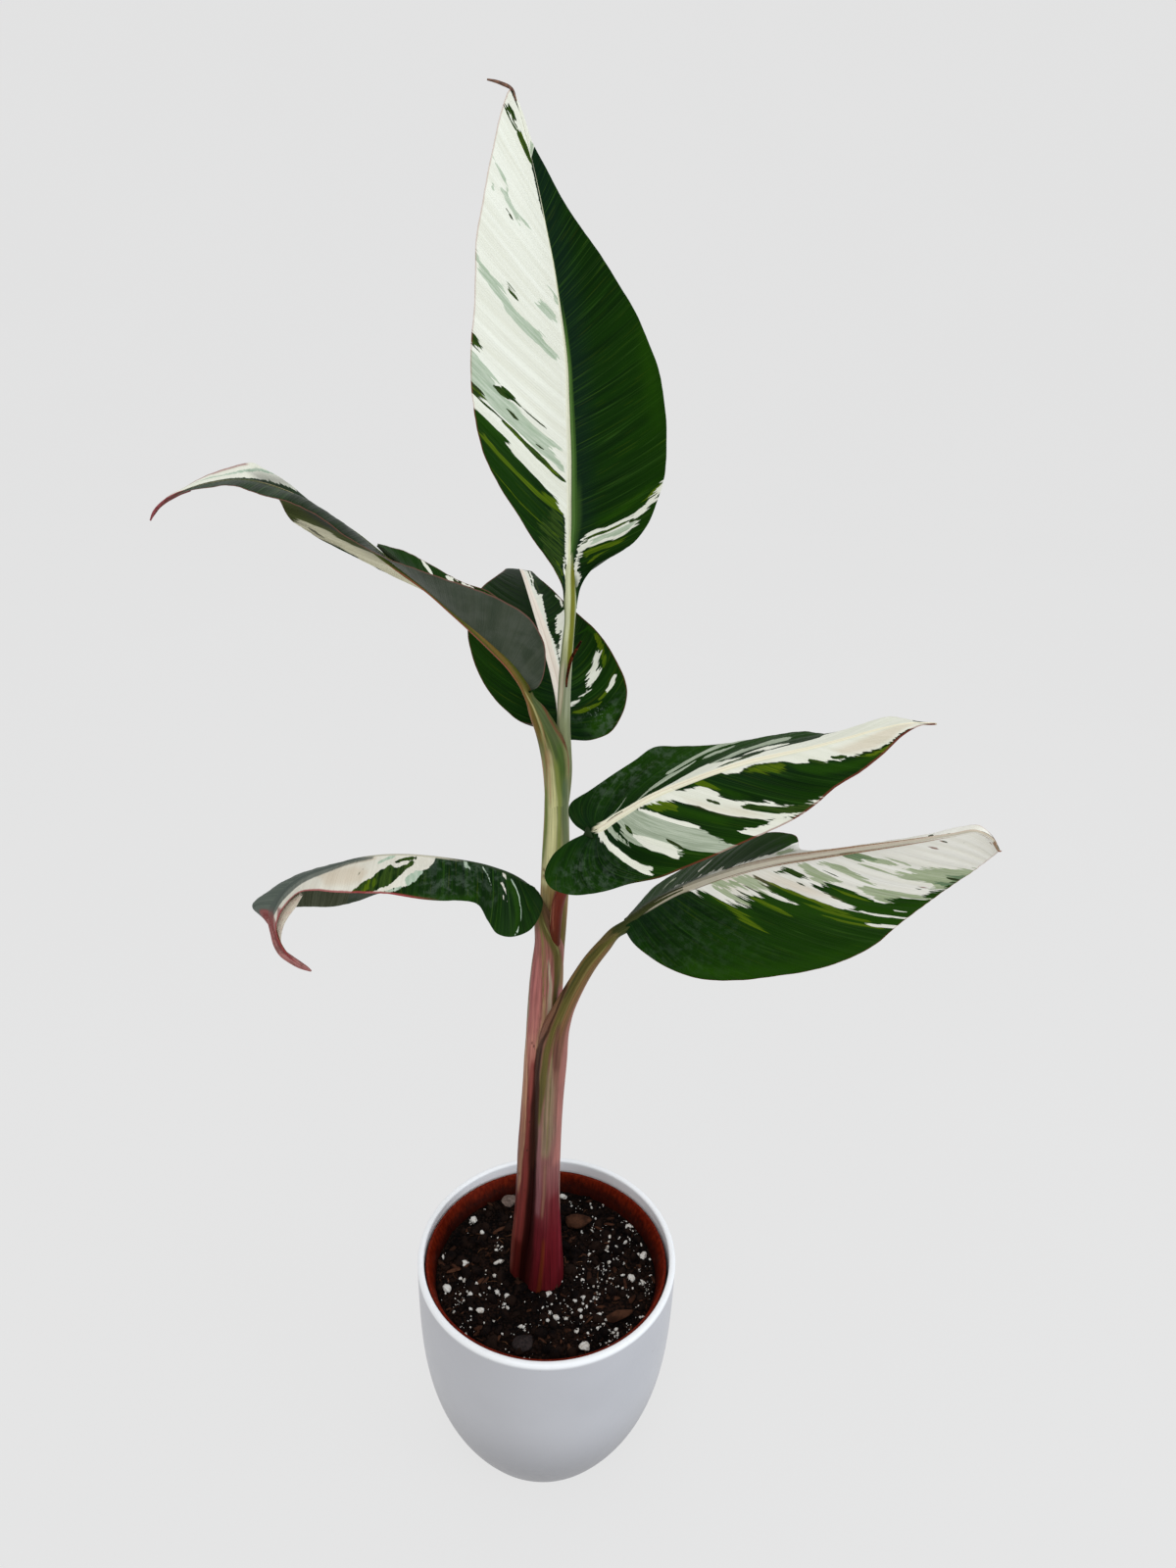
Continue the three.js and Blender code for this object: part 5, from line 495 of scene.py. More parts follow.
MARKS["D"] = [
    ("Q", "", "a", 0, [(15.1, -0.692), (20.6, -0.214), (41.7, -0.680), (35.7, -1.019), (25.2, -0.969)]),
    ("Q", "", "b", 0, [(15.6, 1.400), (27.2, 1.400), (46.3, 0.994), (59.4, 0.717), (41.7, 0.478), (21.1, 0.541)]),
    ("W", "", "a", 0, [(10.6, 0.300), (25.7, 0.300), (35.7, -0.113), (39.2, -0.227), (42.3, -0.365), (44.3, -0.516), (45.8, -0.680), (47.3, -0.768), (47.8, -0.818), (46.3, -0.843), (46.3, -0.893), (45.3, -0.931), (44.3, -0.868), (43.8, -0.768), (42.3, -0.629), (41.2, -0.503), (39.2, -0.378), (35.7, -0.239), (28.7, -0.101)]),
    ("S", "", "a", 0, [(30.2, 0.300), (37.7, 0.300), (43.3, -0.126), (45.8, -0.214), (46.8, -0.302), (48.3, -0.403), (46.8, -0.403), (43.8, -0.252), (39.7, -0.138)]),
    ("S", "", "a", 0, [(41.2, 0.300), (49.8, 0.300), (56.3, 0.300), (59.9, -0.063), (61.4, -0.113), (63.4, -0.214), (65.4, -0.289), (67.9, -0.403), (70.4, -0.516), (73.4, -0.604), (71.9, -0.667), (72.4, -0.730), (72.9, -0.843), (72.9, -0.919), (71.4, -0.868), (71.9, -0.956), (73.4, -1.007), (71.4, -1.019), (68.9, -1.019), (66.4, -0.969), (64.4, -0.893), (62.4, -0.793), (61.4, -0.730), (56.8, -0.843), (55.3, -0.780), (54.3, -0.667), (52.3, -0.591), (51.8, -0.503), (49.8, -0.440), (48.3, -0.365), (46.8, -0.277), (45.8, -0.201), (47.8, -0.164), (47.8, -0.113), (46.3, -0.050)]),
    ("W", "", "a", 1.6, [(60.4, -0.088), (65.4, -0.277), (69.9, -0.478), (73.4, -0.604)]),
    ("V", "", "a", 0, [(50.3, -0.252), (53.3, -0.327), (55.8, -0.415), (58.3, -0.529), (59.9, -0.617), (59.9, -0.705), (60.9, -0.755), (59.9, -0.755), (58.9, -0.717), (57.3, -0.831), (56.3, -0.843), (55.3, -0.780), (54.8, -0.654), (52.8, -0.579), (51.8, -0.491), (51.3, -0.378)]),
    ("K", "", "a", 1.1, [(59.9, -0.529), (60.9, -0.617), (61.4, -0.742)]),
    ("G", "", "a", 1, [(49.8, -0.176), (51.8, -0.252)]),
    ("W", "", "a", 0, [(60.9, -0.063), (64.4, -0.050), (66.9, -0.076), (70.4, -0.088), (72.9, -0.113), (76.0, -0.164), (78.0, -0.227), (80.5, -0.315), (81.5, -0.415), (83.0, -0.503), (84.5, -0.566), (86.5, -0.629), (89.5, -0.730), (92.0, -0.843), (94.6, -0.893), (96.1, -0.906), (97.6, -0.944), (99.6, -0.969), (101.6, -0.982), (105.6, -1.007), (109.7, -1.007), (113.2, -0.969), (109.7, -0.944), (107.6, -0.919), (106.1, -0.881), (104.1, -0.831), (101.1, -0.755), (100.1, -0.680), (99.6, -0.617), (98.1, -0.591), (95.6, -0.541), (92.6, -0.453), (90.5, -0.390), (89.5, -0.315), (89.0, -0.252), (90.5, -0.201), (89.5, -0.151), (88.0, -0.113), (84.5, -0.088), (82.0, -0.076), (79.5, -0.063), (77.0, 0.300), (72.4, 0.300), (65.9, 0.300)]),
    ("G", "", "a", 1.5, [(90.5, -0.529), (93.6, -0.604), (97.1, -0.742), (100.6, -0.843), (104.1, -0.919), (108.1, -0.969)]),
    ("K", "", "a", 0.8, [(84.5, -0.289), (87.0, -0.378)]),
    ("T", "", "a", 0, [(79.0, -0.201), (82.0, -0.289), (84.0, -0.403), (86.5, -0.516), (89.5, -0.604), (92.6, -0.742), (89.5, -0.667), (86.0, -0.566), (83.0, -0.440), (80.5, -0.289)]),
    ("T", "", "a", 0, [(87.5, -0.478), (90.0, -0.566), (91.5, -0.667), (92.0, -0.730), (89.0, -0.642), (87.5, -0.541)]),
    ("W", "", "a", 1.7, [(80.0, -0.831), (82.0, -0.906), (85.5, -0.956), (89.5, -0.982), (94.1, -0.994), (97.6, -0.994)]),
    ("Y", "", "a", 0, [(103.6, -0.101), (107.6, -0.088), (112.7, -0.113), (116.7, -0.176), (114.2, -0.289), (109.7, -0.239), (106.1, -0.176)]),
    ("L", "", "a", 0, [(62.4, -0.076), (67.9, -0.101), (74.4, -0.201), (76.5, -0.302), (79.5, -0.428), (83.5, -0.604), (79.5, -0.667), (76.5, -0.516), (73.4, -0.365), (68.9, -0.239)]),
    ("Y", "", "a", 1.4, [(64.9, -0.076), (69.9, -0.138), (74.4, -0.214)]),
    ("L", "", "a", 0, [(86.0, -0.050), (91.5, -0.088), (94.6, -0.264), (96.6, -0.440), (93.1, -0.403), (91.5, -0.277), (89.5, -0.138)]),
    ("Y", "", "a", 1.2, [(87.5, -0.050), (90.5, -0.113), (92.0, -0.227)]),
    ("L", "", "a", 0, [(116.7, -0.164), (123.2, -0.365), (130.3, -0.579), (138.3, -0.805), (144.4, -1.019), (139.8, -0.994), (129.3, -0.843), (121.2, -0.642), (117.7, -0.378)]),
    ("Y", "", "a", 0, [(135.3, -0.629), (140.8, -0.793), (146.4, -0.944), (142.3, -0.982), (137.8, -0.843)]),
    ("V", "", "a", 0, [(55.3, 0.300), (63.9, 0.300), (73.4, 0.300), (84.0, 0.300), (95.6, 0.300), (106.6, 0.300), (118.7, 0.300), (127.8, 0.300), (122.7, -0.315), (119.2, -0.239), (117.2, -0.138), (113.2, -0.101), (108.6, -0.063), (105.1, -0.076), (102.6, -0.113), (98.6, -0.076), (93.1, 0.300), (86.5, 0.300), (80.5, 0.300), (72.4, 0.300), (63.4, 0.300)]),
    ("W", "", "a", 0, [(55.3, 0.300), (63.9, 0.300), (73.4, 0.300), (84.0, 0.300), (95.6, 0.300), (106.6, 0.300), (118.7, 0.300), (129.8, 0.300), (140.3, 0.300), (149.9, 0.300), (157.9, 0.300), (166.0, -1.400), (160.5, -1.400), (154.4, -0.780), (150.4, -0.843), (146.4, -0.881), (142.9, -0.805), (140.3, -0.692), (137.3, -0.617), (134.8, -0.541), (131.8, -0.491), (129.8, -0.491), (127.3, -0.428), (124.2, -0.315), (121.2, -0.151), (116.2, 0.300), (110.2, 0.300), (100.1, 0.300), (87.5, 0.300), (72.9, 0.300), (63.9, 0.300)]),
    ("G", "", "a", 1, [(123.2, -0.277), (124.7, -0.340), (126.3, -0.428)]),
    ("G", "", "a", 1, [(129.3, -0.378), (131.3, -0.428), (133.3, -0.478)]),
    ("T", "", "a", 0, [(132.3, -0.227), (139.3, -0.214), (146.4, -0.176), (152.9, -0.113), (157.4, -0.088), (158.9, -0.654), (155.4, -0.554), (148.4, -0.780), (142.3, -0.692), (138.3, -0.554), (133.3, -0.403)]),
    ("S", "", "b", 1, [(31.2, 0.013), (41.2, 0.050), (41.7, 0.164), (40.7, 0.340)]),
    ("S", "", "b", 2, [(58.3, -0.013), (57.8, 0.101), (56.8, 0.239), (58.3, 0.340), (61.9, 0.403), (63.4, 0.503), (63.9, 0.654)]),
    ("S", "", "b", 1.7, [(54.8, 0.529), (56.8, 0.566), (58.9, 0.667), (60.9, 0.793), (62.9, 0.919), (65.9, 1.007), (72.4, 1.007)]),
    ("S", "", "b", 2.4, [(80.0, 0.315), (83.5, 0.352), (85.0, 0.466), (90.0, 0.503), (93.1, 0.579), (96.6, 0.642), (101.1, 0.680)]),
    ("S", "", "b", 1.2, [(65.4, 0.692), (69.9, 0.768), (73.9, 0.818)]),
    ("V", "", "b", 0, [(55.3, -0.300), (63.9, -0.300), (70.4, 0.063), (74.9, 0.151), (74.9, 0.252), (75.5, 0.365), (78.5, 0.390), (88.0, 0.289), (95.1, 0.264), (102.1, 0.189), (105.1, 0.239), (109.2, 0.277), (111.7, 0.378), (114.2, 0.491), (116.7, 0.604), (112.7, 0.893), (116.7, 0.944), (124.7, 1.400), (134.3, 1.400), (151.9, 1.400), (166.0, -0.300), (158.9, -0.300), (149.9, -0.300), (140.3, -0.300), (129.8, -0.300), (118.2, -0.300), (107.1, -0.300), (95.1, -0.300), (83.5, -0.300), (73.4, -0.300), (63.9, -0.300)]),
    ("W", "", "b", 1.3, [(96.6, 0.327), (100.6, 0.378), (105.6, 0.390), (110.2, 0.440)]),
    ("G", "", "b", 0.9, [(94.6, 0.101), (99.1, 0.151), (103.1, 0.189), (107.1, 0.227)]),
    ("S", "", "b", 1, [(134.8, 0.466), (142.3, 0.491), (144.4, 0.780), (147.9, 0.881)]),
    ("S", "", "b", 0.9, [(132.8, 0.088), (138.3, 0.151), (143.9, 0.239)]),
    ("T", "", "b", 1.3, [(84.5, 0.025), (94.6, 0.038), (105.1, 0.063), (118.2, 0.025), (129.3, 0.038), (139.3, 0.101), (149.4, 0.088)]),
]
MARKS["E"] = [
    ("Q", "", "a", 0, [(57.8, 0.300), (47.8, 0.300), (34.2, 0.300), (21.1, -0.076), (28.2, -0.277), (41.7, -0.340), (51.8, -0.365), (59.8, -0.327)]),
    ("Q", "", "a", 0, [(61.3, -0.503), (49.3, -0.415), (32.2, -0.378), (28.2, -0.579), (43.7, -0.881), (58.8, -0.881)]),
    ("P", "", "a", 0, [(129.2, -0.453), (123.2, -1.400), (128.7, -1.400), (150.3, -1.400), (158.4, -1.400), (161.4, 0.300), (157.4, 0.300), (149.3, -1.400), (134.2, -1.400)]),
    ("W", "", "a", 0, [(57.3, 0.300), (56.8, 0.300), (57.8, -0.151), (59.3, -0.327), (61.8, -0.428), (62.8, -0.579), (63.9, -0.705), (65.9, -0.793), (67.9, -0.818), (70.4, -0.881), (71.9, -0.944), (74.4, -0.982), (78.4, -1.019), (85.0, -1.400), (93.0, -1.400), (99.6, -1.400), (106.6, -1.400), (111.6, -1.400), (119.2, -1.400), (125.2, -1.400), (131.7, -1.400), (141.3, -1.400), (138.8, -0.503), (134.2, -0.113), (128.2, 0.300), (119.7, -0.164), (111.1, -0.063), (102.1, 0.300), (92.0, 0.300), (82.0, 0.300), (71.4, 0.300), (60.8, 0.300)]),
    ("G", "", "a", 0, [(86.0, -1.007), (84.0, -0.856), (82.5, -0.717), (79.9, -0.617), (78.4, -0.466), (76.9, -0.390), (75.4, -0.277), (73.4, -0.327), (73.9, -0.378), (70.9, -0.340), (68.4, -0.264), (66.9, -0.151), (64.9, -0.227), (66.9, -0.340), (68.4, -0.440), (69.4, -0.541), (70.9, -0.717), (72.4, -0.818), (74.9, -0.893), (77.9, -0.969), (81.5, -1.019)]),
    ("Y", "", "a", 0, [(86.0, -1.007), (84.0, -0.856), (82.5, -0.717), (79.9, -0.642), (76.9, -0.742), (77.9, -0.881), (81.5, -0.994)]),
    ("Y", "", "a", 0.5, [(87.5, -0.604), (86.5, -0.415), (85.0, -0.315), (81.5, -0.239)]),
    ("G", "", "a", 0.35, [(86.5, -0.591), (86.0, -0.453), (85.0, -0.340)]),
    ("S", "", "a", 0.9, [(81.5, -0.264), (77.9, -0.126), (74.4, -0.050)]),
    ("G", "", "a", 0.8, [(73.9, -0.227), (70.4, -0.138), (65.9, -0.088)]),
    ("K", "", "a", 1, [(65.9, -0.088), (65.4, -0.101)]),
    ("S", "", "a", 0, [(67.4, -0.629), (65.4, -0.491), (62.8, -0.390), (60.3, -0.378), (62.3, -0.604), (63.9, -0.717), (65.4, -0.780)]),
    ("S", "", "a", 0, [(75.4, -0.994), (71.9, -0.931), (69.4, -0.843), (66.4, -0.780), (68.9, -0.919), (71.9, -1.007)]),
    ("T", "", "a", 0, [(106.1, -0.264), (97.0, -0.277), (88.5, -0.289), (83.0, -0.491), (84.0, -0.730), (90.5, -0.831), (99.6, -0.818)]),
    ("T", "", "a", 1.2, [(99.6, -0.252), (92.0, -0.113), (82.5, -0.088)]),
    ("S", "", "a", 0, [(47.8, 0.300), (45.3, 0.300), (43.7, -0.076), (41.7, -0.201), (44.7, -0.164)]),
    ("W", "", "a", 0.6, [(26.1, -0.050), (24.1, -0.076), (23.1, -0.113)]),
    ("W", "", "a", 0.55, [(27.2, -0.201), (25.1, -0.239), (23.1, -0.327), (22.6, -0.390)]),
    ("W", "", "a", 0.5, [(24.6, -0.403), (23.6, -0.453)]),
    ("W", "", "a", 0.6, [(22.6, -0.466), (22.1, -0.466)]),
    ("S", "", "a", 0.6, [(20.6, -0.076), (18.1, -0.189), (16.6, -0.340), (16.6, -0.503)]),
    ("S", "", "a", 0.5, [(16.1, -0.491), (16.1, -0.717), (16.6, -0.919), (17.6, -0.994)]),
    ("S", "", "a", 0.35, [(37.7, -0.050), (34.2, -0.227), (31.2, -0.415)]),
    ("L", "", "a", 0, [(24.6, -0.101), (20.6, -0.076), (18.1, -0.201), (16.6, -0.352), (16.6, -0.503), (16.6, -0.717), (17.1, -0.906), (17.6, -0.982), (18.1, -0.818), (18.6, -0.579), (20.1, -0.352), (22.1, -0.227)]),
    ("L", "", "a", 0, [(62.3, -0.944), (54.8, -0.919), (43.2, -0.906), (35.7, -0.780), (39.2, -0.982), (50.8, -0.994), (60.3, -1.007)]),
    ("P", "", "", 0, [(134.0, -1.400), (200.0, -1.400), (200.0, 1.400), (134.0, 1.400)]),
    ("H", "", "b", 0, [(86.0, -0.300), (136.0, -0.300), (136.0, 1.400), (86.0, 1.400)]),
    ("H", "", "a", 0, [(84.0, 0.300), (84.0, -0.100), (95.0, -0.200), (108.0, -0.380), (120.0, -0.500), (130.0, -0.500), (136.0, -0.300), (136.0, 0.300)]),
]
MARKS["F"] = [
    ("L", "", "b", 0, [(4.0, -0.300), (18.1, 1.400), (40.2, 1.400), (62.7, 1.400), (79.8, 1.007), (91.4, 1.019), (101.4, 0.856), (93.4, 0.340), (79.8, 0.113), (57.7, 0.076), (31.1, -0.300)]),
    ("L", "", "a", 0, [(101.9, -0.327), (110.4, -0.466), (108.4, -0.680), (98.4, -0.793), (94.9, -0.642), (94.4, -0.453)]),
    ("Q", "", "a", 0, [(2.5, -0.453), (44.7, -0.088), (58.2, -0.289), (56.2, -0.491), (21.6, -0.768), (6.0, -1.400)]),
    ("W", "", "a", 0, [(40.2, 0.300), (52.7, 0.300), (65.3, 0.300), (78.8, 0.300), (91.9, 0.300), (102.9, 0.300), (116.0, 0.300), (129.0, 0.300), (142.6, 0.300), (155.1, 0.300), (164.6, 0.300), (172.2, 0.300), (175.7, -0.050), (178.2, -1.400), (168.2, -1.400), (150.1, -1.400), (138.5, -1.400), (135.5, -1.019), (131.5, -0.969), (126.0, -1.007), (123.0, -1.007), (121.5, -0.956), (120.5, -0.893), (119.0, -0.956), (117.5, -0.919), (116.5, -0.893), (113.9, -0.881), (110.9, -0.944), (110.9, -0.881), (110.4, -0.805), (110.4, -0.730), (110.9, -0.692), (107.4, -0.717), (104.9, -0.768), (104.4, -0.742), (103.4, -0.680), (104.4, -0.617), (104.9, -0.566), (104.9, -0.516), (105.4, -0.440), (105.4, -0.390), (104.9, -0.340), (103.9, -0.302), (101.4, -0.340), (100.9, -0.327), (98.9, -0.378), (97.9, -0.428), (97.4, -0.503), (97.4, -0.566), (97.4, -0.604), (95.4, -0.654), (94.9, -0.692), (94.9, -0.642), (93.9, -0.604), (93.4, -0.529), (93.4, -0.466), (93.4, -0.403), (92.4, -0.352), (93.4, -0.277), (91.9, -0.239), (91.9, -0.176), (90.9, -0.126), (90.9, -0.101), (87.8, -0.126), (87.3, -0.151), (85.8, -0.189), (84.8, -0.189), (82.8, -0.189), (80.8, -0.201), (80.3, -0.252), (79.3, -0.214), (79.3, -0.189), (75.8, -0.189), (74.8, -0.176), (73.3, -0.214), (71.3, -0.252), (71.3, -0.289), (70.8, -0.239), (68.3, -0.227), (66.8, -0.214), (65.8, -0.164), (65.3, -0.101), (63.7, -0.063), (59.7, -0.050), (55.7, 0.300), (50.7, 0.300)]),
    ("S", "", "a", 0, [(69.3, 0.300), (78.3, -0.050), (86.8, -0.063), (90.4, -0.076), (88.3, -0.101), (87.3, -0.164), (83.8, -0.164), (80.8, -0.138), (76.8, -0.138), (76.3, -0.101), (72.3, -0.088)]),
    ("T", "", "a", 0, [(71.8, -0.050), (79.8, -0.063), (88.3, -0.076), (87.8, -0.138), (83.3, -0.138), (78.8, -0.101), (73.8, -0.101)]),
    ("T", "", "a", 0, [(65.3, 0.300), (76.8, 0.300), (86.8, -0.063), (95.9, -0.113), (97.9, -0.264), (98.4, -0.453), (94.9, -0.378), (93.4, -0.214), (90.9, -0.126), (83.8, -0.101), (73.3, -0.076)]),
    ("S", "", "a", 1.6, [(69.8, -0.113), (72.8, -0.176), (71.3, -0.227)]),
    ("W", "", "a", 1, [(75.3, -0.050), (78.3, -0.138), (80.8, -0.227)]),
    ("S", "", "a", 0, [(106.9, -0.101), (107.4, -0.126), (102.4, -0.214), (102.4, -0.264), (102.4, -0.315), (105.9, -0.302), (108.9, -0.289), (110.4, -0.227), (109.4, -0.176), (109.9, -0.113), (110.4, -0.063)]),
    ("S", "", "a", 0, [(112.4, -0.101), (117.5, -0.101), (119.5, -0.176), (118.5, -0.264), (117.5, -0.327), (116.0, -0.428), (114.4, -0.529), (113.9, -0.415), (114.4, -0.315), (114.4, -0.227), (113.9, -0.151)]),
    ("D", "", "a", 1.6, [(125.5, -0.088), (130.0, -0.101), (132.5, -0.164)]),
    ("S", "", "a", 1.6, [(128.5, -0.164), (131.0, -0.239), (134.0, -0.315)]),
    ("S", "", "a", 1.4, [(124.5, -0.227), (126.0, -0.340), (125.5, -0.466)]),
    ("S", "", "a", 1.3, [(135.0, -0.239), (136.0, -0.340), (135.0, -0.453)]),
    ("S", "", "a", 0, [(112.4, -0.453), (112.9, -0.541), (114.4, -0.629), (114.9, -0.742), (114.9, -0.856), (111.4, -0.931), (111.4, -0.831), (111.9, -0.705), (107.4, -0.717), (104.4, -0.768), (104.4, -0.705), (105.4, -0.617), (108.4, -0.529)]),
    ("S", "", "a", 0, [(125.0, -0.491), (128.5, -0.503), (132.0, -0.529), (134.5, -0.579), (138.5, -0.579), (140.5, -0.667), (142.1, -0.805), (144.1, -0.893), (148.1, -0.994), (141.6, -1.400), (134.5, -1.400), (130.5, -0.982), (126.0, -1.007), (123.0, -1.007), (122.0, -0.931), (120.5, -0.881), (124.0, -0.805), (126.0, -0.717), (125.0, -0.642), (124.5, -0.566)]),
    ("D", "", "a", 0, [(127.0, -0.793), (129.0, -0.856), (128.5, -0.956), (132.5, -0.982), (136.5, -0.994), (131.0, -1.019), (125.5, -1.019), (124.0, -0.944), (125.0, -0.856)]),
    ("D", "", "a", 0, [(135.5, -0.881), (138.5, -0.982), (142.6, -1.400), (136.0, -1.400), (131.5, -0.994)]),
    ("Y", "", "a", 0.6, [(145.6, -0.654), (144.1, -0.768)]),
    ("G", "", "a", 0, [(96.9, -0.076), (98.9, -0.076), (102.4, -0.076), (103.4, -0.113), (103.4, -0.151), (103.9, -0.176), (101.4, -0.214), (100.4, -0.201), (98.9, -0.176), (97.9, -0.138), (96.9, -0.101)]),
    ("L", "", "a", 0, [(96.9, -0.076), (98.9, -0.076), (102.4, -0.076), (103.4, -0.113), (103.4, -0.151), (103.9, -0.176), (101.4, -0.214), (100.4, -0.201), (98.9, -0.176), (97.9, -0.138), (96.9, -0.101)]),
    ("K", "", "a", 1.5, [(123.0, -0.126), (123.0, -0.138)]),
    ("K", "", "a", 1.1, [(110.9, -0.227), (111.4, -0.227)]),
    ("K", "", "a", 1.1, [(119.0, -0.378), (119.0, -0.390)]),
    ("K", "", "a", 0.9, [(97.9, -0.239), (97.9, -0.252)]),
    ("K", "", "b", 1.5, [(156.6, 0.529), (158.6, 0.126)]),
    ("K", "", "b", 1.1, [(163.6, 0.138), (164.1, 0.050)]),
    ("K", "", "a", 1.3, [(159.6, -0.176), (159.1, -0.214)]),
    ("B", "", "a", 1, [(152.1, -0.252), (153.6, -0.289)]),
    ("K", "", "a", 0.8, [(165.1, -0.214), (165.1, -0.239)]),
    ("K", "", "a", 1, [(163.1, -0.327), (163.1, -0.352)]),
    ("B", "", "a", 1.1, [(150.1, -0.478), (150.1, -0.503)]),
    ("B", "", "a", 1.6, [(171.7, -0.604), (172.2, -0.629)]),
    ("K", "", "a", 1, [(119.5, -0.755), (119.0, -0.780)]),
    ("B", "", "a", 1, [(158.6, -0.151), (159.6, -0.189)]),
    ("B", "", "a", 0.8, [(121.0, -0.780), (122.0, -0.805)]),
    ("K", "", "a", 1.2, [(133.5, -0.893), (131.5, -0.969)]),
    ("K", "", "a", 1.2, [(129.0, -0.982), (130.0, -1.007)]),
    ("W", "", "a", 1.2, [(83.8, -0.176), (84.8, -0.239), (85.8, -0.289), (86.8, -0.378)]),
    ("W", "", "a", 1.3, [(95.4, -0.680), (95.9, -0.768), (96.4, -0.831), (96.9, -0.893), (96.9, -0.944), (97.9, -0.956)]),
    ("W", "", "a", 1, [(89.3, -0.818), (90.4, -0.881), (90.9, -0.944), (92.4, -0.994)]),
    ("W", "", "a", 0.9, [(100.4, -0.881), (100.9, -0.893)]),
    ("Y", "", "a", 0, [(64.8, -0.088), (65.3, -0.164), (66.3, -0.239), (66.3, -0.315), (64.8, -0.390), (62.2, -0.453), (61.2, -0.415), (63.2, -0.302), (63.2, -0.214)]),
    ("L", "", "a", 0, [(59.7, -0.050), (63.2, -0.063), (64.8, -0.126), (66.3, -0.189), (67.3, -0.227), (70.3, -0.277), (70.3, -0.327), (63.2, -0.453), (61.7, -0.428), (63.2, -0.302), (62.2, -0.214), (60.2, -0.126)]),
    ("L", "", "a", 0, [(75.3, -0.189), (79.3, -0.201), (89.3, -0.151), (91.4, -0.239), (92.4, -0.352), (92.9, -0.541), (94.4, -0.680), (95.9, -0.868), (98.4, -0.982), (97.4, -1.400), (91.4, -1.007), (89.3, -0.893), (86.3, -0.755), (84.3, -0.591), (78.3, -0.415), (73.8, -0.315), (73.3, -0.239)]),
    ("L", "", "a", 0, [(102.9, -0.315), (104.9, -0.340), (104.4, -0.453), (103.9, -0.566), (103.4, -0.680), (103.4, -0.793), (108.9, -0.906), (112.4, -0.969), (117.0, -0.969), (122.5, -0.994), (116.0, -1.400), (105.9, -1.400), (99.4, -1.400), (97.4, -0.919), (96.4, -0.793), (95.9, -0.654), (97.4, -0.604), (97.9, -0.491), (97.9, -0.428)]),
    ("Y", "", "a", 2, [(77.3, -0.227), (77.8, -0.302), (79.3, -0.403)]),
    ("Y", "", "a", 2.2, [(90.4, -0.164), (91.9, -0.264), (92.9, -0.378), (92.4, -0.516), (92.9, -0.617)]),
    ("Y", "", "a", 1.5, [(88.8, -0.403), (89.8, -0.554), (90.9, -0.705), (91.9, -0.793)]),
    ("Y", "", "a", 1, [(86.3, -0.566), (87.8, -0.742), (89.8, -0.919)]),
    ("Y", "", "a", 1.3, [(102.9, -0.378), (102.9, -0.516), (102.9, -0.654)]),
    ("L", "", "a", 0, [(7.0, -1.400), (16.1, -0.944), (23.6, -0.944), (32.6, -0.982), (43.7, -0.994), (57.7, -0.969), (73.8, -0.982), (83.3, -0.994), (77.8, -0.931), (64.2, -0.868), (46.7, -0.843), (33.1, -0.780), (23.6, -0.667)]),
    ("W", "", "b", 0, [(38.7, 0.113), (48.7, 0.201), (59.7, 0.138), (67.8, 0.176), (75.8, 0.176), (79.8, 0.076), (86.3, 0.151), (91.4, 0.227), (95.9, 0.327), (96.9, 0.529), (96.9, 0.843), (97.4, 1.400), (103.9, 1.400), (117.0, 1.400), (136.5, 1.400), (154.1, 1.400), (171.2, 1.400), (176.7, 0.667), (172.2, 0.063), (155.1, -0.300), (142.6, -0.300), (129.0, -0.300), (115.4, 0.063), (102.4, -0.300), (91.9, -0.300), (78.8, -0.300), (65.3, -0.300), (52.7, -0.300)]),
    ("S", "", "b", 0, [(96.9, 0.403), (98.9, 0.566), (99.4, 0.793), (104.4, 0.755), (102.9, 0.415), (100.9, 0.289)]),
    ("W", "", "b", 1.3, [(58.2, 0.440), (60.7, 0.516), (60.7, 0.692)]),
    ("S", "", "b", 0.8, [(35.1, 0.440), (38.1, 0.566), (41.7, 0.654)]),
    ("Y", "", "b", 1.6, [(10.5, 0.101), (31.6, -0.013), (45.2, -0.000), (51.2, 0.138)]),
    ("L", "", "b", 0, [(46.2, 0.352), (53.7, 0.440), (55.7, 0.768), (62.7, 0.780), (67.8, 0.378), (61.2, 0.264), (54.2, 0.252)]),
]
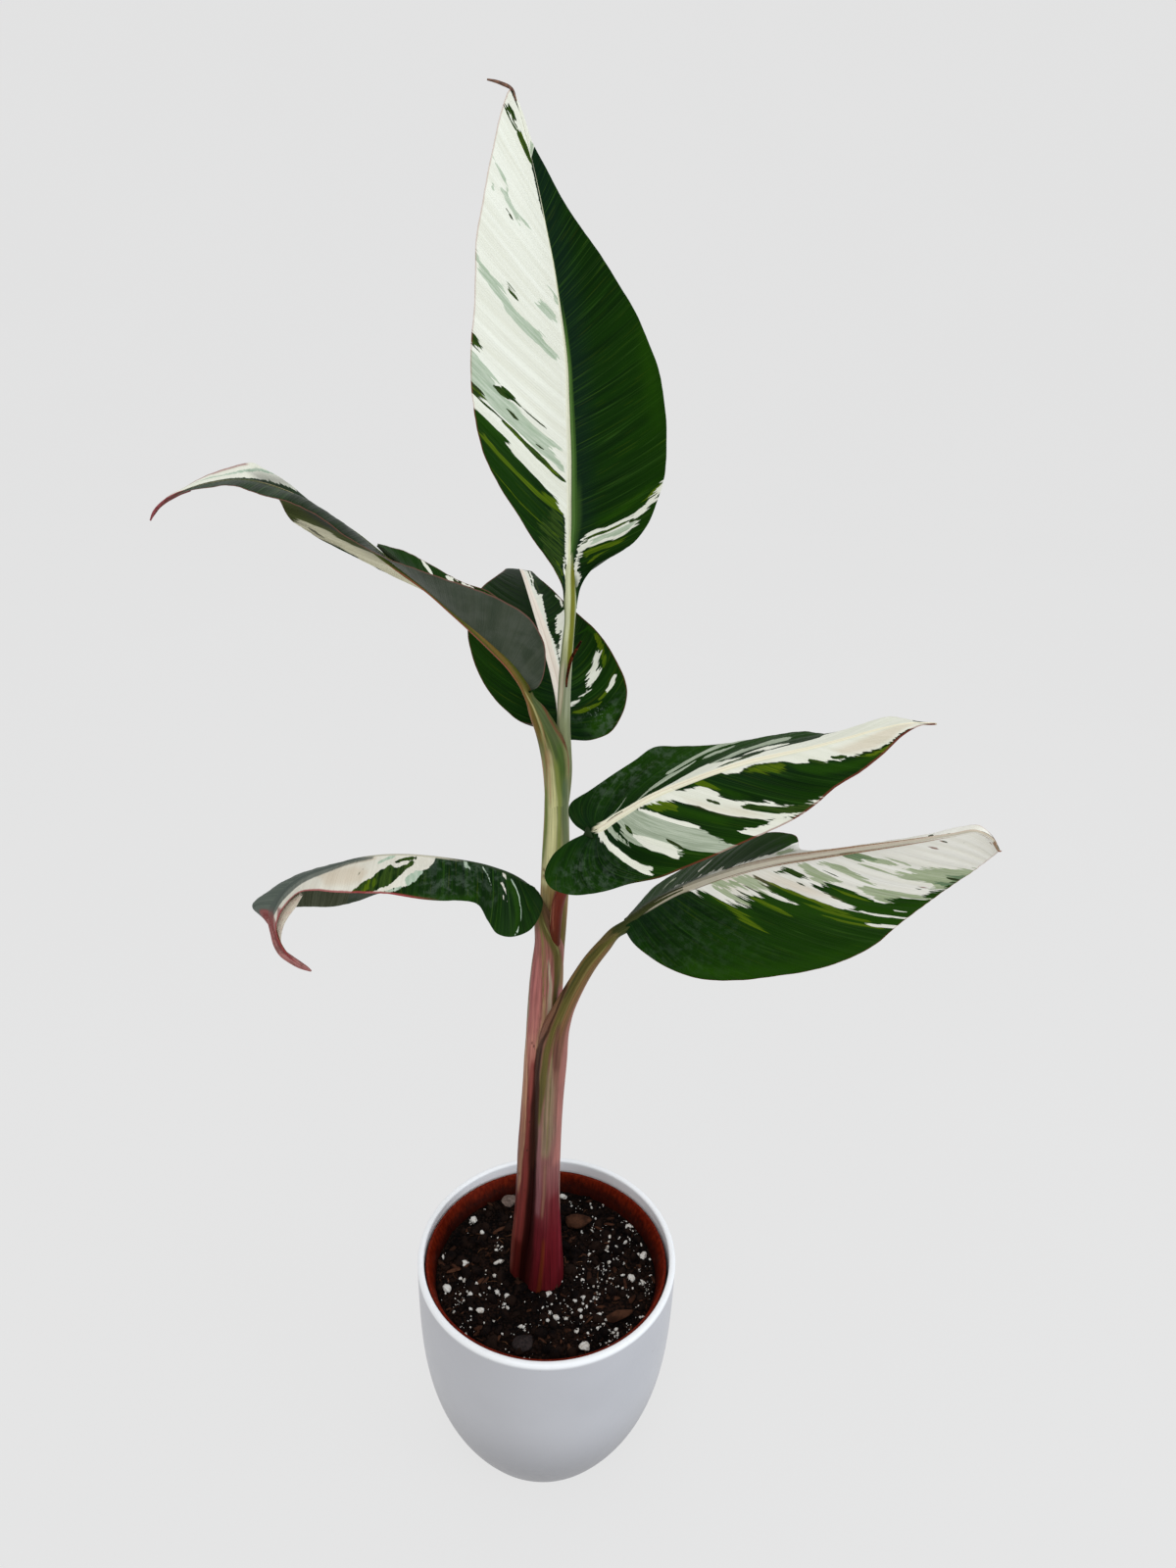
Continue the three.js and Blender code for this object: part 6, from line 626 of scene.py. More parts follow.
# colours of the stems: the ground colour by mm along the path, then strokes of (colour, strength, [(mm along, across, half width), ...])
PAINT = {}
PAINT["CORE"] = ([(0.0, (70, 20, 20)), (230.3, (108, 58, 38)), (255.2, (116, 74, 42)), (271.4, (150, 116, 74)), (281.2, (146, 126, 78)), (293.9, (164, 160, 110)), (318.2, (148, 148, 100)), (336.8, (124, 128, 84)), (346.6, (116, 122, 74))], [
    ((196, 148, 120), 0.6, [(303.8, -0.99, 0.073), (318.2, -1.02, 0.078), (336.8, -1.09, 0.102)]),
    ((104, 122, 52), 0.8, [(295.7, -0.96, 0.092), (303.8, -0.88, 0.102), (318.2, -0.82, 0.110), (332.1, -0.90, 0.098)]),
    ((206, 203, 150), 0.9, [(284.7, -0.72, 0.210), (293.9, -0.56, 0.282), (303.8, -0.40, 0.365), (318.2, -0.23, 0.392), (326.9, -0.28, 0.367), (336.8, -0.42, 0.275), (343.1, -0.65, 0.206)]),
    ((176, 140, 104), 0.6, [(325.2, -0.48, 0.040), (332.1, -0.49, 0.098), (343.1, -0.82, 0.124)]),
    ((150, 104, 72), 0.55, [(329.8, -0.73, 0.041), (339.1, -0.83, 0.046)]),
    ((166, 150, 100), 0.5, [(327.5, -0.24, 0.033), (336.8, -0.34, 0.039), (346.6, -0.97, 0.055)]),
    ((176, 176, 112), 0.5, [(303.8, -0.11, 0.036), (318.2, -0.04, 0.039), (332.1, -0.17, 0.041)]),
    ((120, 132, 62), 0.75, [(303.2, 0.22, 0.146), (317.7, 0.27, 0.141), (325.2, 0.29, 0.182), (336.8, 0.13, 0.235), (346.0, -0.25, 0.271)]),
    ((74, 98, 42), 0.8, [(327.5, 0.62, 0.163), (337.9, 0.47, 0.233), (346.0, 0.19, 0.316)]),
    ((92, 110, 78), 0.75, [(303.2, 0.73, 0.218), (317.7, 0.67, 0.234), (325.2, 0.70, 0.243), (337.3, 0.67, 0.195)]),
    ((150, 160, 136), 0.45, [(304.9, 0.99, 0.059), (318.2, 0.94, 0.063), (332.7, 0.98, 0.065)]),
    ((134, 92, 60), 0.75, [(332.7, 1.10, 0.057), (344.9, 0.94, 0.131)]),
    ((112, 84, 44), 0.85, [(288.2, -0.84, 0.157), (291.0, -0.54, 0.084), (293.9, -1.09, 0.106)]),
    ((178, 166, 114), 0.75, [(267.3, -0.59, 0.210), (274.3, -0.58, 0.245), (281.2, -0.59, 0.245)]),
    ((122, 48, 30), 0.9, [(254.0, 0.34, 0.106), (261.0, 0.31, 0.210), (267.3, 0.28, 0.315), (274.8, 0.29, 0.385), (281.8, 0.28, 0.349)]),
    ((98, 88, 38), 0.85, [(243.0, 0.84, 0.283), (255.8, 0.74, 0.246), (266.2, 0.75, 0.192), (276.6, 0.70, 0.157)]),
])
PAINT["A"] = ([(14.2, (120, 126, 84)), (45.3, (140, 148, 112)), (58.4, (146, 152, 122)), (68.3, (168, 172, 130)), (78.8, (196, 200, 152)), (98.3, (176, 182, 136)), (113.4, (190, 194, 156)), (128.0, (176, 182, 140))], [
    ((120, 134, 98), 0.75, [(45.3, -1.07, 0.148), (58.4, -0.78, 0.153), (71.3, -0.87, 0.163), (82.7, -0.99, 0.235), (98.3, -0.89, 0.202), (104.0, -0.94, 0.220), (113.1, -0.99, 0.184), (128.0, -1.15, 0.232)]),
    ((212, 216, 176), 0.85, [(76.8, -0.25, 0.337), (86.7, -0.30, 0.442), (98.3, -0.32, 0.269), (104.0, -0.28, 0.366), (113.4, -0.17, 0.462), (128.0, -0.35, 0.580)]),
    ((84, 104, 46), 0.9, [(98.0, 0.96, 0.269), (104.0, 0.96, 0.366), (113.4, 0.84, 0.504), (128.0, 1.04, 0.696)]),
    ((40, 66, 22), 0.6, [(105.7, 0.38, 0.151), (113.4, 0.42, 0.151), (128.0, 0.50, 0.174)]),
    ((112, 114, 20), 0.95, [(66.7, 0.34, 0.190), (71.8, 0.56, 0.376), (79.0, 0.59, 0.500), (86.9, 0.48, 0.528), (100.4, 0.46, 0.318), (107.7, 0.47, 0.234)]),
    ((148, 146, 60), 0.6, [(70.0, 0.08, 0.097), (74.8, 0.16, 0.133), (82.7, -0.09, 0.127)]),
    ((176, 186, 158), 0.75, [(43.5, 1.15, 0.221), (52.3, 1.15, 0.224), (62.8, 1.15, 0.218), (73.1, 1.15, 0.214), (83.2, 1.15, 0.236), (98.3, 0.82, 0.175)]),
    ((206, 196, 168), 0.7, [(46.6, -0.70, 0.222), (58.4, -0.47, 0.260), (68.3, -0.51, 0.240)]),
    ((150, 120, 104), 0.5, [(45.7, -0.48, 0.067), (56.2, -0.21, 0.068), (64.6, -0.23, 0.071)]),
    ((112, 120, 92), 0.7, [(45.7, -0.03, 0.148), (58.4, 0.14, 0.137), (68.3, -0.11, 0.128)]),
    ((164, 170, 144), 0.5, [(45.3, 0.41, 0.222), (56.5, 0.55, 0.258), (65.2, 0.46, 0.236)]),
])
PAINT["C"] = ([(0.0, (150, 146, 100)), (23.8, (140, 140, 92)), (41.0, (122, 122, 76)), (53.4, (82, 84, 42)), (73.7, (94, 90, 42)), (100.3, (92, 90, 38)), (128.7, (82, 90, 34)), (144.3, (76, 88, 32)), (170.5, (64, 78, 32))], [
    ((160, 84, 64), 0.9, [(42.9, -1.08, 0.081), (55.0, -1.05, 0.094), (67.1, -0.74, 0.192), (74.5, -0.73, 0.206), (83.1, -0.65, 0.204), (91.7, -0.73, 0.212), (101.8, -0.70, 0.211), (114.3, -0.69, 0.231), (126.8, -0.62, 0.242), (138.1, -0.37, 0.255), (146.7, -0.98, 0.229)]),
    ((206, 150, 118), 0.5, [(49.9, -1.01, 0.084), (58.5, -0.90, 0.083), (68.7, -0.44, 0.163)]),
    ((84, 92, 26), 0.85, [(74.1, 0.83, 0.371), (81.9, 1.03, 0.426), (90.9, 1.15, 0.445), (101.8, 1.15, 0.493), (113.5, 1.15, 0.511), (124.8, 1.15, 0.504), (136.1, 1.15, 0.503), (145.9, 1.15, 0.461)]),
    ((50, 58, 18), 0.6, [(83.1, 1.09, 0.171), (92.8, 1.15, 0.180), (103.8, 1.15, 0.190), (115.5, 1.15, 0.182), (128.0, 1.15, 0.173), (140.8, 1.15, 0.160)]),
    ((122, 96, 46), 0.7, [(49.2, -0.73, 0.247), (58.9, -0.63, 0.315), (68.7, -0.62, 0.509), (79.2, -0.28, 0.421), (88.2, 0.19, 0.395), (99.5, 0.49, 0.394), (112.3, 0.75, 0.380)]),
    ((168, 160, 110), 0.75, [(45.3, -0.34, 0.122), (51.5, -0.29, 0.104), (58.9, -0.11, 0.095), (65.9, 0.09, 0.130), (72.2, -0.16, 0.123)]),
    ((196, 186, 142), 0.65, [(33.5, -0.34, 0.216), (43.7, -0.24, 0.149)]),
    ((150, 140, 84), 0.6, [(37.8, -0.44, 0.046), (46.0, -0.46, 0.046), (53.4, -0.44, 0.045)]),
    ((150, 116, 80), 0.55, [(28.9, -0.50, 0.037), (41.7, -0.48, 0.044), (51.5, -0.21, 0.052), (61.2, 0.15, 0.058)]),
    ((78, 92, 56), 0.85, [(30.8, 0.47, 0.257), (38.6, 0.38, 0.320), (46.4, 0.40, 0.429), (55.0, 0.47, 0.424), (62.8, 0.59, 0.384), (69.4, 0.82, 0.356)]),
    ((62, 78, 36), 0.6, [(32.4, 0.41, 0.109), (39.8, 0.28, 0.122), (46.8, 0.18, 0.118), (54.2, 0.13, 0.093)]),
    ((120, 130, 70), 0.5, [(35.9, 0.02, 0.050), (44.9, 0.05, 0.046), (53.4, 0.05, 0.045)]),
    ((112, 70, 50), 0.8, [(37.8, 1.04, 0.057), (41.7, 1.11, 0.080), (46.0, 0.98, 0.070), (51.1, 0.89, 0.065), (57.7, 0.89, 0.066), (64.4, 1.11, 0.089), (69.8, 1.15, 0.122)]),
    ((96, 44, 22), 0.7, [(40.2, 1.02, 0.057), (42.9, 1.03, 0.081), (45.3, 0.97, 0.061)]),
    ((196, 148, 120), 0.6, [(9.8, -1.11, 0.085), (28.9, -0.99, 0.097), (38.6, -0.96, 0.107)]),
    ((104, 122, 52), 0.8, [(9.8, -0.89, 0.119), (24.2, -0.86, 0.094)]),
    ((206, 203, 150), 0.9, [(0.0, -0.55, 0.456), (9.8, -0.26, 0.425), (18.3, -0.29, 0.364), (28.9, -0.35, 0.262), (36.3, -0.33, 0.177)]),
    ((176, 140, 104), 0.6, [(16.8, -0.50, 0.041), (24.2, -0.47, 0.094), (36.3, -0.47, 0.106), (44.1, -0.31, 0.150)]),
    ((150, 104, 72), 0.55, [(21.8, -0.72, 0.040), (31.2, -0.70, 0.044), (43.3, -0.56, 0.052)]),
    ((166, 150, 100), 0.5, [(19.1, -0.25, 0.032), (28.9, -0.28, 0.037), (41.3, -0.26, 0.043)]),
    ((176, 176, 112), 0.5, [(0.0, -0.18, 0.046), (9.8, -0.04, 0.043), (24.2, -0.15, 0.039)]),
    ((120, 132, 62), 0.75, [(0.0, 0.23, 0.182), (8.6, 0.30, 0.154), (16.8, 0.28, 0.184), (28.9, 0.17, 0.225), (38.2, 0.15, 0.213)]),
    ((74, 98, 42), 0.8, [(19.1, 0.60, 0.161), (29.6, 0.51, 0.223), (37.8, 0.49, 0.248), (45.6, 0.68, 0.231)]),
    ((92, 110, 78), 0.75, [(8.6, 0.73, 0.257), (16.8, 0.69, 0.245), (28.5, 0.70, 0.188)]),
    ((150, 160, 136), 0.45, [(9.8, 1.02, 0.068), (23.8, 0.95, 0.063)]),
    ((134, 92, 60), 0.75, [(23.8, 1.06, 0.055), (35.1, 1.01, 0.107), (42.5, 1.15, 0.073)]),
])
PAINT["E"] = ([(35.0, (80, 24, 22)), (72.3, (80, 25, 20)), (106.8, (94, 36, 30)), (133.4, (116, 58, 48)), (152.5, (136, 74, 62)), (171.1, (160, 98, 84)), (201.0, (170, 114, 102)), (229.4, (164, 102, 98)), (262.1, (132, 92, 74)), (279.3, (96, 84, 50))], [
    ((148, 142, 112), 0.75, [(183.7, -0.96, 0.087), (202.8, -1.01, 0.076), (217.3, -0.96, 0.075), (235.9, -1.01, 0.072), (255.5, -1.15, 0.090)]),
    ((176, 136, 106), 0.7, [(158.1, -0.80, 0.149), (176.3, -0.86, 0.176), (193.0, -1.05, 0.116)]),
    ((156, 118, 92), 0.6, [(100.3, -0.81, 0.093), (116.6, -0.79, 0.154), (143.2, -0.72, 0.180), (164.1, -0.84, 0.148)]),
    ((178, 110, 106), 0.55, [(203.3, -0.46, 0.116), (217.8, -0.44, 0.116), (236.4, -0.56, 0.121), (249.0, -0.81, 0.134), (263.5, -0.67, 0.186)]),
    ((142, 80, 80), 0.5, [(201.4, -0.76, 0.076), (217.3, -0.73, 0.075), (235.9, -0.80, 0.072), (257.4, -1.03, 0.078)]),
    ((118, 50, 46), 0.75, [(68.1, -0.58, 0.287), (96.5, -0.51, 0.281), (113.3, -0.47, 0.215), (143.2, -0.39, 0.195), (172.1, -0.48, 0.176), (187.4, -0.40, 0.145)]),
    ((120, 112, 62), 0.75, [(211.2, 0.10, 0.046), (223.4, -0.05, 0.046), (236.4, -0.20, 0.048), (251.3, -0.43, 0.055), (267.6, -0.35, 0.088)]),
    ((128, 120, 72), 0.65, [(222.4, 0.16, 0.035), (236.4, -0.02, 0.039), (250.9, -0.27, 0.041), (262.5, -0.35, 0.050)]),
    ((120, 72, 60), 0.6, [(197.2, -0.09, 0.032), (207.5, -0.06, 0.038), (222.4, -0.15, 0.032), (237.3, -0.33, 0.033)]),
    ((174, 144, 110), 0.65, [(191.2, -0.23, 0.087), (198.2, -0.19, 0.145), (205.2, -0.06, 0.174), (212.2, 0.03, 0.145), (223.8, 0.03, 0.105)]),
    ((184, 176, 150), 0.8, [(203.8, 0.12, 0.087), (211.2, 0.30, 0.116), (221.0, 0.33, 0.116), (232.2, 0.28, 0.095), (245.3, 0.05, 0.064)]),
    ((86, 84, 38), 0.9, [(217.3, 0.58, 0.116), (227.5, 0.60, 0.146), (237.3, 0.64, 0.188), (248.5, 0.56, 0.233), (256.0, 0.36, 0.250), (262.5, 0.11, 0.298), (269.0, -0.04, 0.372), (274.6, 0.03, 0.360)]),
    ((150, 150, 92), 0.5, [(248.1, 0.69, 0.033), (254.6, 0.54, 0.044), (262.1, 0.32, 0.053), (269.5, 0.11, 0.059)]),
    ((118, 104, 52), 0.7, [(228.0, 0.93, 0.117), (238.3, 0.85, 0.122), (247.6, 0.72, 0.099)]),
    ((132, 80, 60), 0.75, [(228.5, 1.11, 0.082), (242.5, 1.03, 0.063)]),
    ((190, 150, 116), 0.5, [(106.3, -0.75, 0.037), (139.4, -0.63, 0.036), (171.6, -0.71, 0.035), (194.4, -0.86, 0.029)]),
    ((106, 40, 36), 0.5, [(96.1, -0.63, 0.050), (132.9, -0.56, 0.048), (158.1, -0.62, 0.042), (182.8, -0.69, 0.035)]),
    ((130, 70, 58), 0.5, [(42.0, -1.01, 0.130), (62.9, -0.96, 0.128), (82.1, -0.88, 0.095)]),
    ((50, 18, 12), 0.95, [(38.2, -0.17, 0.261), (56.0, -0.01, 0.354), (76.0, 0.06, 0.396), (100.7, 0.09, 0.342), (113.8, 0.02, 0.292), (133.4, -0.09, 0.242), (152.5, -0.19, 0.179), (172.1, -0.21, 0.159), (182.8, -0.23, 0.146), (194.9, -0.19, 0.110), (201.9, 0.14, 0.081)]),
    ((48, 22, 10), 0.85, [(117.0, 0.07, 0.153), (139.9, -0.06, 0.121), (158.5, -0.12, 0.119), (173.9, -0.11, 0.088), (193.5, -0.01, 0.058)]),
    ((32, 6, 5), 0.85, [(28.9, -0.15, 0.263), (50.4, -0.11, 0.258), (61.6, -0.02, 0.256), (79.3, 0.03, 0.253), (100.3, 0.03, 0.187), (120.3, 0.05, 0.153)]),
    ((58, 36, 26), 0.9, [(213.1, -0.18, 0.043), (213.6, -0.24, 0.043)]),
    ((58, 36, 26), 0.9, [(212.2, -0.14, 0.044), (212.6, -0.20, 0.043)]),
    ((58, 36, 26), 0.9, [(204.7, -0.50, 0.044), (205.2, -0.56, 0.044)]),
    ((58, 36, 26), 0.9, [(206.1, -0.35, 0.044), (206.6, -0.41, 0.044)]),
    ((58, 36, 26), 0.9, [(199.1, -0.37, 0.044), (199.6, -0.43, 0.044)]),
    ((58, 36, 26), 0.9, [(197.7, -0.25, 0.044), (198.2, -0.30, 0.044)]),
    ((58, 36, 26), 0.9, [(195.4, -0.41, 0.044), (196.3, -0.46, 0.044)]),
    ((58, 36, 26), 0.9, [(197.2, -0.54, 0.044), (197.7, -0.60, 0.044)]),
    ((58, 36, 26), 0.9, [(162.7, -0.54, 0.044), (163.7, -0.60, 0.044)]),
    ((58, 36, 26), 0.9, [(149.2, -0.37, 0.045), (150.1, -0.43, 0.045)]),
    ((58, 36, 26), 0.9, [(130.6, -0.36, 0.046), (131.5, -0.42, 0.046)]),
    ((58, 36, 26), 0.9, [(103.5, -0.36, 0.047), (104.4, -0.42, 0.046)]),
    ((58, 36, 26), 0.9, [(112.8, -0.81, 0.046), (113.3, -0.87, 0.046)]),
])
PAINT["F"] = ([(32.4, (82, 20, 22)), (64.7, (86, 20, 26)), (84.4, (92, 28, 34)), (106.0, (108, 52, 54)), (125.7, (128, 82, 80)), (154.8, (132, 98, 86)), (192.3, (122, 84, 70)), (218.6, (120, 82, 64)), (243.9, (118, 94, 58)), (260.3, (112, 92, 54)), (280.5, (96, 86, 50)), (281.0, (60, 66, 32))], [
    ((86, 84, 36), 0.85, [(142.1, -0.78, 0.107), (160.9, -0.65, 0.170), (181.1, -0.46, 0.255), (191.8, -0.39, 0.204), (201.7, -0.41, 0.194), (211.1, -0.30, 0.210), (220.9, -0.21, 0.292), (232.7, -0.34, 0.324), (247.2, -0.51, 0.341), (260.8, -0.54, 0.369), (273.0, -0.37, 0.344), (281.0, 0.12, 0.321)]),
    ((56, 62, 26), 0.6, [(234.5, -0.63, 0.071), (246.7, -0.70, 0.091), (259.9, -0.78, 0.086), (271.1, -0.68, 0.081)]),
    ((134, 126, 72), 0.5, [(217.2, 0.09, 0.054), (232.2, 0.01, 0.069), (247.7, -0.00, 0.080), (262.2, -0.10, 0.087), (274.9, -0.05, 0.085)]),
    ((118, 88, 54), 0.75, [(209.2, 0.13, 0.137), (219.5, 0.33, 0.202), (231.7, 0.37, 0.267), (247.2, 0.41, 0.284), (261.7, 0.37, 0.272), (275.8, 0.48, 0.289)]),
    ((162, 106, 98), 0.82, [(129.5, 0.77, 0.289), (152.4, 0.91, 0.278), (181.5, 0.81, 0.286), (193.3, 0.89, 0.314), (208.3, 1.05, 0.339), (222.8, 1.15, 0.347), (233.6, 1.15, 0.353), (248.1, 1.15, 0.343), (261.7, 1.15, 0.309), (274.4, 1.15, 0.282)]),
    ((142, 124, 98), 0.72, [(135.1, -0.12, 0.288), (152.4, 0.04, 0.348), (180.1, 0.05, 0.256), (191.4, 0.03, 0.125), (201.2, -0.01, 0.065)]),
    ((96, 62, 52), 0.7, [(191.4, 0.34, 0.156), (202.6, 0.17, 0.228), (212.0, 0.07, 0.212), (220.9, -0.02, 0.167)]),
    ((108, 102, 58), 0.6, [(137.0, 0.02, 0.039), (152.4, 0.04, 0.042), (167.5, 0.08, 0.040), (181.1, 0.06, 0.041), (195.6, -0.02, 0.035), (213.0, -0.04, 0.039)]),
    ((130, 124, 84), 0.45, [(152.4, -0.24, 0.042), (173.6, -0.17, 0.039), (192.3, -0.20, 0.031)]),
    ((132, 90, 94), 0.6, [(95.2, -0.52, 0.170), (109.8, -0.52, 0.218), (135.1, -0.62, 0.216), (154.8, -0.63, 0.138)]),
    ((132, 98, 78), 0.6, [(95.2, -0.18, 0.088), (112.6, -0.10, 0.117), (129.0, -0.06, 0.108)]),
    ((104, 44, 20), 0.78, [(39.9, -0.18, 0.108), (52.5, -0.07, 0.102), (64.7, -0.02, 0.096), (79.3, -0.02, 0.090)]),
    ((98, 22, 30), 0.6, [(46.0, 0.59, 0.426), (65.2, 0.59, 0.426), (84.9, 0.62, 0.378), (108.4, 0.64, 0.290)]),
    ((128, 40, 50), 0.5, [(56.8, 0.88, 0.050), (77.9, 0.91, 0.059), (99.4, 0.92, 0.070)]),
    ((70, 20, 22), 0.6, [(45.0, -0.59, 0.142), (55.8, -0.55, 0.123), (71.8, -0.53, 0.113)]),
    # painted highlight: the pale line along the right edge of the stem
    ((198, 152, 140), 0.55, [(92.4, 1.07, 0.053), (116.3, 1.03, 0.073), (148.7, 1.14, 0.070), (180.6, 1.04, 0.064), (213.4, 1.01, 0.072)]),
    ((50, 16, 14), 0.9, [(45.0, -0.78, 0.142), (63.8, -0.78, 0.184), (95.2, -0.92, 0.238), (129.0, -0.93, 0.217), (160.9, -0.82, 0.170), (182.0, -0.79, 0.127)]),
    ((58, 34, 18), 0.88, [(122.4, -0.88, 0.109), (142.1, -0.86, 0.142), (160.9, -0.85, 0.136), (180.6, -0.81, 0.128), (191.4, -0.86, 0.156), (199.3, -0.86, 0.141), (206.9, -0.81, 0.100), (214.4, -0.61, 0.080), (225.6, -0.69, 0.073), (240.2, -0.98, 0.129), (242.5, -0.97, 0.143)]),
    ((48, 22, 10), 0.85, [(125.7, -0.93, 0.181), (148.2, -0.93, 0.141), (167.0, -0.87, 0.134), (182.5, -0.79, 0.095), (203.1, -0.75, 0.065)]),
    ((32, 6, 5), 0.85, [(39.4, -0.95, 0.187), (59.1, -0.98, 0.202), (69.4, -0.98, 0.222), (87.7, -1.01, 0.257), (109.3, -1.03, 0.218), (129.0, -0.93, 0.181)]),
    ((70, 40, 24), 0.8, [(198.9, 0.49, 0.045), (199.3, 0.43, 0.045)]),
    ((70, 40, 24), 0.8, [(148.2, 0.05, 0.049), (148.7, -0.01, 0.049)]),
    ((70, 40, 24), 0.8, [(135.6, 0.52, 0.050), (136.0, 0.46, 0.050)]),
    ((70, 40, 24), 0.8, [(167.0, -0.51, 0.047), (167.5, -0.56, 0.047)]),
    ((70, 40, 24), 0.8, [(159.9, 0.55, 0.048), (160.4, 0.49, 0.048)]),
])
PAINT["D"] = ([(0.0, (80, 34, 18)), (14.9, (86, 36, 18)), (33.8, (104, 42, 27)), (53.9, (116, 48, 32)), (64.0, (92, 50, 30)), (74.5, (40, 52, 24)), (79.7, (30, 48, 22))], [
    ((158, 96, 70), 0.5, [(18.5, -0.30, 0.100), (29.5, -0.58, 0.113), (40.4, -0.85, 0.097)]),
    ((92, 30, 20), 0.6, [(15.0, 0.43, 0.171), (30.2, 0.45, 0.242), (44.0, -0.08, 0.243)]),
    ((176, 150, 104), 0.7, [(21.9, -1.00, 0.164), (32.6, -1.15, 0.209)]),
])

# ------------------------------------------------------------------ numbers
def grid_hash(i, j, seed):
    n = (i.astype(np.int64) * 374761393 + j.astype(np.int64) * 668265263 + seed * 1442695041) & 0xFFFFFFFF
    n = ((n ^ (n >> 13)) * 1274126177) & 0xFFFFFFFF
    return ((n ^ (n >> 16)) & 0xFFFFFF) / float(0xFFFFFF)


def vnoise(x, y, seed):
    """smooth noise from 0 to 1 over the plane"""
    x, y = np.broadcast_arrays(np.asarray(x, float), np.asarray(y, float))
    i, j = np.floor(x), np.floor(y)
    u, v = x - i, y - j
    u, v = u * u * (3 - 2 * u), v * v * (3 - 2 * v)
    a, b = grid_hash(i, j, seed), grid_hash(i + 1, j, seed)
    c, d = grid_hash(i, j + 1, seed), grid_hash(i + 1, j + 1, seed)
    return (a * (1 - u) + b * u) * (1 - v) + (c * (1 - u) + d * u) * v


def fbm(x, y, seed, octaves=4):
    total, amp, size = 0.0, 0.5, 0.0
    for k in range(octaves):
        total = total + amp * vnoise(x * 2**k, y * 2**k, seed + 17 * k)
        size += amp
        amp *= 0.5
    return total / size


def smooth(a, b, x):
    t = np.clip((x - a) / (b - a), 0, 1)
    return t * t * (3 - 2 * t)


def unit(v):
    return v / np.maximum(np.linalg.norm(v, axis=-1, keepdims=True), 1e-12)


# ------------------------------------------------------------------ meshes
class Shell:
    """collects vertices, faces and named vertex numbers of one piece"""

    def __init__(self):
        self.v, self.f, self.m, self.data = [], [], [], {}
        self.count = 0
        self.uv = []

    def add(self, verts, faces, material, uv=None, **data):
        verts = np.asarray(verts, float).reshape(-1, 3)
        faces = [tuple(int(k) + self.count for k in f) for f in faces]
        n = len(verts)
        for key, value in data.items():
            if key not in self.data:
                self.data[key] = [np.zeros(self.count)] if self.count else []
            self.data[key].append(np.broadcast_to(np.asarray(value, float), (n,)).ravel() if np.ndim(value) == 0 else np.asarray(value, float).ravel())
        for key in self.data:
            if key not in data:
                self.data[key].append(np.zeros(n))
        self.v.append(verts)
        self.f.extend(faces)
        if np.ndim(material) == 0:
            self.m.extend([material] * len(faces))
        else:
            self.m.extend(list(material))
        self.uv.append(np.zeros((n, 2)) if uv is None else np.asarray(uv, float).reshape(-1, 2))
        self.count += n

    def piece(self, name, materials, body="root", sharp=50, weld=0.012, keep_uv=False):
        me = bpy.data.meshes.new(name)
        v = np.concatenate(self.v) * MM
        me.from_pydata(v.tolist(), [], self.f)
        me.update()
        for key, parts in self.data.items():
            a = me.attributes.new(key, "FLOAT", "POINT")
            a.data.foreach_set("value", np.concatenate(parts).astype(np.float32))
        for mat in materials:
            me.materials.append(mat)
        me.polygons.foreach_set("material_index", np.array(self.m, np.int32))
        if keep_uv:
            layer = me.uv_layers.new(name="OFBake")
            uv = np.concatenate(self.uv)
            loops = np.zeros(len(me.loops), np.int32)
            me.loops.foreach_get("vertex_index", loops)
            layer.data.foreach_set("uv", uv[loops].astype(np.float32).ravel())
        bm = bmesh.new()
        bm.from_mesh(me)
        if weld:
            bmesh.ops.remove_doubles(bm, verts=bm.verts, dist=weld * MM)
        bmesh.ops.dissolve_degenerate(bm, edges=bm.edges, dist=1e-7)
        bmesh.ops.recalc_face_normals(bm, faces=bm.faces)
        bm.to_mesh(me)
        bm.free()
        me.validate()
        me.polygons.foreach_set("use_smooth", np.ones(len(me.polygons), bool))
        if sharp:
            me.set_sharp_from_angle(angle=math.radians(sharp))
        me.update()
        ob = bpy.data.objects.new(name, me)
        bpy.context.scene.collection.objects.link(ob)
        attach(ob, body)
        return ob


def grid_faces(n, m, base=0, flip=False, wrap=False):
    out = []
    cols = m if wrap else m - 1
    for i in range(n - 1):
        for j in range(cols):
            a = base + i * m + j
            b = base + i * m + (j + 1) % m
            c = base + (i + 1) * m + (j + 1) % m
            d = base + (i + 1) * m + j
            out.append((a, d, c, b) if flip else (a, b, c, d))
    return out


# ------------------------------------------------------------------ leaf marks
def poly_distance(px, py, poly):
    """signed distance to a closed outline, positive inside"""
    q = np.asarray(poly, float)
    best = np.full(px.shape, 1e9)
    inside = np.zeros(px.shape, bool)
    for (x0, y0), (x1, y1) in zip(q, np.roll(q, -1, 0)):
        dx, dy = x1 - x0, y1 - y0
        t = np.clip(((px - x0) * dx + (py - y0) * dy) / max(dx * dx + dy * dy, 1e-12), 0, 1)
        best = np.minimum(best, (px - x0 - t * dx) ** 2 + (py - y0 - t * dy) ** 2)
        cross = (y0 > py) != (y1 > py)
        with np.errstate(divide="ignore", invalid="ignore"):
            at = x0 + (py - y0) * dx / (dy if dy else 1e-12)
        inside ^= cross & (px < at)
    d = np.sqrt(best)
    return np.where(inside, d, -d)


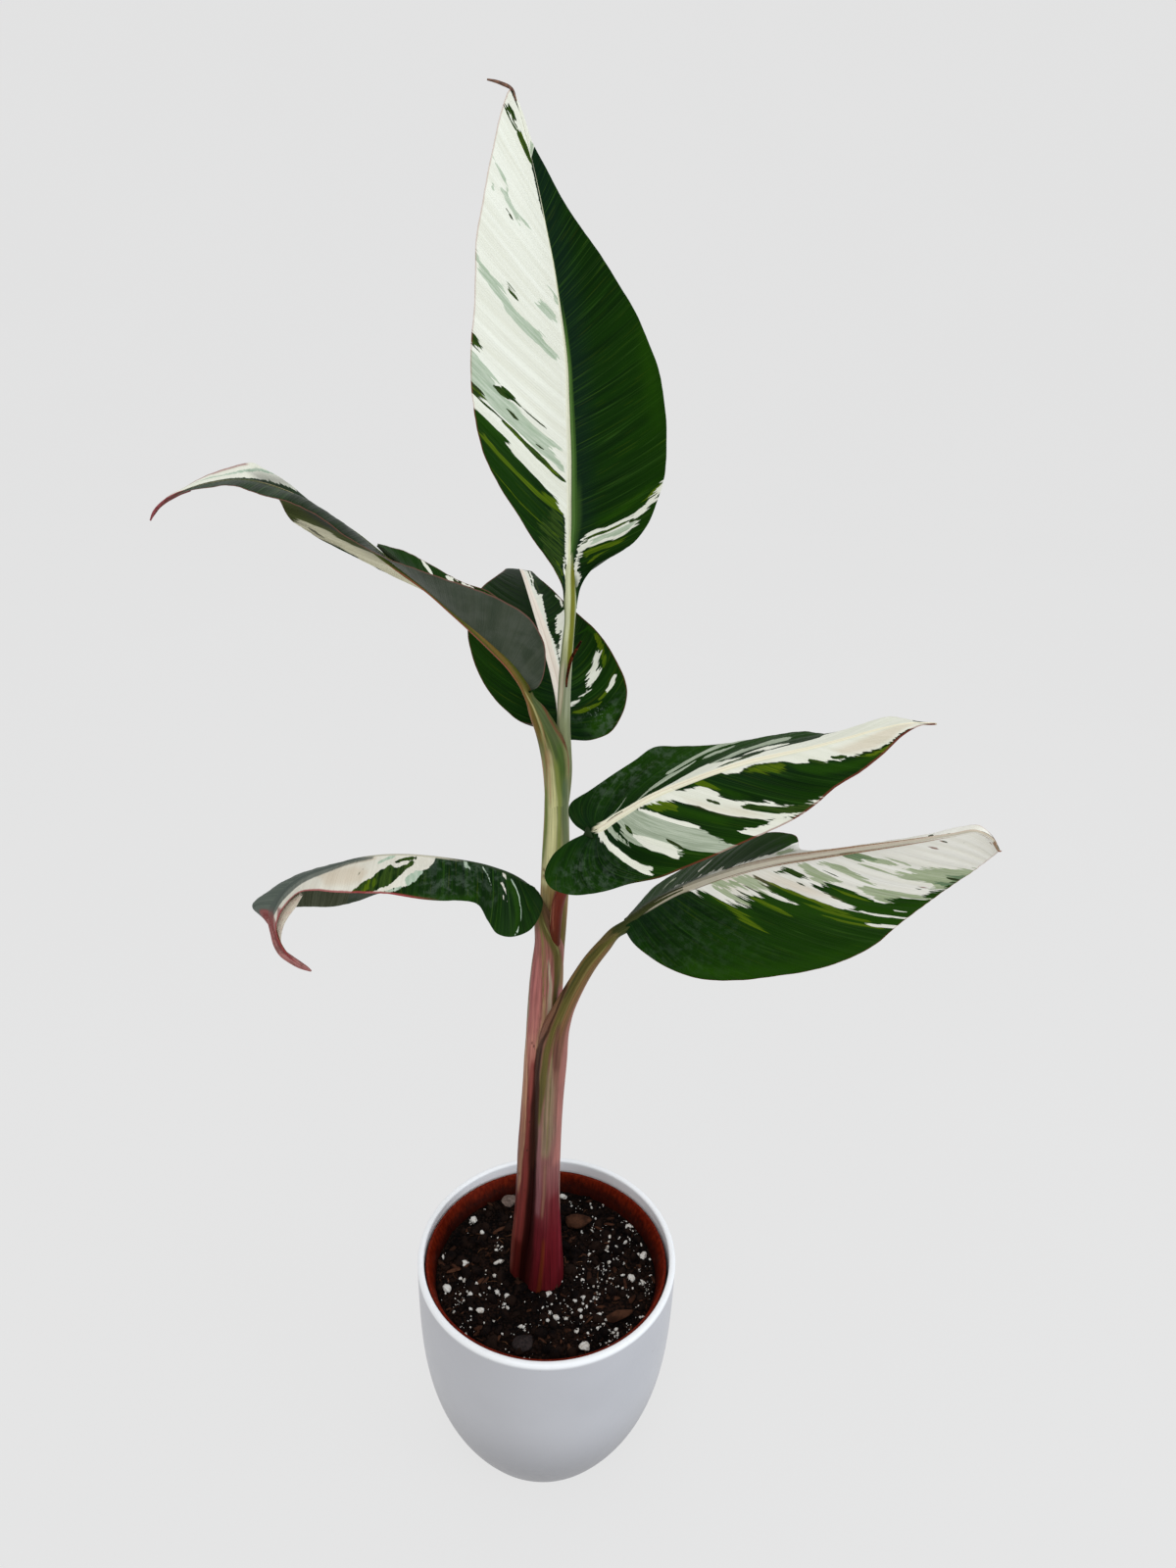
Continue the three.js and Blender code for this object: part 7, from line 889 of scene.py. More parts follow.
def line_distance(px, py, line, half):
    """half width minus the distance to an open line, tapered at both ends"""
    q = np.asarray(line, float)
    seg = np.sqrt((np.diff(q, axis=0) ** 2).sum(1))
    at = np.concatenate([[0], np.cumsum(seg)])
    best = np.full(px.shape, -1e9)
    for k in range(len(q) - 1):
        (x0, y0), (x1, y1) = q[k], q[k + 1]
        dx, dy = x1 - x0, y1 - y0
        t = np.clip(((px - x0) * dx + (py - y0) * dy) / max(dx * dx + dy * dy, 1e-12), 0, 1)
        d = np.sqrt((px - x0 - t * dx) ** 2 + (py - y0 - t * dy) ** 2)
        f = (at[k] + t * seg[k]) / max(at[-1], 1e-9)
        w = half * (0.25 + 0.75 * np.clip(np.minimum(f, 1 - f) * 6, 0, 1))
        best = np.maximum(best, w - d)
    return best


# mark kinds Q and H paint sheen, a painted reflection, and N paints shade
MARK_KINDS = ("W", "S", "G", "K", "Y", "L", "T", "D", "B", "R", "U", "V", "H", "P", "Q", "N")
END_KINDS = ("W", "S", "G", "D", "Y", "U")
ALONG = 5.0  # a mark's edge wanders this much more along the veins than across them
HALF = 45.0


def mark_fields(marks, S, R, part, W, slant):
    X, Y = S, R * HALF / ALONG
    out = {"m" + k: np.full(S.shape, -9.0) for k in MARK_KINDS}
    for kind, where, side, width, pts in marks:
        if where != part:
            continue
        q = [(s, r * HALF / ALONG) for s, r in pts]
        d = poly_distance(X, Y, q) if width == 0 else 3.0 * line_distance(X, Y, q, width / 2)
        if side:
            d = np.where((R > 1e-6) if side == "a" else (R < -1e-6), -9.0, d)
        out["m" + kind] = np.maximum(out["m" + kind], d)
    # how fast each field changes along the veins: edges are ragged there and clean beside a vein
    for kind in END_KINDS:
        d = np.clip(out["m" + kind], -6, 6)
        g = np.zeros(S.shape)
        if S.shape[1] > 2:
            dy = np.maximum(Y[:, 2:] - Y[:, :-2], 1e-3)
            along_s = np.gradient(d, axis=0) / np.maximum(np.gradient(S, axis=0), 1e-3)
            g[:, 1:-1] = (d[:, 2:] - d[:, :-2]) / dy
            g[:, 0], g[:, -1] = g[:, 1], g[:, -2]
            g = np.abs(g + slant * np.sign(R) * along_s * W * ALONG / HALF)
        out["g" + kind] = np.clip(g, 0, 1) * (out["m" + kind] > -8)
    return out


# ------------------------------------------------------------------ leaf blades
def hermite(P, t, q):
    """smooth curve through the rows of P at parameters t, read at q"""
    n = len(t)
    h = np.diff(t)
    shape = (-1,) + (1,) * (P.ndim - 1)
    d = np.diff(P, axis=0) / h.reshape(shape)
    m = np.empty_like(P)
    m[0], m[-1] = d[0], d[-1]
    w0, w1 = h[:-1].reshape(shape), h[1:].reshape(shape)
    m[1:-1] = (d[1:] * w0 + d[:-1] * w1) / (w0 + w1)
    k = np.clip(np.searchsorted(t, q, side="right") - 1, 0, n - 2)
    u = ((q - t[k]) / h[k]).reshape(shape)
    hk = h[k].reshape(shape)
    return (
        (2 * u**3 - 3 * u**2 + 1) * P[k]
        + (u**3 - 2 * u**2 + u) * hk * m[k]
        + (-2 * u**3 + 3 * u**2) * P[k + 1]
        + (u**3 - u**2) * hk * m[k + 1]
    )


def along(P):
    """how far along the blade each station is, as the mean path of its points"""
    step = np.sqrt((np.diff(P, axis=0) ** 2).sum(2)).mean(1)
    return np.concatenate([[0.0], np.cumsum(np.maximum(step, 0.05))])


def vein(M, Q, E, r):
    """points on the veins that run from the midrib M through Q to the margin E"""
    C = 2 * Q - (M + E) / 2
    r = r[..., None]
    return (1 - r) ** 2 * M[:, None] + 2 * r * (1 - r) * C[:, None] + r**2 * E[:, None]


INNER = np.array([0, 0.45, 0.9, 1.35, 1.85, 2.4, 3.1, 4.1, 5.6])


def columns(W, outer):
    """distances from the midrib, mm, per row: dense at the midrib and at the margin"""
    k = np.minimum(1.0, W / 13.0)[:, None]
    inner = INNER[None] * k
    a = inner[:, -1:]
    b = (W[:, None] - 0.7 * np.minimum(1, W[:, None] / 8))
    f = (np.arange(1, outer + 1) / outer)[None] ** 0.95
    mid = a + (b - a) * f
    end = np.concatenate([W[:, None] - 0.28 * np.minimum(1, W[:, None] / 8), W[:, None]], 1)
    return np.concatenate([inner, mid, end], 1)


def corrugation(S, X, W, seed):
    a = np.abs(X)
    amp = smooth(2.0, 13.0, a) * np.clip(W / 18.0, 0, 1)
    edge = smooth(0.0, 5.0, W - a)
    side = np.where(X < 0, 11, 0)
    wander = vnoise(S / 9.0, side + 0 * S, seed) * 1.1
    broad = np.sin(2 * np.pi * (S / 7.6 + wander)) * (0.4 + 0.6 * vnoise(S / 13.0, a / 30.0 + side, seed + 1))
    fine = np.sin(2 * np.pi * (S / 2.3 + 1.3 * vnoise(S / 5.0, side + 0 * S, seed + 5)))
    roll = fbm(S / 34.0, X / 26.0, seed + 9, 3) - 0.5
    return amp * (0.20 * broad + 0.045 * fine) * (0.5 + 0.5 * edge) + 1.1 * roll * smooth(3.0, 16.0, a) * np.clip(W / 18.0, 0, 1)


def rib_radius(q, radii):
    f = q / q[-1]
    return np.interp(f, np.linspace(0, 1, len(radii)), radii)


def normals_of(P, up):
    du, dv = np.gradient(P, axis=0), np.gradient(P, axis=1)
    n = np.cross(du, dv) * up
    ln = np.linalg.norm(n, axis=2)
    n = n / np.maximum(ln, 1e-12)[..., None]
    for i in range(len(P)):
        bad = ln[i] < 1e-7
        if bad.all():
            n[i] = n[i - 1] if i else 0
        elif bad.any():
            n[i][bad] = unit(n[i][~bad].mean(0))
    return n


def blade(shell, stations, up, ribs, seed, marks, part, step, lift=0.0, ridge=1.0, uvbox=(0, 0, 1, 1), half=False, outer=13, slant=(0.0, 0.0)):
    """adds one closed sheet: the upper face is material 0 and the lower face material 1.
    stations: rows of [midrib, halfway a, margin a, halfway b, margin b], or with half [midrib, halfway, margin]"""
    st = np.asarray(stations, float)
    t = along(st)
    n = max(int(t[-1] / step), 12)
    q = np.linspace(0, t[-1], n)
    G = hermite(st, t, q)
    M = G[:, 0]

    def wing(Q, E, sign):
        W = np.linalg.norm(E - M, axis=1) + 1e-4
        x = columns(W, outer)
        P = vein(M, Q, E, x / W[:, None])
        return P, x * sign, (x / W[:, None]) * sign, W[:, None] - x, np.broadcast_to(W[:, None], x.shape)

    if half:
        P, X, R, E, W = wing(G[:, 1], G[:, 2], 1.0)
    else:
        a, b = wing(G[:, 1], G[:, 2], -1.0), wing(G[:, 3], G[:, 4], 1.0)
        P, X, R, E, W = (np.concatenate([u[:, ::-1], v[:, 1:]], 1) for u, v in zip(a, b))
    S = np.broadcast_to(q[:, None], X.shape)
    # the veins lean towards the tip by this much per mm from the midrib
    lean = np.where(X < 0, slant[0], slant[1])
    V_ = S - lean * np.abs(X)
    N = normals_of(P, up)
    P = P + N * corrugation(V_, X, W, seed)[..., None]
    N = normals_of(P, up)
    P = P + N * lift
    rr = rib_radius(q, ribs)[:, None]
    a = np.abs(X)
    thick = 0.17 * np.clip(0.35 + E / 1.4, 0, 1)
    top = thick + rr * ridge * (0.26 * np.exp(-(((a - 0.85 * rr) / (0.38 * rr)) ** 2)) - 0.10 * np.exp(-((a / (0.5 * rr)) ** 2)))
    bottom = thick + ridge * 1.45 * rr * np.clip(1 - (a / (1.3 * rr)) ** 2, 0, 1) ** 0.8
    fields = mark_fields(marks, S, R, part, W, lean)
    rows, cols = X.shape
    u0, v0, u1, v1 = uvbox
    uu = np.broadcast_to((u0 + (u1 - u0) * (q / q[-1]))[:, None], X.shape)
    cc = np.broadcast_to((np.arange(cols) / (cols - 1))[None], X.shape)
    # across: by real distance
    wide = np.abs(X).max()
    across = (X + wide) / (2 * wide) if not half else X / wide
    vt = v0 + (v1 - v0) * (0.01 + 0.47 * across)
    vb = v0 + (v1 - v0) * (0.52 + 0.47 * across)
    k = rows * cols
    V = np.concatenate([(P + N * top[..., None]).reshape(-1, 3), (P - N * bottom[..., None]).reshape(-1, 3)])
    flip = up > 0
    F = grid_faces(rows, cols, 0, flip=flip) + grid_faces(rows, cols, k, flip=not flip)
    mats = [0] * ((rows - 1) * (cols - 1)) + [1] * ((rows - 1) * (cols - 1))

    def rim(idx):
        out = []
        for p, r in zip(idx[:-1], idx[1:]):
            out.append((p, r, r + k, p + k) if flip else (p, p + k, r + k, r))
        return out

    edge = []
    edge += rim([i * cols for i in range(rows)][::-1])
    edge += rim([i * cols + cols - 1 for i in range(rows)])
    edge += rim([j for j in range(cols)])
    edge += rim([(rows - 1) * cols + j for j in range(cols)][::-1])
    F += edge
    mats += [0] * len(edge)
    two = lambda z: np.concatenate([np.asarray(z).ravel(), np.asarray(z).ravel()])
    uv = np.stack([two(uu), np.concatenate([vt.ravel(), vb.ravel()])], 1)
    data = {key: two(val) for key, val in fields.items()}
    shell.add(V, F, mats, uv=uv, s=two(V_), sm=two(S), x=two(X), e=two(E), rr=two(np.broadcast_to(rr, X.shape)), **data)
    return q, M, N[:, np.argmin(np.abs(X[0]))], rr[:, 0]


# ------------------------------------------------------------------ stems and petioles
def strokes_colour(table, s, sx, seed):
    """linear colours of stem vertices: the ground colour along the path with the strokes laid over it"""
    base, strokes = table
    at = [p for p, _ in base]
    lin = np.array([srgb(*c) for _, c in base])
    soft = s + 9.0 * (fbm(sx * 3.0, s / 30.0, seed, 3) - 0.5)
    col = np.stack([np.interp(soft, at, lin[:, i]) for i in range(3)], -1)
    jit = 0.10 * (fbm(s / 16.0, sx * 1.5, seed + 3, 3) - 0.5)
    for colour, strength, pts in strokes:
        p = np.array(pts)
        a, h = np.interp(s, p[:, 0], p[:, 1]), np.interp(s, p[:, 0], p[:, 2])
        fade = min(6.0, 0.5 * (p[-1, 0] - p[0, 0]) + 0.3)
        end = smooth(-0.5 * fade, 0.5 * fade, s - p[0, 0]) * smooth(-0.5 * fade, 0.5 * fade, p[-1, 0] - s)
        w = smooth(1.45, 0.55, np.abs(sx + jit * min(1.0, fade / 3) - a) / np.maximum(h, 0.035)) * end * strength
        col = col + (np.array(srgb(*colour)) - col) * w[..., None]
    return col


def sweep(shell, path, material, sides=40, step=1.2, front=(0, -1, 0), shape=None, caps=True, wobble=0.0, seed=0, uvbox=(0, 0, 1, 1), table=None):
    """a tube along [x, y, z, radius] points. sx runs from -1 at the left to 1 at the right, cx is 1 at the front and -1 at the back"""
    pts = np.asarray(path, float)
    t = np.concatenate([[0], np.cumsum(np.linalg.norm(np.diff(pts[:, :3], axis=0), axis=1))])
    n = max(int(t[-1] / step), 6)
    q = np.linspace(0, t[-1], n)
    C = hermite(pts, t, q)
    c, rad = C[:, :3], C[:, 3]
    tan = unit(np.gradient(c, axis=0))
    f = np.broadcast_to(np.asarray(front, float), c.shape)
    f = unit(f - tan * (f * tan).sum(1, keepdims=True))
    side = np.cross(tan, f)  # to the right as seen from the front, for a path that goes up
    phi = np.linspace(-1, 1, sides + 1)
    ang = phi * np.pi
    rr = np.broadcast_to(rad[:, None], (n, sides + 1)).copy()
    s = np.broadcast_to(q[:, None], rr.shape)
    ph = np.broadcast_to(phi[None], rr.shape)
    if shape is not None:
        rr = rr * shape(ph, s / q[-1])
    if wobble:
        rr = rr * (1 + wobble * (fbm(np.cos(ph * np.pi) * 2 + s / 28.0, np.sin(ph * np.pi) * 2 + s / 41.0, seed, 3) - 0.5))
    V = c[:, None] + f[:, None] * (rr * np.cos(ang))[..., None] + side[:, None] * (rr * np.sin(ang))[..., None]
    m = sides + 1
    F = grid_faces(n, m, 0, flip=True)
    u0, v0, u1, v1 = uvbox
    uv = np.stack([(u0 + (u1 - u0) * (ph + 1) / 2).ravel(), (v0 + (v1 - v0) * s / q[-1]).ravel()], 1)
    verts = V.reshape(-1, 3)
    data = {"s": s.ravel(), "sx": np.sin(ph * np.pi).ravel(), "cx": np.cos(ph * np.pi).ravel()}
    if table is not None:
        c3 = strokes_colour(table, s, np.sin(ph * np.pi), seed + 40)
        for i in range(3):
            data["c%d" % i] = c3[..., i].ravel()
    if caps:
        k = len(verts)
        verts = np.concatenate([verts, c[:1], c[-1:]])
        uv = np.concatenate([uv, uv[:1], uv[-1:]])
        for key in data:
            data[key] = np.concatenate([data[key], data[key][:1], data[key][-1:]])
        for j in range(sides):
            F.append((k, j + 1, j)[::-1])
            F.append((k + 1, (n - 1) * m + j, (n - 1) * m + j + 1)[::-1])
    shell.add(verts, F, material, uv=uv, **data)
    return c, rad

# ------------------------------------------------------------------ materials
class Nodes:
    """short names for the shader nodes of one material"""

    def __init__(self, name):
        self.mat = bpy.data.materials.new(name)
        self.mat.use_nodes = True
        self.t = self.mat.node_tree
        self.t.nodes.clear()
        self.out = self.t.nodes.new("ShaderNodeOutputMaterial")
        self.bsdf = self.t.nodes.new("ShaderNodeBsdfPrincipled")
        self.t.links.new(self.bsdf.outputs[0], self.out.inputs[0])
        self.cache = {}

    def put(self, socket, value):
        if value is None:
            return
        if isinstance(value, (int, float)):
            if hasattr(socket, "default_value") and hasattr(socket.default_value, "__len__"):
                socket.default_value = [value] * len(socket.default_value)
            else:
                socket.default_value = value
        elif isinstance(value, (tuple, list)):
            v = list(value)
            if len(socket.default_value) == 4 and len(v) == 3:
                v.append(1.0)
            socket.default_value = v
        else:
            self.t.links.new(value, socket)

    def attr(self, name):
        if name not in self.cache:
            n = self.t.nodes.new("ShaderNodeAttribute")
            n.attribute_type = "GEOMETRY"
            n.attribute_name = name
            self.cache[name] = n.outputs["Fac"]
        return self.cache[name]

    def pos(self, scale=1000.0):
        key = "pos%g" % scale
        if key not in self.cache:
            n = self.t.nodes.new("ShaderNodeTexCoord")
            m = self.t.nodes.new("ShaderNodeVectorMath")
            m.operation = "SCALE"
            self.t.links.new(n.outputs["Object"], m.inputs[0])
            m.inputs["Scale"].default_value = scale
            self.cache[key] = m.outputs[0]
        return self.cache[key]

    def xyz(self, v):
        n = self.t.nodes.new("ShaderNodeSeparateXYZ")
        self.put(n.inputs[0], v)
        return n.outputs[0], n.outputs[1], n.outputs[2]

    def normal_z(self):
        n = self.t.nodes.new("ShaderNodeNewGeometry")
        return self.xyz(n.outputs["Normal"])[2]

    def m(self, op, a, b=None, c=None, clamp=False):
        n = self.t.nodes.new("ShaderNodeMath")
        n.operation = op
        n.use_clamp = clamp
        self.put(n.inputs[0], a)
        self.put(n.inputs[1], b)
        if c is not None:
            self.put(n.inputs[2], c)
        return n.outputs[0]

    def add(self, a, b): return self.m("ADD", a, b)
    def sub(self, a, b): return self.m("SUBTRACT", a, b)
    def mul(self, a, b): return self.m("MULTIPLY", a, b)

    def vec(self, x, y, z):
        n = self.t.nodes.new("ShaderNodeCombineXYZ")
        for s, v in zip(n.inputs, (x, y, z)):
            self.put(s, v)
        return n.outputs[0]

    def noise(self, vector, scale=1.0, detail=2.0, rough=0.5, distort=0.0):
        n = self.t.nodes.new("ShaderNodeTexNoise")
        n.noise_dimensions = "3D"
        self.put(n.inputs["Vector"], vector)
        n.inputs["Scale"].default_value = scale
        n.inputs["Detail"].default_value = detail
        n.inputs["Roughness"].default_value = rough
        n.inputs["Distortion"].default_value = distort
        return n.outputs[0]

    def voronoi(self, vector, scale=1.0, feature="F1", rand=1.0):
        n = self.t.nodes.new("ShaderNodeTexVoronoi")
        n.feature = feature
        self.put(n.inputs["Vector"], vector)
        n.inputs["Scale"].default_value = scale
        n.inputs["Randomness"].default_value = rand
        return n

    def white(self, vector):
        n = self.t.nodes.new("ShaderNodeTexWhiteNoise")
        n.noise_dimensions = "3D"
        self.put(n.inputs["Vector"], vector)
        return n.outputs["Value"]

    def fit(self, v, a, b, c=0.0, d=1.0, kind="SMOOTHSTEP"):
        n = self.t.nodes.new("ShaderNodeMapRange")
        n.interpolation_type = kind
        self.put(n.inputs["Value"], v)
        for key, val in (("From Min", a), ("From Max", b), ("To Min", c), ("To Max", d)):
            self.put(n.inputs[key], val)
        return n.outputs[0]

    def mix(self, f, a, b, blend="MIX"):
        n = self.t.nodes.new("ShaderNodeMix")
        n.data_type = "RGBA"
        n.blend_type = blend
        n.clamp_factor = True
        self.put(n.inputs[0], f)
        self.put(n.inputs[6], a)
        self.put(n.inputs[7], b)
        return n.outputs[2]

    def ramp(self, f, stops, kind="LINEAR"):
        n = self.t.nodes.new("ShaderNodeValToRGB")
        n.color_ramp.interpolation = kind
        e = n.color_ramp.elements
        while len(e) < len(stops):
            e.new(0.5)
        for el, (p, c) in zip(e, stops):
            el.position = p
            el.color = (*c, 1.0)
        self.put(n.inputs[0], f)
        return n.outputs[0]

    def bump(self, height, distance, strength=1.0, normal=None):
        n = self.t.nodes.new("ShaderNodeBump")
        n.inputs["Strength"].default_value = strength
        n.inputs["Distance"].default_value = distance
        self.put(n.inputs["Height"], height)
        if normal is not None:
            self.t.links.new(normal, n.inputs["Normal"])
        return n.outputs[0]

    def finish(self, colour=None, rough=None, normal=None, **sockets):
        self.put(self.bsdf.inputs["Base Color"], colour)
        self.put(self.bsdf.inputs["Roughness"], rough)
        if normal is not None:
            self.t.links.new(normal, self.bsdf.inputs["Normal"])
        for key, val in sockets.items():
            self.put(self.bsdf.inputs[key.replace("_", " ")], val)
        return self.mat


def srgb(r, g, b):
    """0..255 display values to the linear values that shaders use"""
    out = []
    for c in (r, g, b):
        c = c / 255.0
        out.append(c / 12.92 if c <= 0.04045 else ((c + 0.055) / 1.055) ** 2.4)
    return tuple(out)


def leaf_face(name, seed, cfg):
    """upper face of a blade. cfg: colours and how the midrib is coloured"""
    k = Nodes(name)
    S, SM, X, E, RR = k.attr("s"), k.attr("sm"), k.attr("x"), k.attr("e"), k.attr("rr")
    A = k.m("ABSOLUTE", X)
    side = k.fit(X, -0.1, 0.1, 0.0, 40.0)
    lane = k.vec(k.mul(S, 1.0), k.mul(X, 0.03), seed * 3.7)
    fine = k.noise(k.vec(k.mul(S, 1.7), k.add(k.mul(A, 0.035), side), seed * 1.3), 1.0, 2.0, 0.6)
    band = k.noise(k.vec(k.mul(S, 0.30), k.add(k.mul(A, 0.012), side), seed * 2.1), 1.0, 2.0, 0.55)
    cell = k.noise(k.vec(k.mul(S, 0.95), k.add(k.mul(A, 0.085), side), seed * 4.9), 1.0, 2.0, 0.6)
    cell2 = k.noise(k.vec(k.mul(S, 1.5), k.add(k.mul(A, 0.055), side), seed * 7.7), 1.0, 1.0, 0.5)
    lanes = k.white(k.vec(k.m("FLOOR", k.mul(S, 1.6)), k.m("FLOOR", k.mul(side, 1.0)), seed))
    jag = k.add(k.mul(k.sub(cell, 0.5), 0.40), k.mul(k.sub(lanes, 0.5), 0.08))
    lanes2 = k.white(k.vec(k.m("FLOOR", k.add(k.mul(S, 0.8), k.mul(cell, 1.5))), k.m("FLOOR", k.mul(side, 1.0)), seed + 0.5))
    teeth = k.add(k.add(k.mul(k.sub(cell, 0.5), 0.5), k.mul(k.sub(lanes2, 0.5), 0.9)), k.add(k.mul(k.sub(cell2, 0.5), 0.5), k.mul(k.sub(lanes, 0.5), 0.8)))
    teeth = k.mul(k.mul(teeth, cfg.get("teeth", 1.0)), k.fit(A, 1.0, 8.0, 0.12, 1.0))
    jag = k.mul(jag, k.fit(A, 0.5, 4.0, 0.4, 1.0))
    vein_n = k.noise(k.vec(k.mul(S, 0.50), k.add(k.mul(A, 0.006), side), seed * 5.3), 1.0, 1.0, 0.5)
    thin = k.fit(k.m("ABSOLUTE", k.sub(vein_n, 0.5)), 0.020, 0.0)

    def mask(kind, soft=0.10, extra=0.0):
        d = k.add(k.add(k.attr("m" + kind), jag), extra)
        if kind in END_KINDS:
            d = k.add(d, k.mul(teeth, k.attr("g" + kind)))
        return k.fit(d, -soft, soft)

    # green tissue
    g = k.mix(k.fit(band, 0.30, 0.70), cfg["green_dark"], cfg["green"])
    g = k.mix(k.mul(k.fit(A, cfg.get("glow_from", 12.0), cfg.get("glow_to", 42.0)), cfg.get("glow", 0.5)), g, cfg["green_edge"])
    # painted reflection: towards the midrib the green turns a bluish dark green, standing in for the reflection of the
    # bright surroundings
    g = k.mix(k.mul(k.fit(A, cfg.get("near_to", 15.0), 3.0), cfg.get("near", 0.3)), g, cfg["green_near"])
    g = k.mix(k.mul(k.fit(fine, 0.52, 0.74), cfg.get("fine_f", 0.20)), g, cfg["green_line"])
    g = k.mix(k.mul(thin, 0.50), g, cfg["green_line"])
    g = k.mix(k.mul(k.fit(fine, 0.50, 0.25), cfg.get("deep_f", 0.32)), g, cfg["green_deep"])
    g = k.mix(k.mul(k.fit(cell2, 0.66, 0.70), cfg.get("yellow_lines", 0.16)), g, cfg["yellow"])
    g = k.mix(k.mul(mask("L", 0.9), 0.7), g, k.mix(k.fit(fine, 0.35, 0.65), cfg["light"], cfg["green_edge"]))
    g = k.mix(k.mul(mask("Y", 0.25), 0.85), g, k.mix(k.fit(fine, 0.35, 0.65), cfg["yellow"], cfg["yellow2"]))
    # pale tissue
    c = k.mix(k.fit(band, 0.25, 0.75), cfg["cream"], cfg["cream2"])
    c = k.mix(k.mul(k.fit(fine, 0.52, 0.75), 0.22), c, cfg["cream_line"])
    c = k.mix(k.mul(thin, 0.25), c, cfg["cream_line"])
    sage = k.mix(k.fit(cell, 0.35, 0.65), cfg["sage"], cfg["sage2"])
    sage = k.mix(k.mul(k.fit(fine, 0.50, 0.70), 0.35), sage, cfg["sage_line"])
    deep_sage = k.mix(k.fit(fine, 0.35, 0.65), cfg["deep_sage"], cfg["sage_line"])
    dark = k.mix(k.fit(fine, 0.35, 0.65), srgb(30, 50, 16), srgb(56, 80, 26))
    col = k.mix(mask("W"), g, c)
    col = k.mix(k.mul(mask("T", 1.1), 0.38), col, cfg["tan"])
    col = k.mix(mask("S"), col, sage)
    col = k.mix(mask("D"), col, deep_sage)
    col = k.mix(mask("V"), col, c)
    col = k.mix(mask("G"), col, k.mix(k.fit(cell, 0.52, 0.60), dark, g))
    col = k.mix(k.mul(mask("B", 0.6), 0.8), col, cfg["brown"])
    col = k.mix(mask("K", 0.08), col, srgb(44, 58, 26))
    film = k.voronoi(k.pos(), 1.1)
    col = k.mix(k.mul(k.mul(mask("R", 1.5), k.fit(film.outputs["Distance"], 0.30, 0.18)), 0.5), col, srgb(150, 170, 150))
    # painted sheen: H marks turn the colour slate grey-green, a painted soft reflection
    painted_sheen_slate = k.mix(k.fit(fine, 0.35, 0.65), srgb(78, 87, 80), srgb(98, 106, 98))
    col = k.mix(k.mul(mask("H", 0.5), 0.92), col, painted_sheen_slate)
    pink = k.mix(k.fit(fine, 0.35, 0.65), srgb(150, 86, 84), srgb(128, 62, 64))
    col = k.mix(k.mul(mask("P", 0.9), 0.8), col, pink)
    # painted sheen: Q marks pull the colour towards pale grey-green, a painted reflection of the bright surroundings
    col = k.mix(k.mul(k.mul(mask("Q", 4.0), k.fit(k.noise(k.pos(), 0.30, 4.0, 0.65), 0.44, 0.64)), cfg.get("painted_sheen", 0.17)), col, srgb(104, 118, 106))
    # painted shade: N marks darken the colour towards near black green
    col = k.mix(k.mul(mask("N", 3.0), 0.6), col, srgb(8, 20, 5))
    # midrib
    if cfg.get("rib") is not None:
        col = cfg["rib"](k, col, SM, X, A, RR, fine)
    # thin coloured margin
    m_edge = k.add(E, k.mul(k.sub(k.noise(k.vec(k.mul(S, 0.25), side, seed), 1.0, 2.0), 0.5), 0.5))
    m_part = k.mul(k.fit(m_edge, cfg.get("margin_w", 0.75), cfg.get("margin_w", 0.75) * 0.35), cfg.get("margin_f", 0.8))
    m_part = k.mul(m_part, k.fit(SM, *cfg.get("margin_from", (3.0, 9.0))))
    m_part = k.mul(m_part, k.fit(X, -0.5, 0.5, 1.0, cfg.get("margin_b", 1.0)))
    col = k.mix(m_part, col, cfg["margin"])
    h = k.add(k.mul(fine, 0.6), k.mul(k.m("SINE", k.mul(S, 2 * math.pi / 1.05)), 0.22))
    h = k.mul(h, k.fit(A, 1.0, 5.0, 0.25, 1.0))
    n = k.bump(h, 0.00011, 0.9)
    pores = k.noise(k.pos(), 2.2, 3.0, 0.6)
    n = k.bump(pores, 0.00005, 0.6, n)
    rough = k.fit(k.add(k.mul(fine, 0.5), k.mul(pores, 0.5)), 0.3, 0.7, cfg.get("rough", 0.38) - 0.05, cfg.get("rough", 0.38) + 0.09, "LINEAR")
    return k.finish(col, rough, n, Specular_IOR_Level=cfg.get("spec", 0.06))


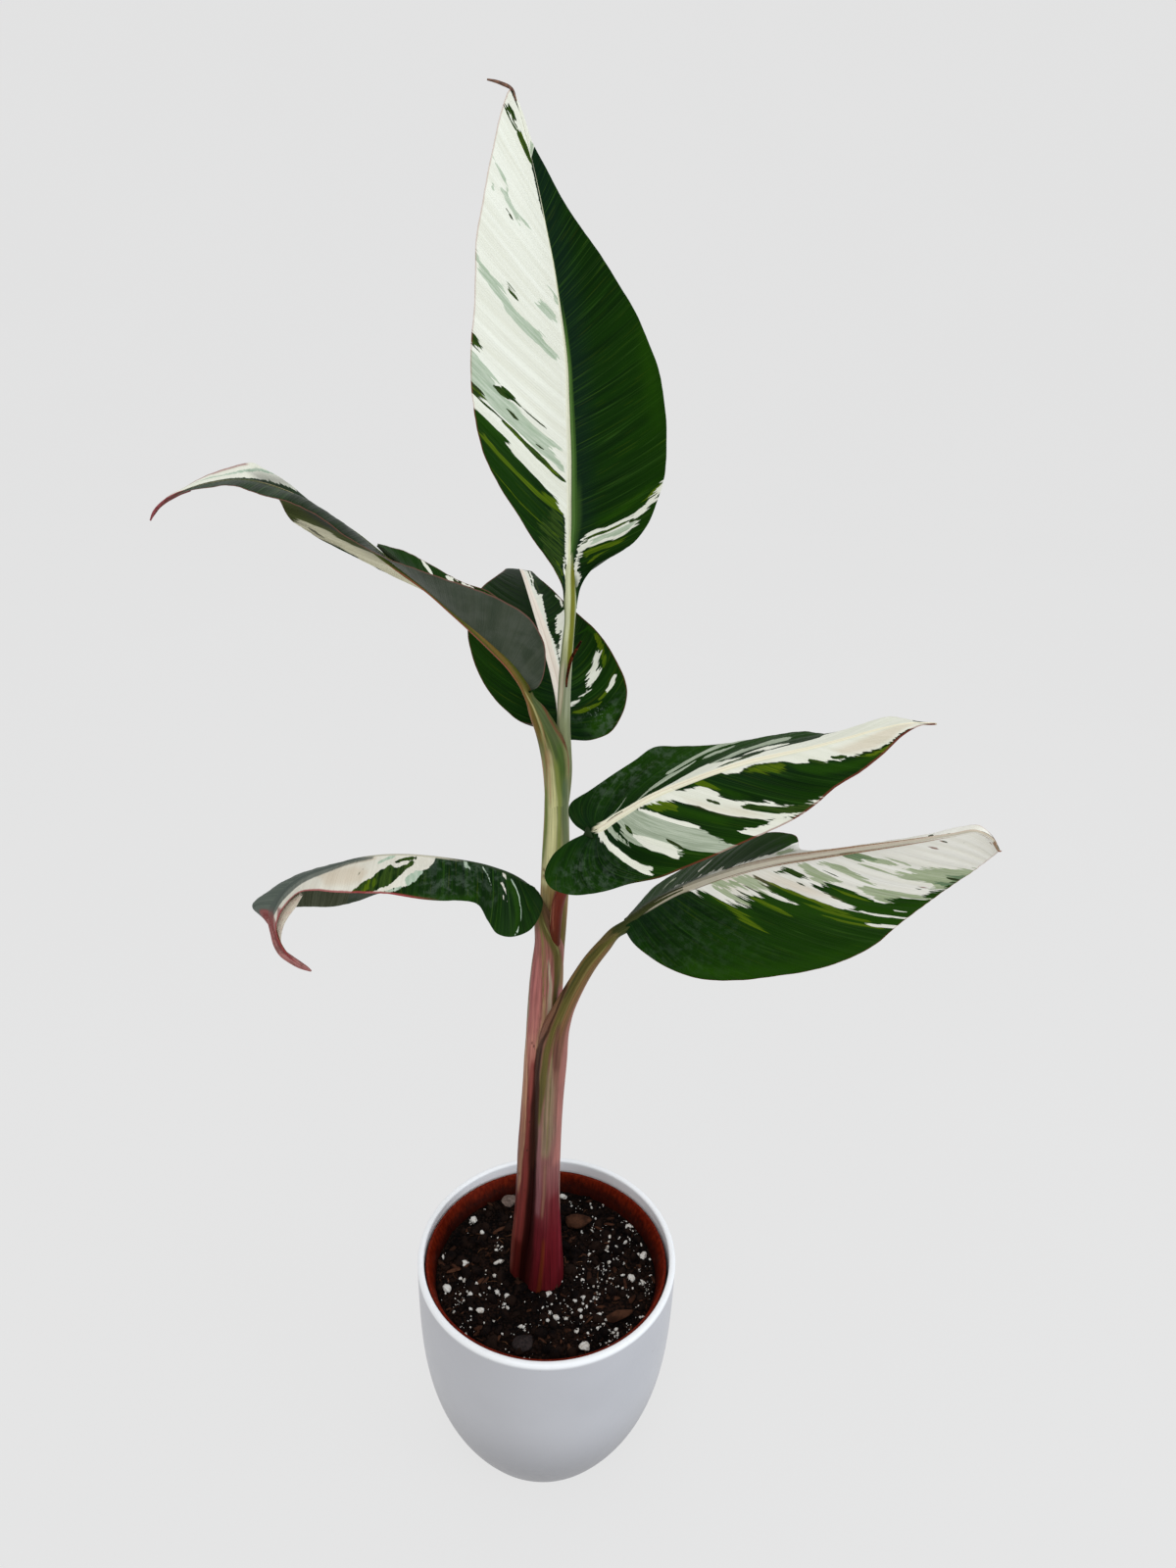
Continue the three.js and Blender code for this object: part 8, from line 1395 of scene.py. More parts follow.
def leaf_back(name, seed, cfg):
    """lower face: duller, with a waxy bloom"""
    k = Nodes(name)
    S, SM, X, E, RR = k.attr("s"), k.attr("sm"), k.attr("x"), k.attr("e"), k.attr("rr")
    A = k.m("ABSOLUTE", X)
    side = k.fit(X, -0.1, 0.1, 0.0, 40.0)
    fine = k.noise(k.vec(k.mul(S, 1.7), k.add(k.mul(A, 0.035), side), seed * 1.3), 1.0, 2.0, 0.6)
    band = k.noise(k.vec(k.mul(S, 0.22), k.add(k.mul(A, 0.02), side), seed * 2.1 + 5), 1.0, 2.0, 0.55)
    cell = k.noise(k.vec(k.mul(S, 0.95), k.add(k.mul(A, 0.085), side), seed * 4.9), 1.0, 2.0, 0.6)
    bloom = k.noise(k.pos(), 0.10, 3.0, 0.55)
    lanes = k.white(k.vec(k.m("FLOOR", k.mul(S, 1.6)), k.m("FLOOR", k.mul(side, 1.0)), seed))
    jag = k.add(k.mul(k.sub(cell, 0.5), 0.45), k.mul(k.sub(lanes, 0.5), 0.10))
    teeth = k.mul(k.mul(k.add(k.mul(k.sub(cell, 0.5), 1.4), k.mul(k.sub(lanes, 0.5), 0.3)), cfg.get("teeth", 1.0)), k.fit(A, 1.0, 8.0, 0.12, 1.0))

    def mask(kind, soft=0.25):
        d = k.add(k.attr("m" + kind), jag)
        if kind in END_KINDS:
            d = k.add(d, k.mul(teeth, k.attr("g" + kind)))
        return k.fit(d, -soft, soft)

    g = k.mix(k.fit(band, 0.3, 0.7), cfg["under"], cfg["under2"])
    g = k.mix(k.mul(k.fit(bloom, 0.4, 0.65), 0.45), g, cfg["under_bloom"])
    g = k.mix(k.mul(k.fit(fine, 0.5, 0.7), 0.35), g, cfg["under_line"])
    g = k.mix(k.mul(mask("L", 1.0), 0.75), g, k.mix(k.fit(fine, 0.35, 0.65), srgb(72, 82, 34), srgb(90, 98, 46)))
    c = k.mix(k.fit(band, 0.25, 0.75), cfg["under_cream"], cfg["under_cream2"])
    c = k.mix(k.mul(k.fit(fine, 0.5, 0.72), 0.35), c, cfg["under_cream_line"])
    col = k.mix(mask(cfg.get("back_white", "W")), g, c)
    col = k.mix(k.mul(mask("S"), 0.8), col, k.mix(0.5, cfg["under_cream"], cfg["under_bloom"]))
    col = k.mix(mask("G"), col, g)
    col = k.mix(k.mul(mask("P", 1.2), 0.5), col, srgb(120, 66, 62))
    # painted sheen on the lower face: H marks turn it slate grey
    col = k.mix(k.mul(mask("H", 0.5), 0.9), col, k.mix(k.fit(fine, 0.35, 0.65), srgb(64, 68, 50), srgb(84, 88, 70)))
    # painted shade on the lower face: N marks darken it
    col = k.mix(k.mul(mask("N", 3.0), 0.5), col, srgb(30, 32, 26))
    col = k.mix(k.mul(mask("K"), 0.8), col, srgb(40, 44, 30))
    if cfg.get("under_rib") is not None:
        col = cfg["under_rib"](k, col, SM, X, A, RR, fine)
    m_part = k.mul(k.fit(E, cfg.get("margin_w", 0.75) * 1.3, 0.25), cfg.get("margin_f", 0.8))
    m_part = k.mul(m_part, k.fit(SM, *cfg.get("margin_from", (3.0, 9.0))))
    m_part = k.mul(m_part, k.fit(X, -0.5, 0.5, 1.0, cfg.get("margin_b", 1.0)))
    col = k.mix(m_part, col, cfg["margin"])
    h = k.add(k.mul(fine, 0.7), k.mul(k.m("SINE", k.mul(S, 2 * math.pi / 1.05)), 0.30))
    n = k.bump(h, 0.00012, 0.9)
    rough = k.fit(bloom, 0.3, 0.7, 0.42, 0.56, "LINEAR")
    return k.finish(col, rough, n, Specular_IOR_Level=cfg.get("spec_back", 0.05))


def striped(name, seed, zramp, stripes=(), rough=0.42, lines=0.25, specks=0.0, line_colour=None, spec=0.16, bloom=None):
    """stem skin: colours by height, lengthwise stripes at chosen places round it, and fine fibres.
    stripes: (across, half width, z from, z to, colour, strength, front) with across from -1 left to 1 right"""
    k = Nodes(name)
    P = k.pos()
    x, y, z = k.xyz(P)
    sx, cx, S = k.attr("sx"), k.attr("cx"), k.attr("s")
    fib = k.noise(k.vec(k.mul(sx, 7.0), k.mul(cx, 7.0), k.add(k.mul(S, 0.02), seed)), 1.0, 3.0, 0.6)
    fib2 = k.noise(k.vec(k.mul(sx, 3.0), k.mul(cx, 3.0), k.add(k.mul(S, 0.012), seed + 9)), 1.0, 2.0, 0.5)
    patch = k.noise(k.vec(k.mul(sx, 1.3), k.mul(cx, 1.3), k.add(k.mul(S, 0.05), seed + 20)), 1.0, 3.0, 0.6)
    z0, z1 = zramp[0][0], zramp[-1][0]
    f = k.fit(k.add(z, k.mul(k.sub(fib2, 0.5), 26.0)), z0, z1, 0.0, 1.0, "LINEAR")
    col = k.ramp(f, [((zz - z0) / (z1 - z0), c) for zz, c in zramp])
    wander = k.mul(k.sub(fib2, 0.5), 0.16)
    for across, half, za, zb, colour, strength, front in stripes:
        d = k.m("ABSOLUTE", k.sub(k.add(sx, wander), across))
        w = k.fit(d, half, half * 0.55)
        w = k.mul(w, k.fit(z, za, za + 0.12 * (zb - za) + 2))
        w = k.mul(w, k.fit(z, zb, zb - 0.12 * (zb - za) - 2))
        if front:
            w = k.mul(w, k.fit(k.mul(cx, float(front)), -0.05, 0.15))
        w = k.mul(w, k.fit(fib, 0.30, 0.55, 0.65, 1.0))
        col = k.mix(k.mul(w, strength), col, colour)
    lc = line_colour or srgb(60, 30, 25)
    col = k.mix(k.mul(k.fit(fib, 0.52, 0.68), lines), col, lc)
    col = k.mix(k.mul(k.fit(fib, 0.44, 0.30), lines * 0.7), col, bloom or srgb(190, 170, 150))
    col = k.mix(k.mul(k.fit(patch, 0.55, 0.75), 0.22), col, lc)
    if specks:
        v = k.voronoi(k.vec(k.mul(sx, 5.0), k.mul(cx, 5.0), k.mul(S, 0.16)), 1.0)
        dot = k.fit(v.outputs["Distance"], 0.16, 0.09)
        col = k.mix(k.mul(dot, specks), col, srgb(52, 26, 20))
    h = k.add(k.mul(fib, 0.8), k.mul(fib2, 0.6))
    n = k.bump(h, 0.00030, 0.9)
    n = k.bump(k.noise(P, 2.6, 3.0), 0.00005, 0.6, n)
    r = k.fit(k.add(k.mul(fib, 0.6), k.mul(patch, 0.4)), 0.3, 0.7, rough - 0.07, rough + 0.10, "LINEAR")
    return k.finish(col, r, n, Specular_IOR_Level=spec)


def painted(name, seed, rough=0.45, lines=0.3, spec=0.05, specks=0.0):
    """stem skin: the painted vertex colours with fine lengthwise fibres"""
    k = Nodes(name)
    P = k.pos()
    sx, cx, S = k.attr("sx"), k.attr("cx"), k.attr("s")
    n1 = k.t.nodes.new("ShaderNodeCombineColor")
    for i in range(3):
        k.put(n1.inputs[i], k.attr("c%d" % i))
    col = n1.outputs[0]
    fib = k.noise(k.vec(k.mul(sx, 7.0), k.mul(cx, 7.0), k.add(k.mul(S, 0.022), seed)), 1.0, 3.0, 0.65)
    fib2 = k.noise(k.vec(k.mul(sx, 3.4), k.mul(cx, 3.4), k.add(k.mul(S, 0.012), seed + 9)), 1.0, 2.0, 0.5)
    patch = k.noise(k.vec(k.mul(sx, 1.5), k.mul(cx, 1.5), k.add(k.mul(S, 0.07), seed + 20)), 1.0, 4.0, 0.6)
    grain = k.noise(P, 1.6, 3.0, 0.6)
    v = k.add(k.fit(fib, 0.28, 0.72, 1.0 - lines, 1.0 + lines * 0.9, "LINEAR"), k.mul(k.sub(patch, 0.5), 0.30))
    v = k.add(v, k.mul(k.sub(grain, 0.5), 0.16))
    v = k.add(v, k.mul(k.sub(fib2, 0.5), 0.45))
    fib3 = k.noise(k.vec(k.mul(sx, 19.0), k.mul(cx, 19.0), k.add(k.mul(S, 0.03), seed + 31)), 1.0, 2.0, 0.6)
    v = k.add(v, k.mul(k.sub(fib3, 0.5), 0.55))
    v = k.mul(v, k.fit(fib3, 0.30, 0.40, 0.72, 1.0))
    col = k.mix(1.0, col, k.vec(v, v, v), "MULTIPLY")
    if specks:
        vo = k.voronoi(k.vec(k.mul(sx, 5.0), k.mul(cx, 5.0), k.mul(S, 0.30)), 1.0)
        dot = k.mul(k.fit(vo.outputs["Distance"], 0.11, 0.06), k.fit(patch, 0.50, 0.56))
        col = k.mix(k.mul(dot, specks), col, srgb(52, 26, 20))
    h = k.add(k.mul(fib, 0.8), k.mul(fib2, 0.6))
    n = k.bump(h, 0.00030, 0.9)
    n = k.bump(k.noise(P, 2.6, 3.0), 0.00005, 0.6, n)
    r = k.fit(k.add(k.mul(fib, 0.6), k.mul(patch, 0.4)), 0.3, 0.7, rough - 0.07, rough + 0.10, "LINEAR")
    return k.finish(col, r, n, Specular_IOR_Level=spec)

# ------------------------------------------------------------------ leaf colours
CREAM = srgb(231, 232, 219)
CREAM2 = srgb(222, 224, 208)
CREAM_LINE = srgb(203, 208, 190)
SAGE = srgb(160, 182, 160)
SAGE2 = srgb(186, 200, 182)
SAGE_LINE = srgb(128, 154, 130)
PINK = srgb(150, 66, 66)
BASE = dict(
    green_dark=srgb(9, 32, 6), green=srgb(18, 48, 6), green_edge=srgb(30, 66, 4), green_line=srgb(48, 82, 26),
    green_deep=srgb(5, 18, 6), green_near=srgb(14, 34, 24), yellow=srgb(92, 112, 14), yellow2=srgb(64, 92, 10),
    cream=CREAM, cream2=CREAM2, cream_line=CREAM_LINE, sage=SAGE, sage2=SAGE2, sage_line=SAGE_LINE,
    margin=PINK, margin_w=0.7, margin_f=0.7, light=srgb(34, 70, 6), tan=srgb(196, 172, 140), deep_sage=srgb(84, 116, 88), brown=srgb(120, 76, 56),
    under=srgb(58, 68, 54), under2=srgb(70, 78, 64), under_bloom=srgb(88, 94, 84), under_line=srgb(48, 60, 44),
    under_cream=srgb(196, 190, 166), under_cream2=srgb(180, 176, 148), under_cream_line=srgb(160, 152, 122),
)


def bands(*parts):
    """midrib colouring from bands across it: (from, to, colour, strength, softness) in mm from the midline, negative towards side a"""

    def paint(k, col, S, X, A, RR, fine):
        for item in parts:
            a, b, colour, strength, soft = item[:5]
            s0, s1 = (item[5], item[6]) if len(item) > 5 else (None, None)
            w = k.mul(k.fit(X, a - soft, a + soft), k.fit(X, b + soft, b - soft))
            w = k.mul(w, k.fit(fine, 0.25, 0.5, 0.75, 1.0))
            if s0 is not None:
                w = k.mul(w, k.fit(S, s0 - 5, s0 + 5))
                w = k.mul(w, k.fit(S, s1 + 5, s1 - 5))
            col = k.mix(k.mul(w, strength), col, colour)
        return col

    return paint


def scaled_rib(centre, edge=None, width=1.0, strength=0.95):
    """midrib colouring whose width follows the midrib's radius"""

    def paint(k, col, S, X, A, RR, fine):
        w = k.fit(k.m("DIVIDE", A, RR), width * 1.15, width * 0.85)
        col = k.mix(k.mul(w, strength), col, k.mix(k.fit(fine, 0.35, 0.65), centre, edge or centre))
        return col

    return paint


def rib_bands(*parts):
    """like bands, with the places across given as multiples of the midrib's radius"""

    def paint(k, col, S, X, A, RR, fine):
        T = k.m("DIVIDE", X, RR)
        for item in parts:
            a, b, colour, strength, soft = item[:5]
            s0, s1 = (item[5], item[6]) if len(item) > 5 else (None, None)
            w = k.mul(k.fit(T, a - soft, a + soft), k.fit(T, b + soft, b - soft))
            w = k.mul(w, k.fit(fine, 0.25, 0.5, 0.82, 1.0))
            if s0 is not None:
                w = k.mul(w, k.fit(S, s0 - 6, s0 + 6))
                w = k.mul(w, k.fit(S, s1 + 6, s1 - 6))
            col = k.mix(k.mul(w, strength), col, colour)
        return col

    return paint


RIB_A = rib_bands(
    (-1.25, 0.30, srgb(226, 226, 204), 0.95, 0.10), (-0.42, -0.34, srgb(158, 146, 110), 0.6, 0.05), (0.05, 0.13, srgb(146, 142, 98), 0.6, 0.05),
    (0.3, 2.7, srgb(52, 80, 34), 0.75, 0.7, 4, 66), (0.36, 1.75, srgb(56, 86, 34), 0.9, 0.25, 0, 128), (0.36, 1.15, srgb(84, 116, 58), 0.85, 0.2, 0, 122), (0.36, 0.75, srgb(48, 80, 30), 0.85, 0.15, 120, 165),
    (0.0, 0.9, srgb(120, 122, 26), 0.85, 0.15, -10, 24))
CFG = {
    "A": dict(BASE, near=0.75, cream=srgb(232, 234, 222), cream2=srgb(220, 221, 206), cream_line=srgb(206, 206, 188), teeth=0.7, spec=0.03, yellow_lines=0.10, fine_f=0.15, deep_f=0.25, green_edge=srgb(24, 58, 2), margin_b=0.0, rib=RIB_A,
              under_rib=scaled_rib(srgb(120, 128, 80), srgb(150, 140, 100), 1.3), margin_f=0.35, sage=srgb(166, 182, 158), sage2=srgb(188, 199, 180), sage_line=srgb(134, 154, 128)),
    "B": dict(BASE, spec=0.018, teeth=0.8, painted_sheen=0.34, margin_f=0.25, rib=rib_bands((-1.1, 1.1, srgb(238, 228, 214), 0.97, 0.10), (0.15, 0.35, srgb(206, 186, 172), 0.5, 0.12)), under_rib=scaled_rib(srgb(150, 140, 104), srgb(120, 110, 70), 1.3)),
    "C": dict(BASE, spec=0.033, back_white="U", rib=scaled_rib(srgb(190, 178, 150), srgb(150, 120, 90), 0.8), under_rib=scaled_rib(srgb(104, 92, 44), srgb(132, 84, 52), 1.2), spec_back=0.05, margin_f=0.55, margin_w=0.65, margin=srgb(132, 84, 78),
              under_cream=srgb(224, 220, 192), under_cream2=srgb(210, 206, 176), under_cream_line=srgb(184, 178, 142)),
    "D": dict(BASE, rib=rib_bands((-1.6, 1.6, srgb(30, 46, 20), 0.95, 0.2, -10, 0), (-0.35, 0.3, srgb(214, 212, 178), 0.95, 0.15, 4, 16), (-0.7, 0.6, srgb(226, 222, 192), 0.95, 0.15, 12, 28), (-1.15, 1.1, srgb(234, 230, 206), 0.97, 0.12, 24, 300), (-0.2, 0.05, srgb(206, 184, 160), 0.55, 0.1, 20, 200), (-1.0, -0.75, srgb(206, 206, 170), 0.5, 0.1, 26, 300)), under_rib=rib_bands((-1.5, 1.5, srgb(30, 46, 22), 0.95, 0.2, -10, 16), (-1.3, 1.3, srgb(132, 82, 60), 0.9, 0.2, 26, 300)), margin_f=0.6, margin_w=1.2, margin_from=(34.0, 60.0), margin_b=0.1, teeth=0.8, spec=0.024, painted_sheen=0.27,
              sage=srgb(150, 162, 140), sage2=srgb(176, 186, 166), sage_line=srgb(124, 140, 116), margin=srgb(128, 54, 50), yellow_lines=0.08),
    # lower left leaf: the slate grey midrib band from 88 to 137 mm is painted sheen, matching the H marks there
    "E": dict(BASE, rib=rib_bands((-0.7, 0.7, srgb(44, 62, 34), 0.6, 0.2, -10, 46), (-0.8, 0.8, srgb(206, 202, 180), 0.8, 0.15, 50, 88), (-1.3, 1.3, srgb(84, 92, 86), 0.92, 0.2, 88, 137), (-1.3, 1.3, srgb(150, 86, 84), 0.9, 0.2, 137, 300)), under_rib=scaled_rib(srgb(112, 92, 60), srgb(140, 84, 60), 1.3), margin_f=0.9, margin_w=1.15, margin_from=(50.0, 66.0), margin_b=0.0, teeth=0.3, spec=0.037, spec_back=0.015, painted_sheen=0.33, margin=srgb(150, 64, 66),
              cream=srgb(225, 223, 210), cream2=srgb(214, 210, 196), cream_line=srgb(194, 188, 172)),
    # lower right leaf: the brown line along the side a edge of the midrib, 60 to 150 mm, is a painted shadow
    "F": dict(BASE, spec=0.02, spec_back=0.03, painted_sheen=0.1, under=srgb(22, 50, 14), under2=srgb(34, 64, 20), under_bloom=srgb(42, 68, 32), under_line=srgb(18, 40, 12), rib=rib_bands((0.5, 2.6, srgb(32, 50, 22), 0.9, 0.3, -10, 70), (-0.95, 0.85, srgb(190, 183, 164), 0.95, 0.12, 60, 300), (-0.8, 0.55, srgb(186, 178, 156), 0.95, 0.12, 26, 66), (-0.55, 0.1, srgb(172, 162, 134), 0.9, 0.12, -10, 34), (-1.15, -0.88, srgb(116, 98, 76), 0.85, 0.1, 60, 150), (0.0, 0.2, srgb(168, 152, 130), 0.5, 0.12, 10, 150),
              (0.25, 0.6, srgb(206, 166, 152), 0.4, 0.15, 92, 190)), under_rib=scaled_rib(srgb(168, 148, 122), srgb(150, 112, 92), 1.3), margin_f=0.3,
              cream=srgb(238, 237, 229), cream2=srgb(227, 225, 213), cream_line=srgb(204, 203, 184), sage=srgb(152, 166, 130), sage2=srgb(174, 184, 154), sage_line=srgb(130, 146, 108), yellow_lines=0.10),
}
SEEDS = {"A": 1, "B": 2, "C": 3, "D": 4, "E": 5, "F": 6}
FACE = {L: leaf_face("leaf_%s_face" % L, SEEDS[L], CFG[L]) for L in CFG}
BACK = {L: leaf_back("leaf_%s_back" % L, SEEDS[L], CFG[L]) for L in CFG}

STEP = 0.55
OUTER = 13


def no_marks():
    return {"m" + k: -9.0 for k in MARK_KINDS}


# ------------------------------------------------------------------ stem skins
SKIN_CORE = painted("skin_core", 11, lines=0.26)
SKIN_E = painted("skin_lower_left", 12, lines=0.36, specks=0.6)
SKIN_F = painted("skin_lower_right", 13, lines=0.34, specks=0.4)
PETIOLE = {}
PETIOLE["A"] = painted("petiole_A", 21, lines=0.10)
PETIOLE["B"] = striped("petiole_B", 22, [(395, srgb(140, 148, 112)), (440, srgb(200, 198, 170))], lines=0.15, line_colour=srgb(110, 116, 60))
PETIOLE["C"] = painted("petiole_C", 23, lines=0.16)
PETIOLE["D"] = painted("petiole_D", 24, lines=0.22)
PETIOLE["E"] = painted("petiole_E", 25)
PETIOLE["F"] = painted("petiole_F", 26)

k = Nodes("dried_tip")
fil = k.noise(k.pos(), 1.2, 3.0)
HOOK_SKIN = k.finish(k.mix(k.fit(fil, 0.35, 0.65), srgb(70, 46, 34), srgb(120, 84, 62)), 0.7, k.bump(fil, 0.0002))

k = Nodes("pink_tip")
fil = k.noise(k.pos(), 1.4, 3.0)
TIP_SKIN = k.finish(k.mix(k.fit(fil, 0.35, 0.65), srgb(142, 74, 78), srgb(112, 52, 54)), 0.55, k.bump(fil, 0.0002), Specular_IOR_Level=0.1)



def fibrous(name, seed, a, b, c, scale=1.0):
    k = Nodes(name)
    sx, cx, S = k.attr("sx"), k.attr("cx"), k.attr("s")
    fib = k.noise(k.vec(k.mul(sx, 5.0), k.mul(cx, 5.0), k.add(k.mul(S, 0.05), seed)), scale, 3.0, 0.6)
    spot = k.noise(k.pos(), 0.35, 3.0, 0.6)
    col = k.mix(k.fit(fib, 0.36, 0.64), a, b)
    col = k.mix(k.mul(k.fit(spot, 0.48, 0.66), 0.6), col, c)
    return k.finish(col, k.fit(fib, 0.3, 0.7, 0.48, 0.62, "LINEAR"), k.bump(fib, 0.0003), Specular_IOR_Level=0.08)


TAIL_SKIN = fibrous("curled_tip", 3, srgb(172, 122, 115), srgb(144, 88, 88), srgb(104, 72, 66))
CURL_SKIN = fibrous("curled_edge", 4, srgb(228, 218, 198), srgb(216, 203, 182), srgb(212, 186, 168))
FOLD_SKIN = fibrous("fold", 5, srgb(30, 38, 22), srgb(44, 56, 34), srgb(24, 30, 18))

# ------------------------------------------------------------------ build the leaves
VIS = {
    "A": ("v_leaf_top", "leaf_top"), "B": ("v_leaf_rear", "leaf_rear"), "C": ("v_leaf_upper_left", "leaf_upper_left"),
    "D": ("v_leaf_mid_right", "leaf_mid_right"), "E": ("v_leaf_lower_left", "leaf_lower_left"), "F": ("v_leaf_lower_right", "leaf_lower_right"),
}
UP = {"A": -1, "B": -1, "C": -1, "D": 1, "E": -1, "F": 1}
SIDES = 48
SLANT = {"A": (0.0, 0.0), "B": (0.2, 0.45), "D": (0.55, 0.4), "E": (-0.2, 0.0), "F": (0.12, 0.15)}


def under_path(M, N, rr, count, start=0):
    """the first points under the midrib, for a petiole to run into"""
    out = []
    for i in range(start, min(len(M), count)):
        out.append([*(M[i] - N[i] * 0.75 * rr[i]), rr[i] * 1.12])
    return out


def groove(depth, width, at=0.0):
    def shape(ph, f):
        return 1 - depth * np.exp(-(((ph - at) / width) ** 2))

    return shape


def add_petiole(shell, L, M, N, rr, reach_mm, material, front=(0, -1, 0), shape=None, proud=0.0):
    pts = [list(p) for p in PETIOLES[L]]
    end = 0.0
    last = np.array(pts[-1][:3])
    k = 0
    r0 = pts[-1][3]
    for i in range(1, len(M)):
        end += np.linalg.norm(M[i] - M[i - 1])
        if end > reach_mm:
            break
        r = rr[i] * (1.0 - 0.35 * end / reach_mm)
        low = 1.0
        if proud:
            r = r0 + (0.65 * rr[i] - r0) * end / reach_mm
            low = smooth(0.0, proud, end)
        p = M[i] - N[i] * 1.04 * r * low
        if np.linalg.norm(p - last) > 4.0:
            pts.append([*p, r])
            last = p
            k += 1
    sweep(shell, pts, material, sides=SIDES, step=1.2, front=front, shape=shape, wobble=0.04, seed=hash_of(L), table=PAINT.get(L))


def run_under(path, M, N, rr, reach_mm, proud=0.2):
    pts = [list(p) for p in path]
    last, end, r0 = np.array(pts[-1][:3]), 0.0, pts[-1][3]
    for i in range(1, len(M)):
        end += np.linalg.norm(M[i] - M[i - 1])
        if end > reach_mm:
            break
        f = end / reach_mm
        r = r0 + (0.55 * rr[i] - r0) * f
        p = M[i] - N[i] * (r - proud * (1 - f) ** 2 + 0.25 * f)
        if np.linalg.norm(p - last) > 3.5:
            pts.append([*p, r])
            last = p
    return pts


def hash_of(L):
    return 31 + ord(L)


for L in "ABDEF":
    sh = Shell()
    q, M, N, rr = blade(sh, LEAVES[L], UP[L], RIBS[L], 100 * SEEDS[L], MARKS[L], "", STEP, outer=OUTER, slant=SLANT[L])
    if L in ("A", "B", "D"):
        front = {"A": (0, -1, 0), "B": (0, -1, 0), "D": (0, -1, 0)}[L]
        add_petiole(sh, L, M, N, rr, {"A": 0, "B": 14, "D": 20}[L], 2, front=front, shape=groove(0.10, 0.16))
    mats = [FACE[L], BACK[L], PETIOLE[L]]
    if L == "A":
        sweep(sh, HOOK, 3, sides=12, step=0.5)
        mats.append(HOOK_SKIN)
    if L == "E":
        sweep(sh, SHEATH_E, 3, sides=112, step=1.4, wobble=0.08, seed=5, table=PAINT["E"])
        sweep(sh, TAIL_E, 4, sides=24, step=0.6, wobble=0.3, seed=15)
        sweep(sh, CURL_E, 5, sides=24, step=0.6, wobble=0.2, seed=16)
        mats += [SKIN_E, TAIL_SKIN, CURL_SKIN]
    if L == "F":
        sweep(sh, run_under(SHEATH_F, M, N, rr, 40, 0.35), 3, sides=112, step=1.4, wobble=0.06, seed=6, table=PAINT["F"])
        mats.append(SKIN_F)
    ob = sh.piece(VIS[L][0], mats)
    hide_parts(VIS[L][1])

sh = Shell()
q, M, N, rr = blade(sh, LEAF_C_NEAR, 1, RIBS["C"], 300, MARKS["C"], "near", STEP, half=True, outer=OUTER, ridge=0.0)
blade(sh, LEAF_C_BASE, -1, RIBS["C"], 310, MARKS["C"], "base", STEP, half=True, outer=OUTER, ridge=0.0)
blade(sh, LEAF_C_TIP, -1, RIBS["C"], 320, MARKS["C"], "tip", STEP, half=True, outer=OUTER, ridge=0.0)
pts = [list(p) for p in PETIOLES["C"]] + [list(p) for p in LEAF_C_RIB]
sweep(sh, pts, 2, sides=SIDES * 2, step=1.3, front=(0, -1, 0), wobble=0.03, seed=7, table=PAINT["C"])
sweep(sh, TIP_C, 3, sides=16, step=0.5)
sweep(sh, FOLD_C, 4, sides=16, step=0.6)
ob = sh.piece("v_leaf_upper_left", [FACE["C"], BACK["C"], PETIOLE["C"], TIP_SKIN, FOLD_SKIN])
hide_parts("leaf_upper_left")

sh = Shell()
sweep(sh, CORE, 0, sides=SIDES * 2, step=1.5, wobble=0.04, seed=8, table=PAINT["CORE"])
ob = sh.piece("v_pseudostem", [SKIN_CORE])
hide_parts("pseudostem")

k = Nodes("dried_skin")
fil = k.noise(k.pos(), 0.8, 3.0)
DRY_SKIN = k.finish(k.mix(k.fit(fil, 0.35, 0.65), srgb(24, 8, 4), srgb(84, 38, 16)), 0.7, k.bump(fil, 0.0002), Specular_IOR_Level=0.03)
sh = Shell()
sweep(sh, [[*p[:3], p[3] * 1.05] for p in FILAMENT], 0, sides=10, step=0.5, wobble=0.5, seed=9)
ob = sh.piece("v_dried_filament", [DRY_SKIN])
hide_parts("dried_filament")

# ------------------------------------------------------------------ pots
def lathe_mesh(shell, profile, sides, material, matrix=None, uvbox=(0, 0, 1, 1), axis_ends=True):
    """turned piece: profile of (radius, height) from the axis, round the outside and back to the axis"""
    p = np.asarray(profile, float)
    if axis_ends:
        inner = p[1:-1]
    else:
        inner = p
    n = len(inner)
    ang = np.linspace(0, 2 * math.pi, sides + 1)
    V = np.stack([inner[:, None, 0] * np.cos(ang), inner[:, None, 0] * np.sin(ang), np.broadcast_to(inner[:, None, 1], (n, sides + 1))], -1)
    F = grid_faces(n, sides + 1, 0, flip=True)
    run = np.concatenate([[0], np.cumsum(np.linalg.norm(np.diff(inner, axis=0), axis=1))])
    u0, v0, u1, v1 = uvbox
    uv = np.stack([np.broadcast_to((u0 + (u1 - u0) * ang / (2 * math.pi))[None], V.shape[:2]).ravel(), np.broadcast_to((v0 + (v1 - v0) * run / run[-1])[:, None], V.shape[:2]).ravel()], 1)
    verts = V.reshape(-1, 3)
    if axis_ends:
        kk = len(verts)
        verts = np.concatenate([verts, [[0, 0, p[0, 1]], [0, 0, p[-1, 1]]]])
        uv = np.concatenate([uv, [[0.5, v0], [0.5, v1]]])
        for j in range(sides):
            F.append((kk, j + 1, j))
            F.append((kk + 1, (n - 1) * (sides + 1) + j, (n - 1) * (sides + 1) + j + 1))
    if matrix is not None:
        verts = verts @ matrix[:3, :3].T + matrix[:3, 3]
    shell.add(verts, F, material, uv=uv)


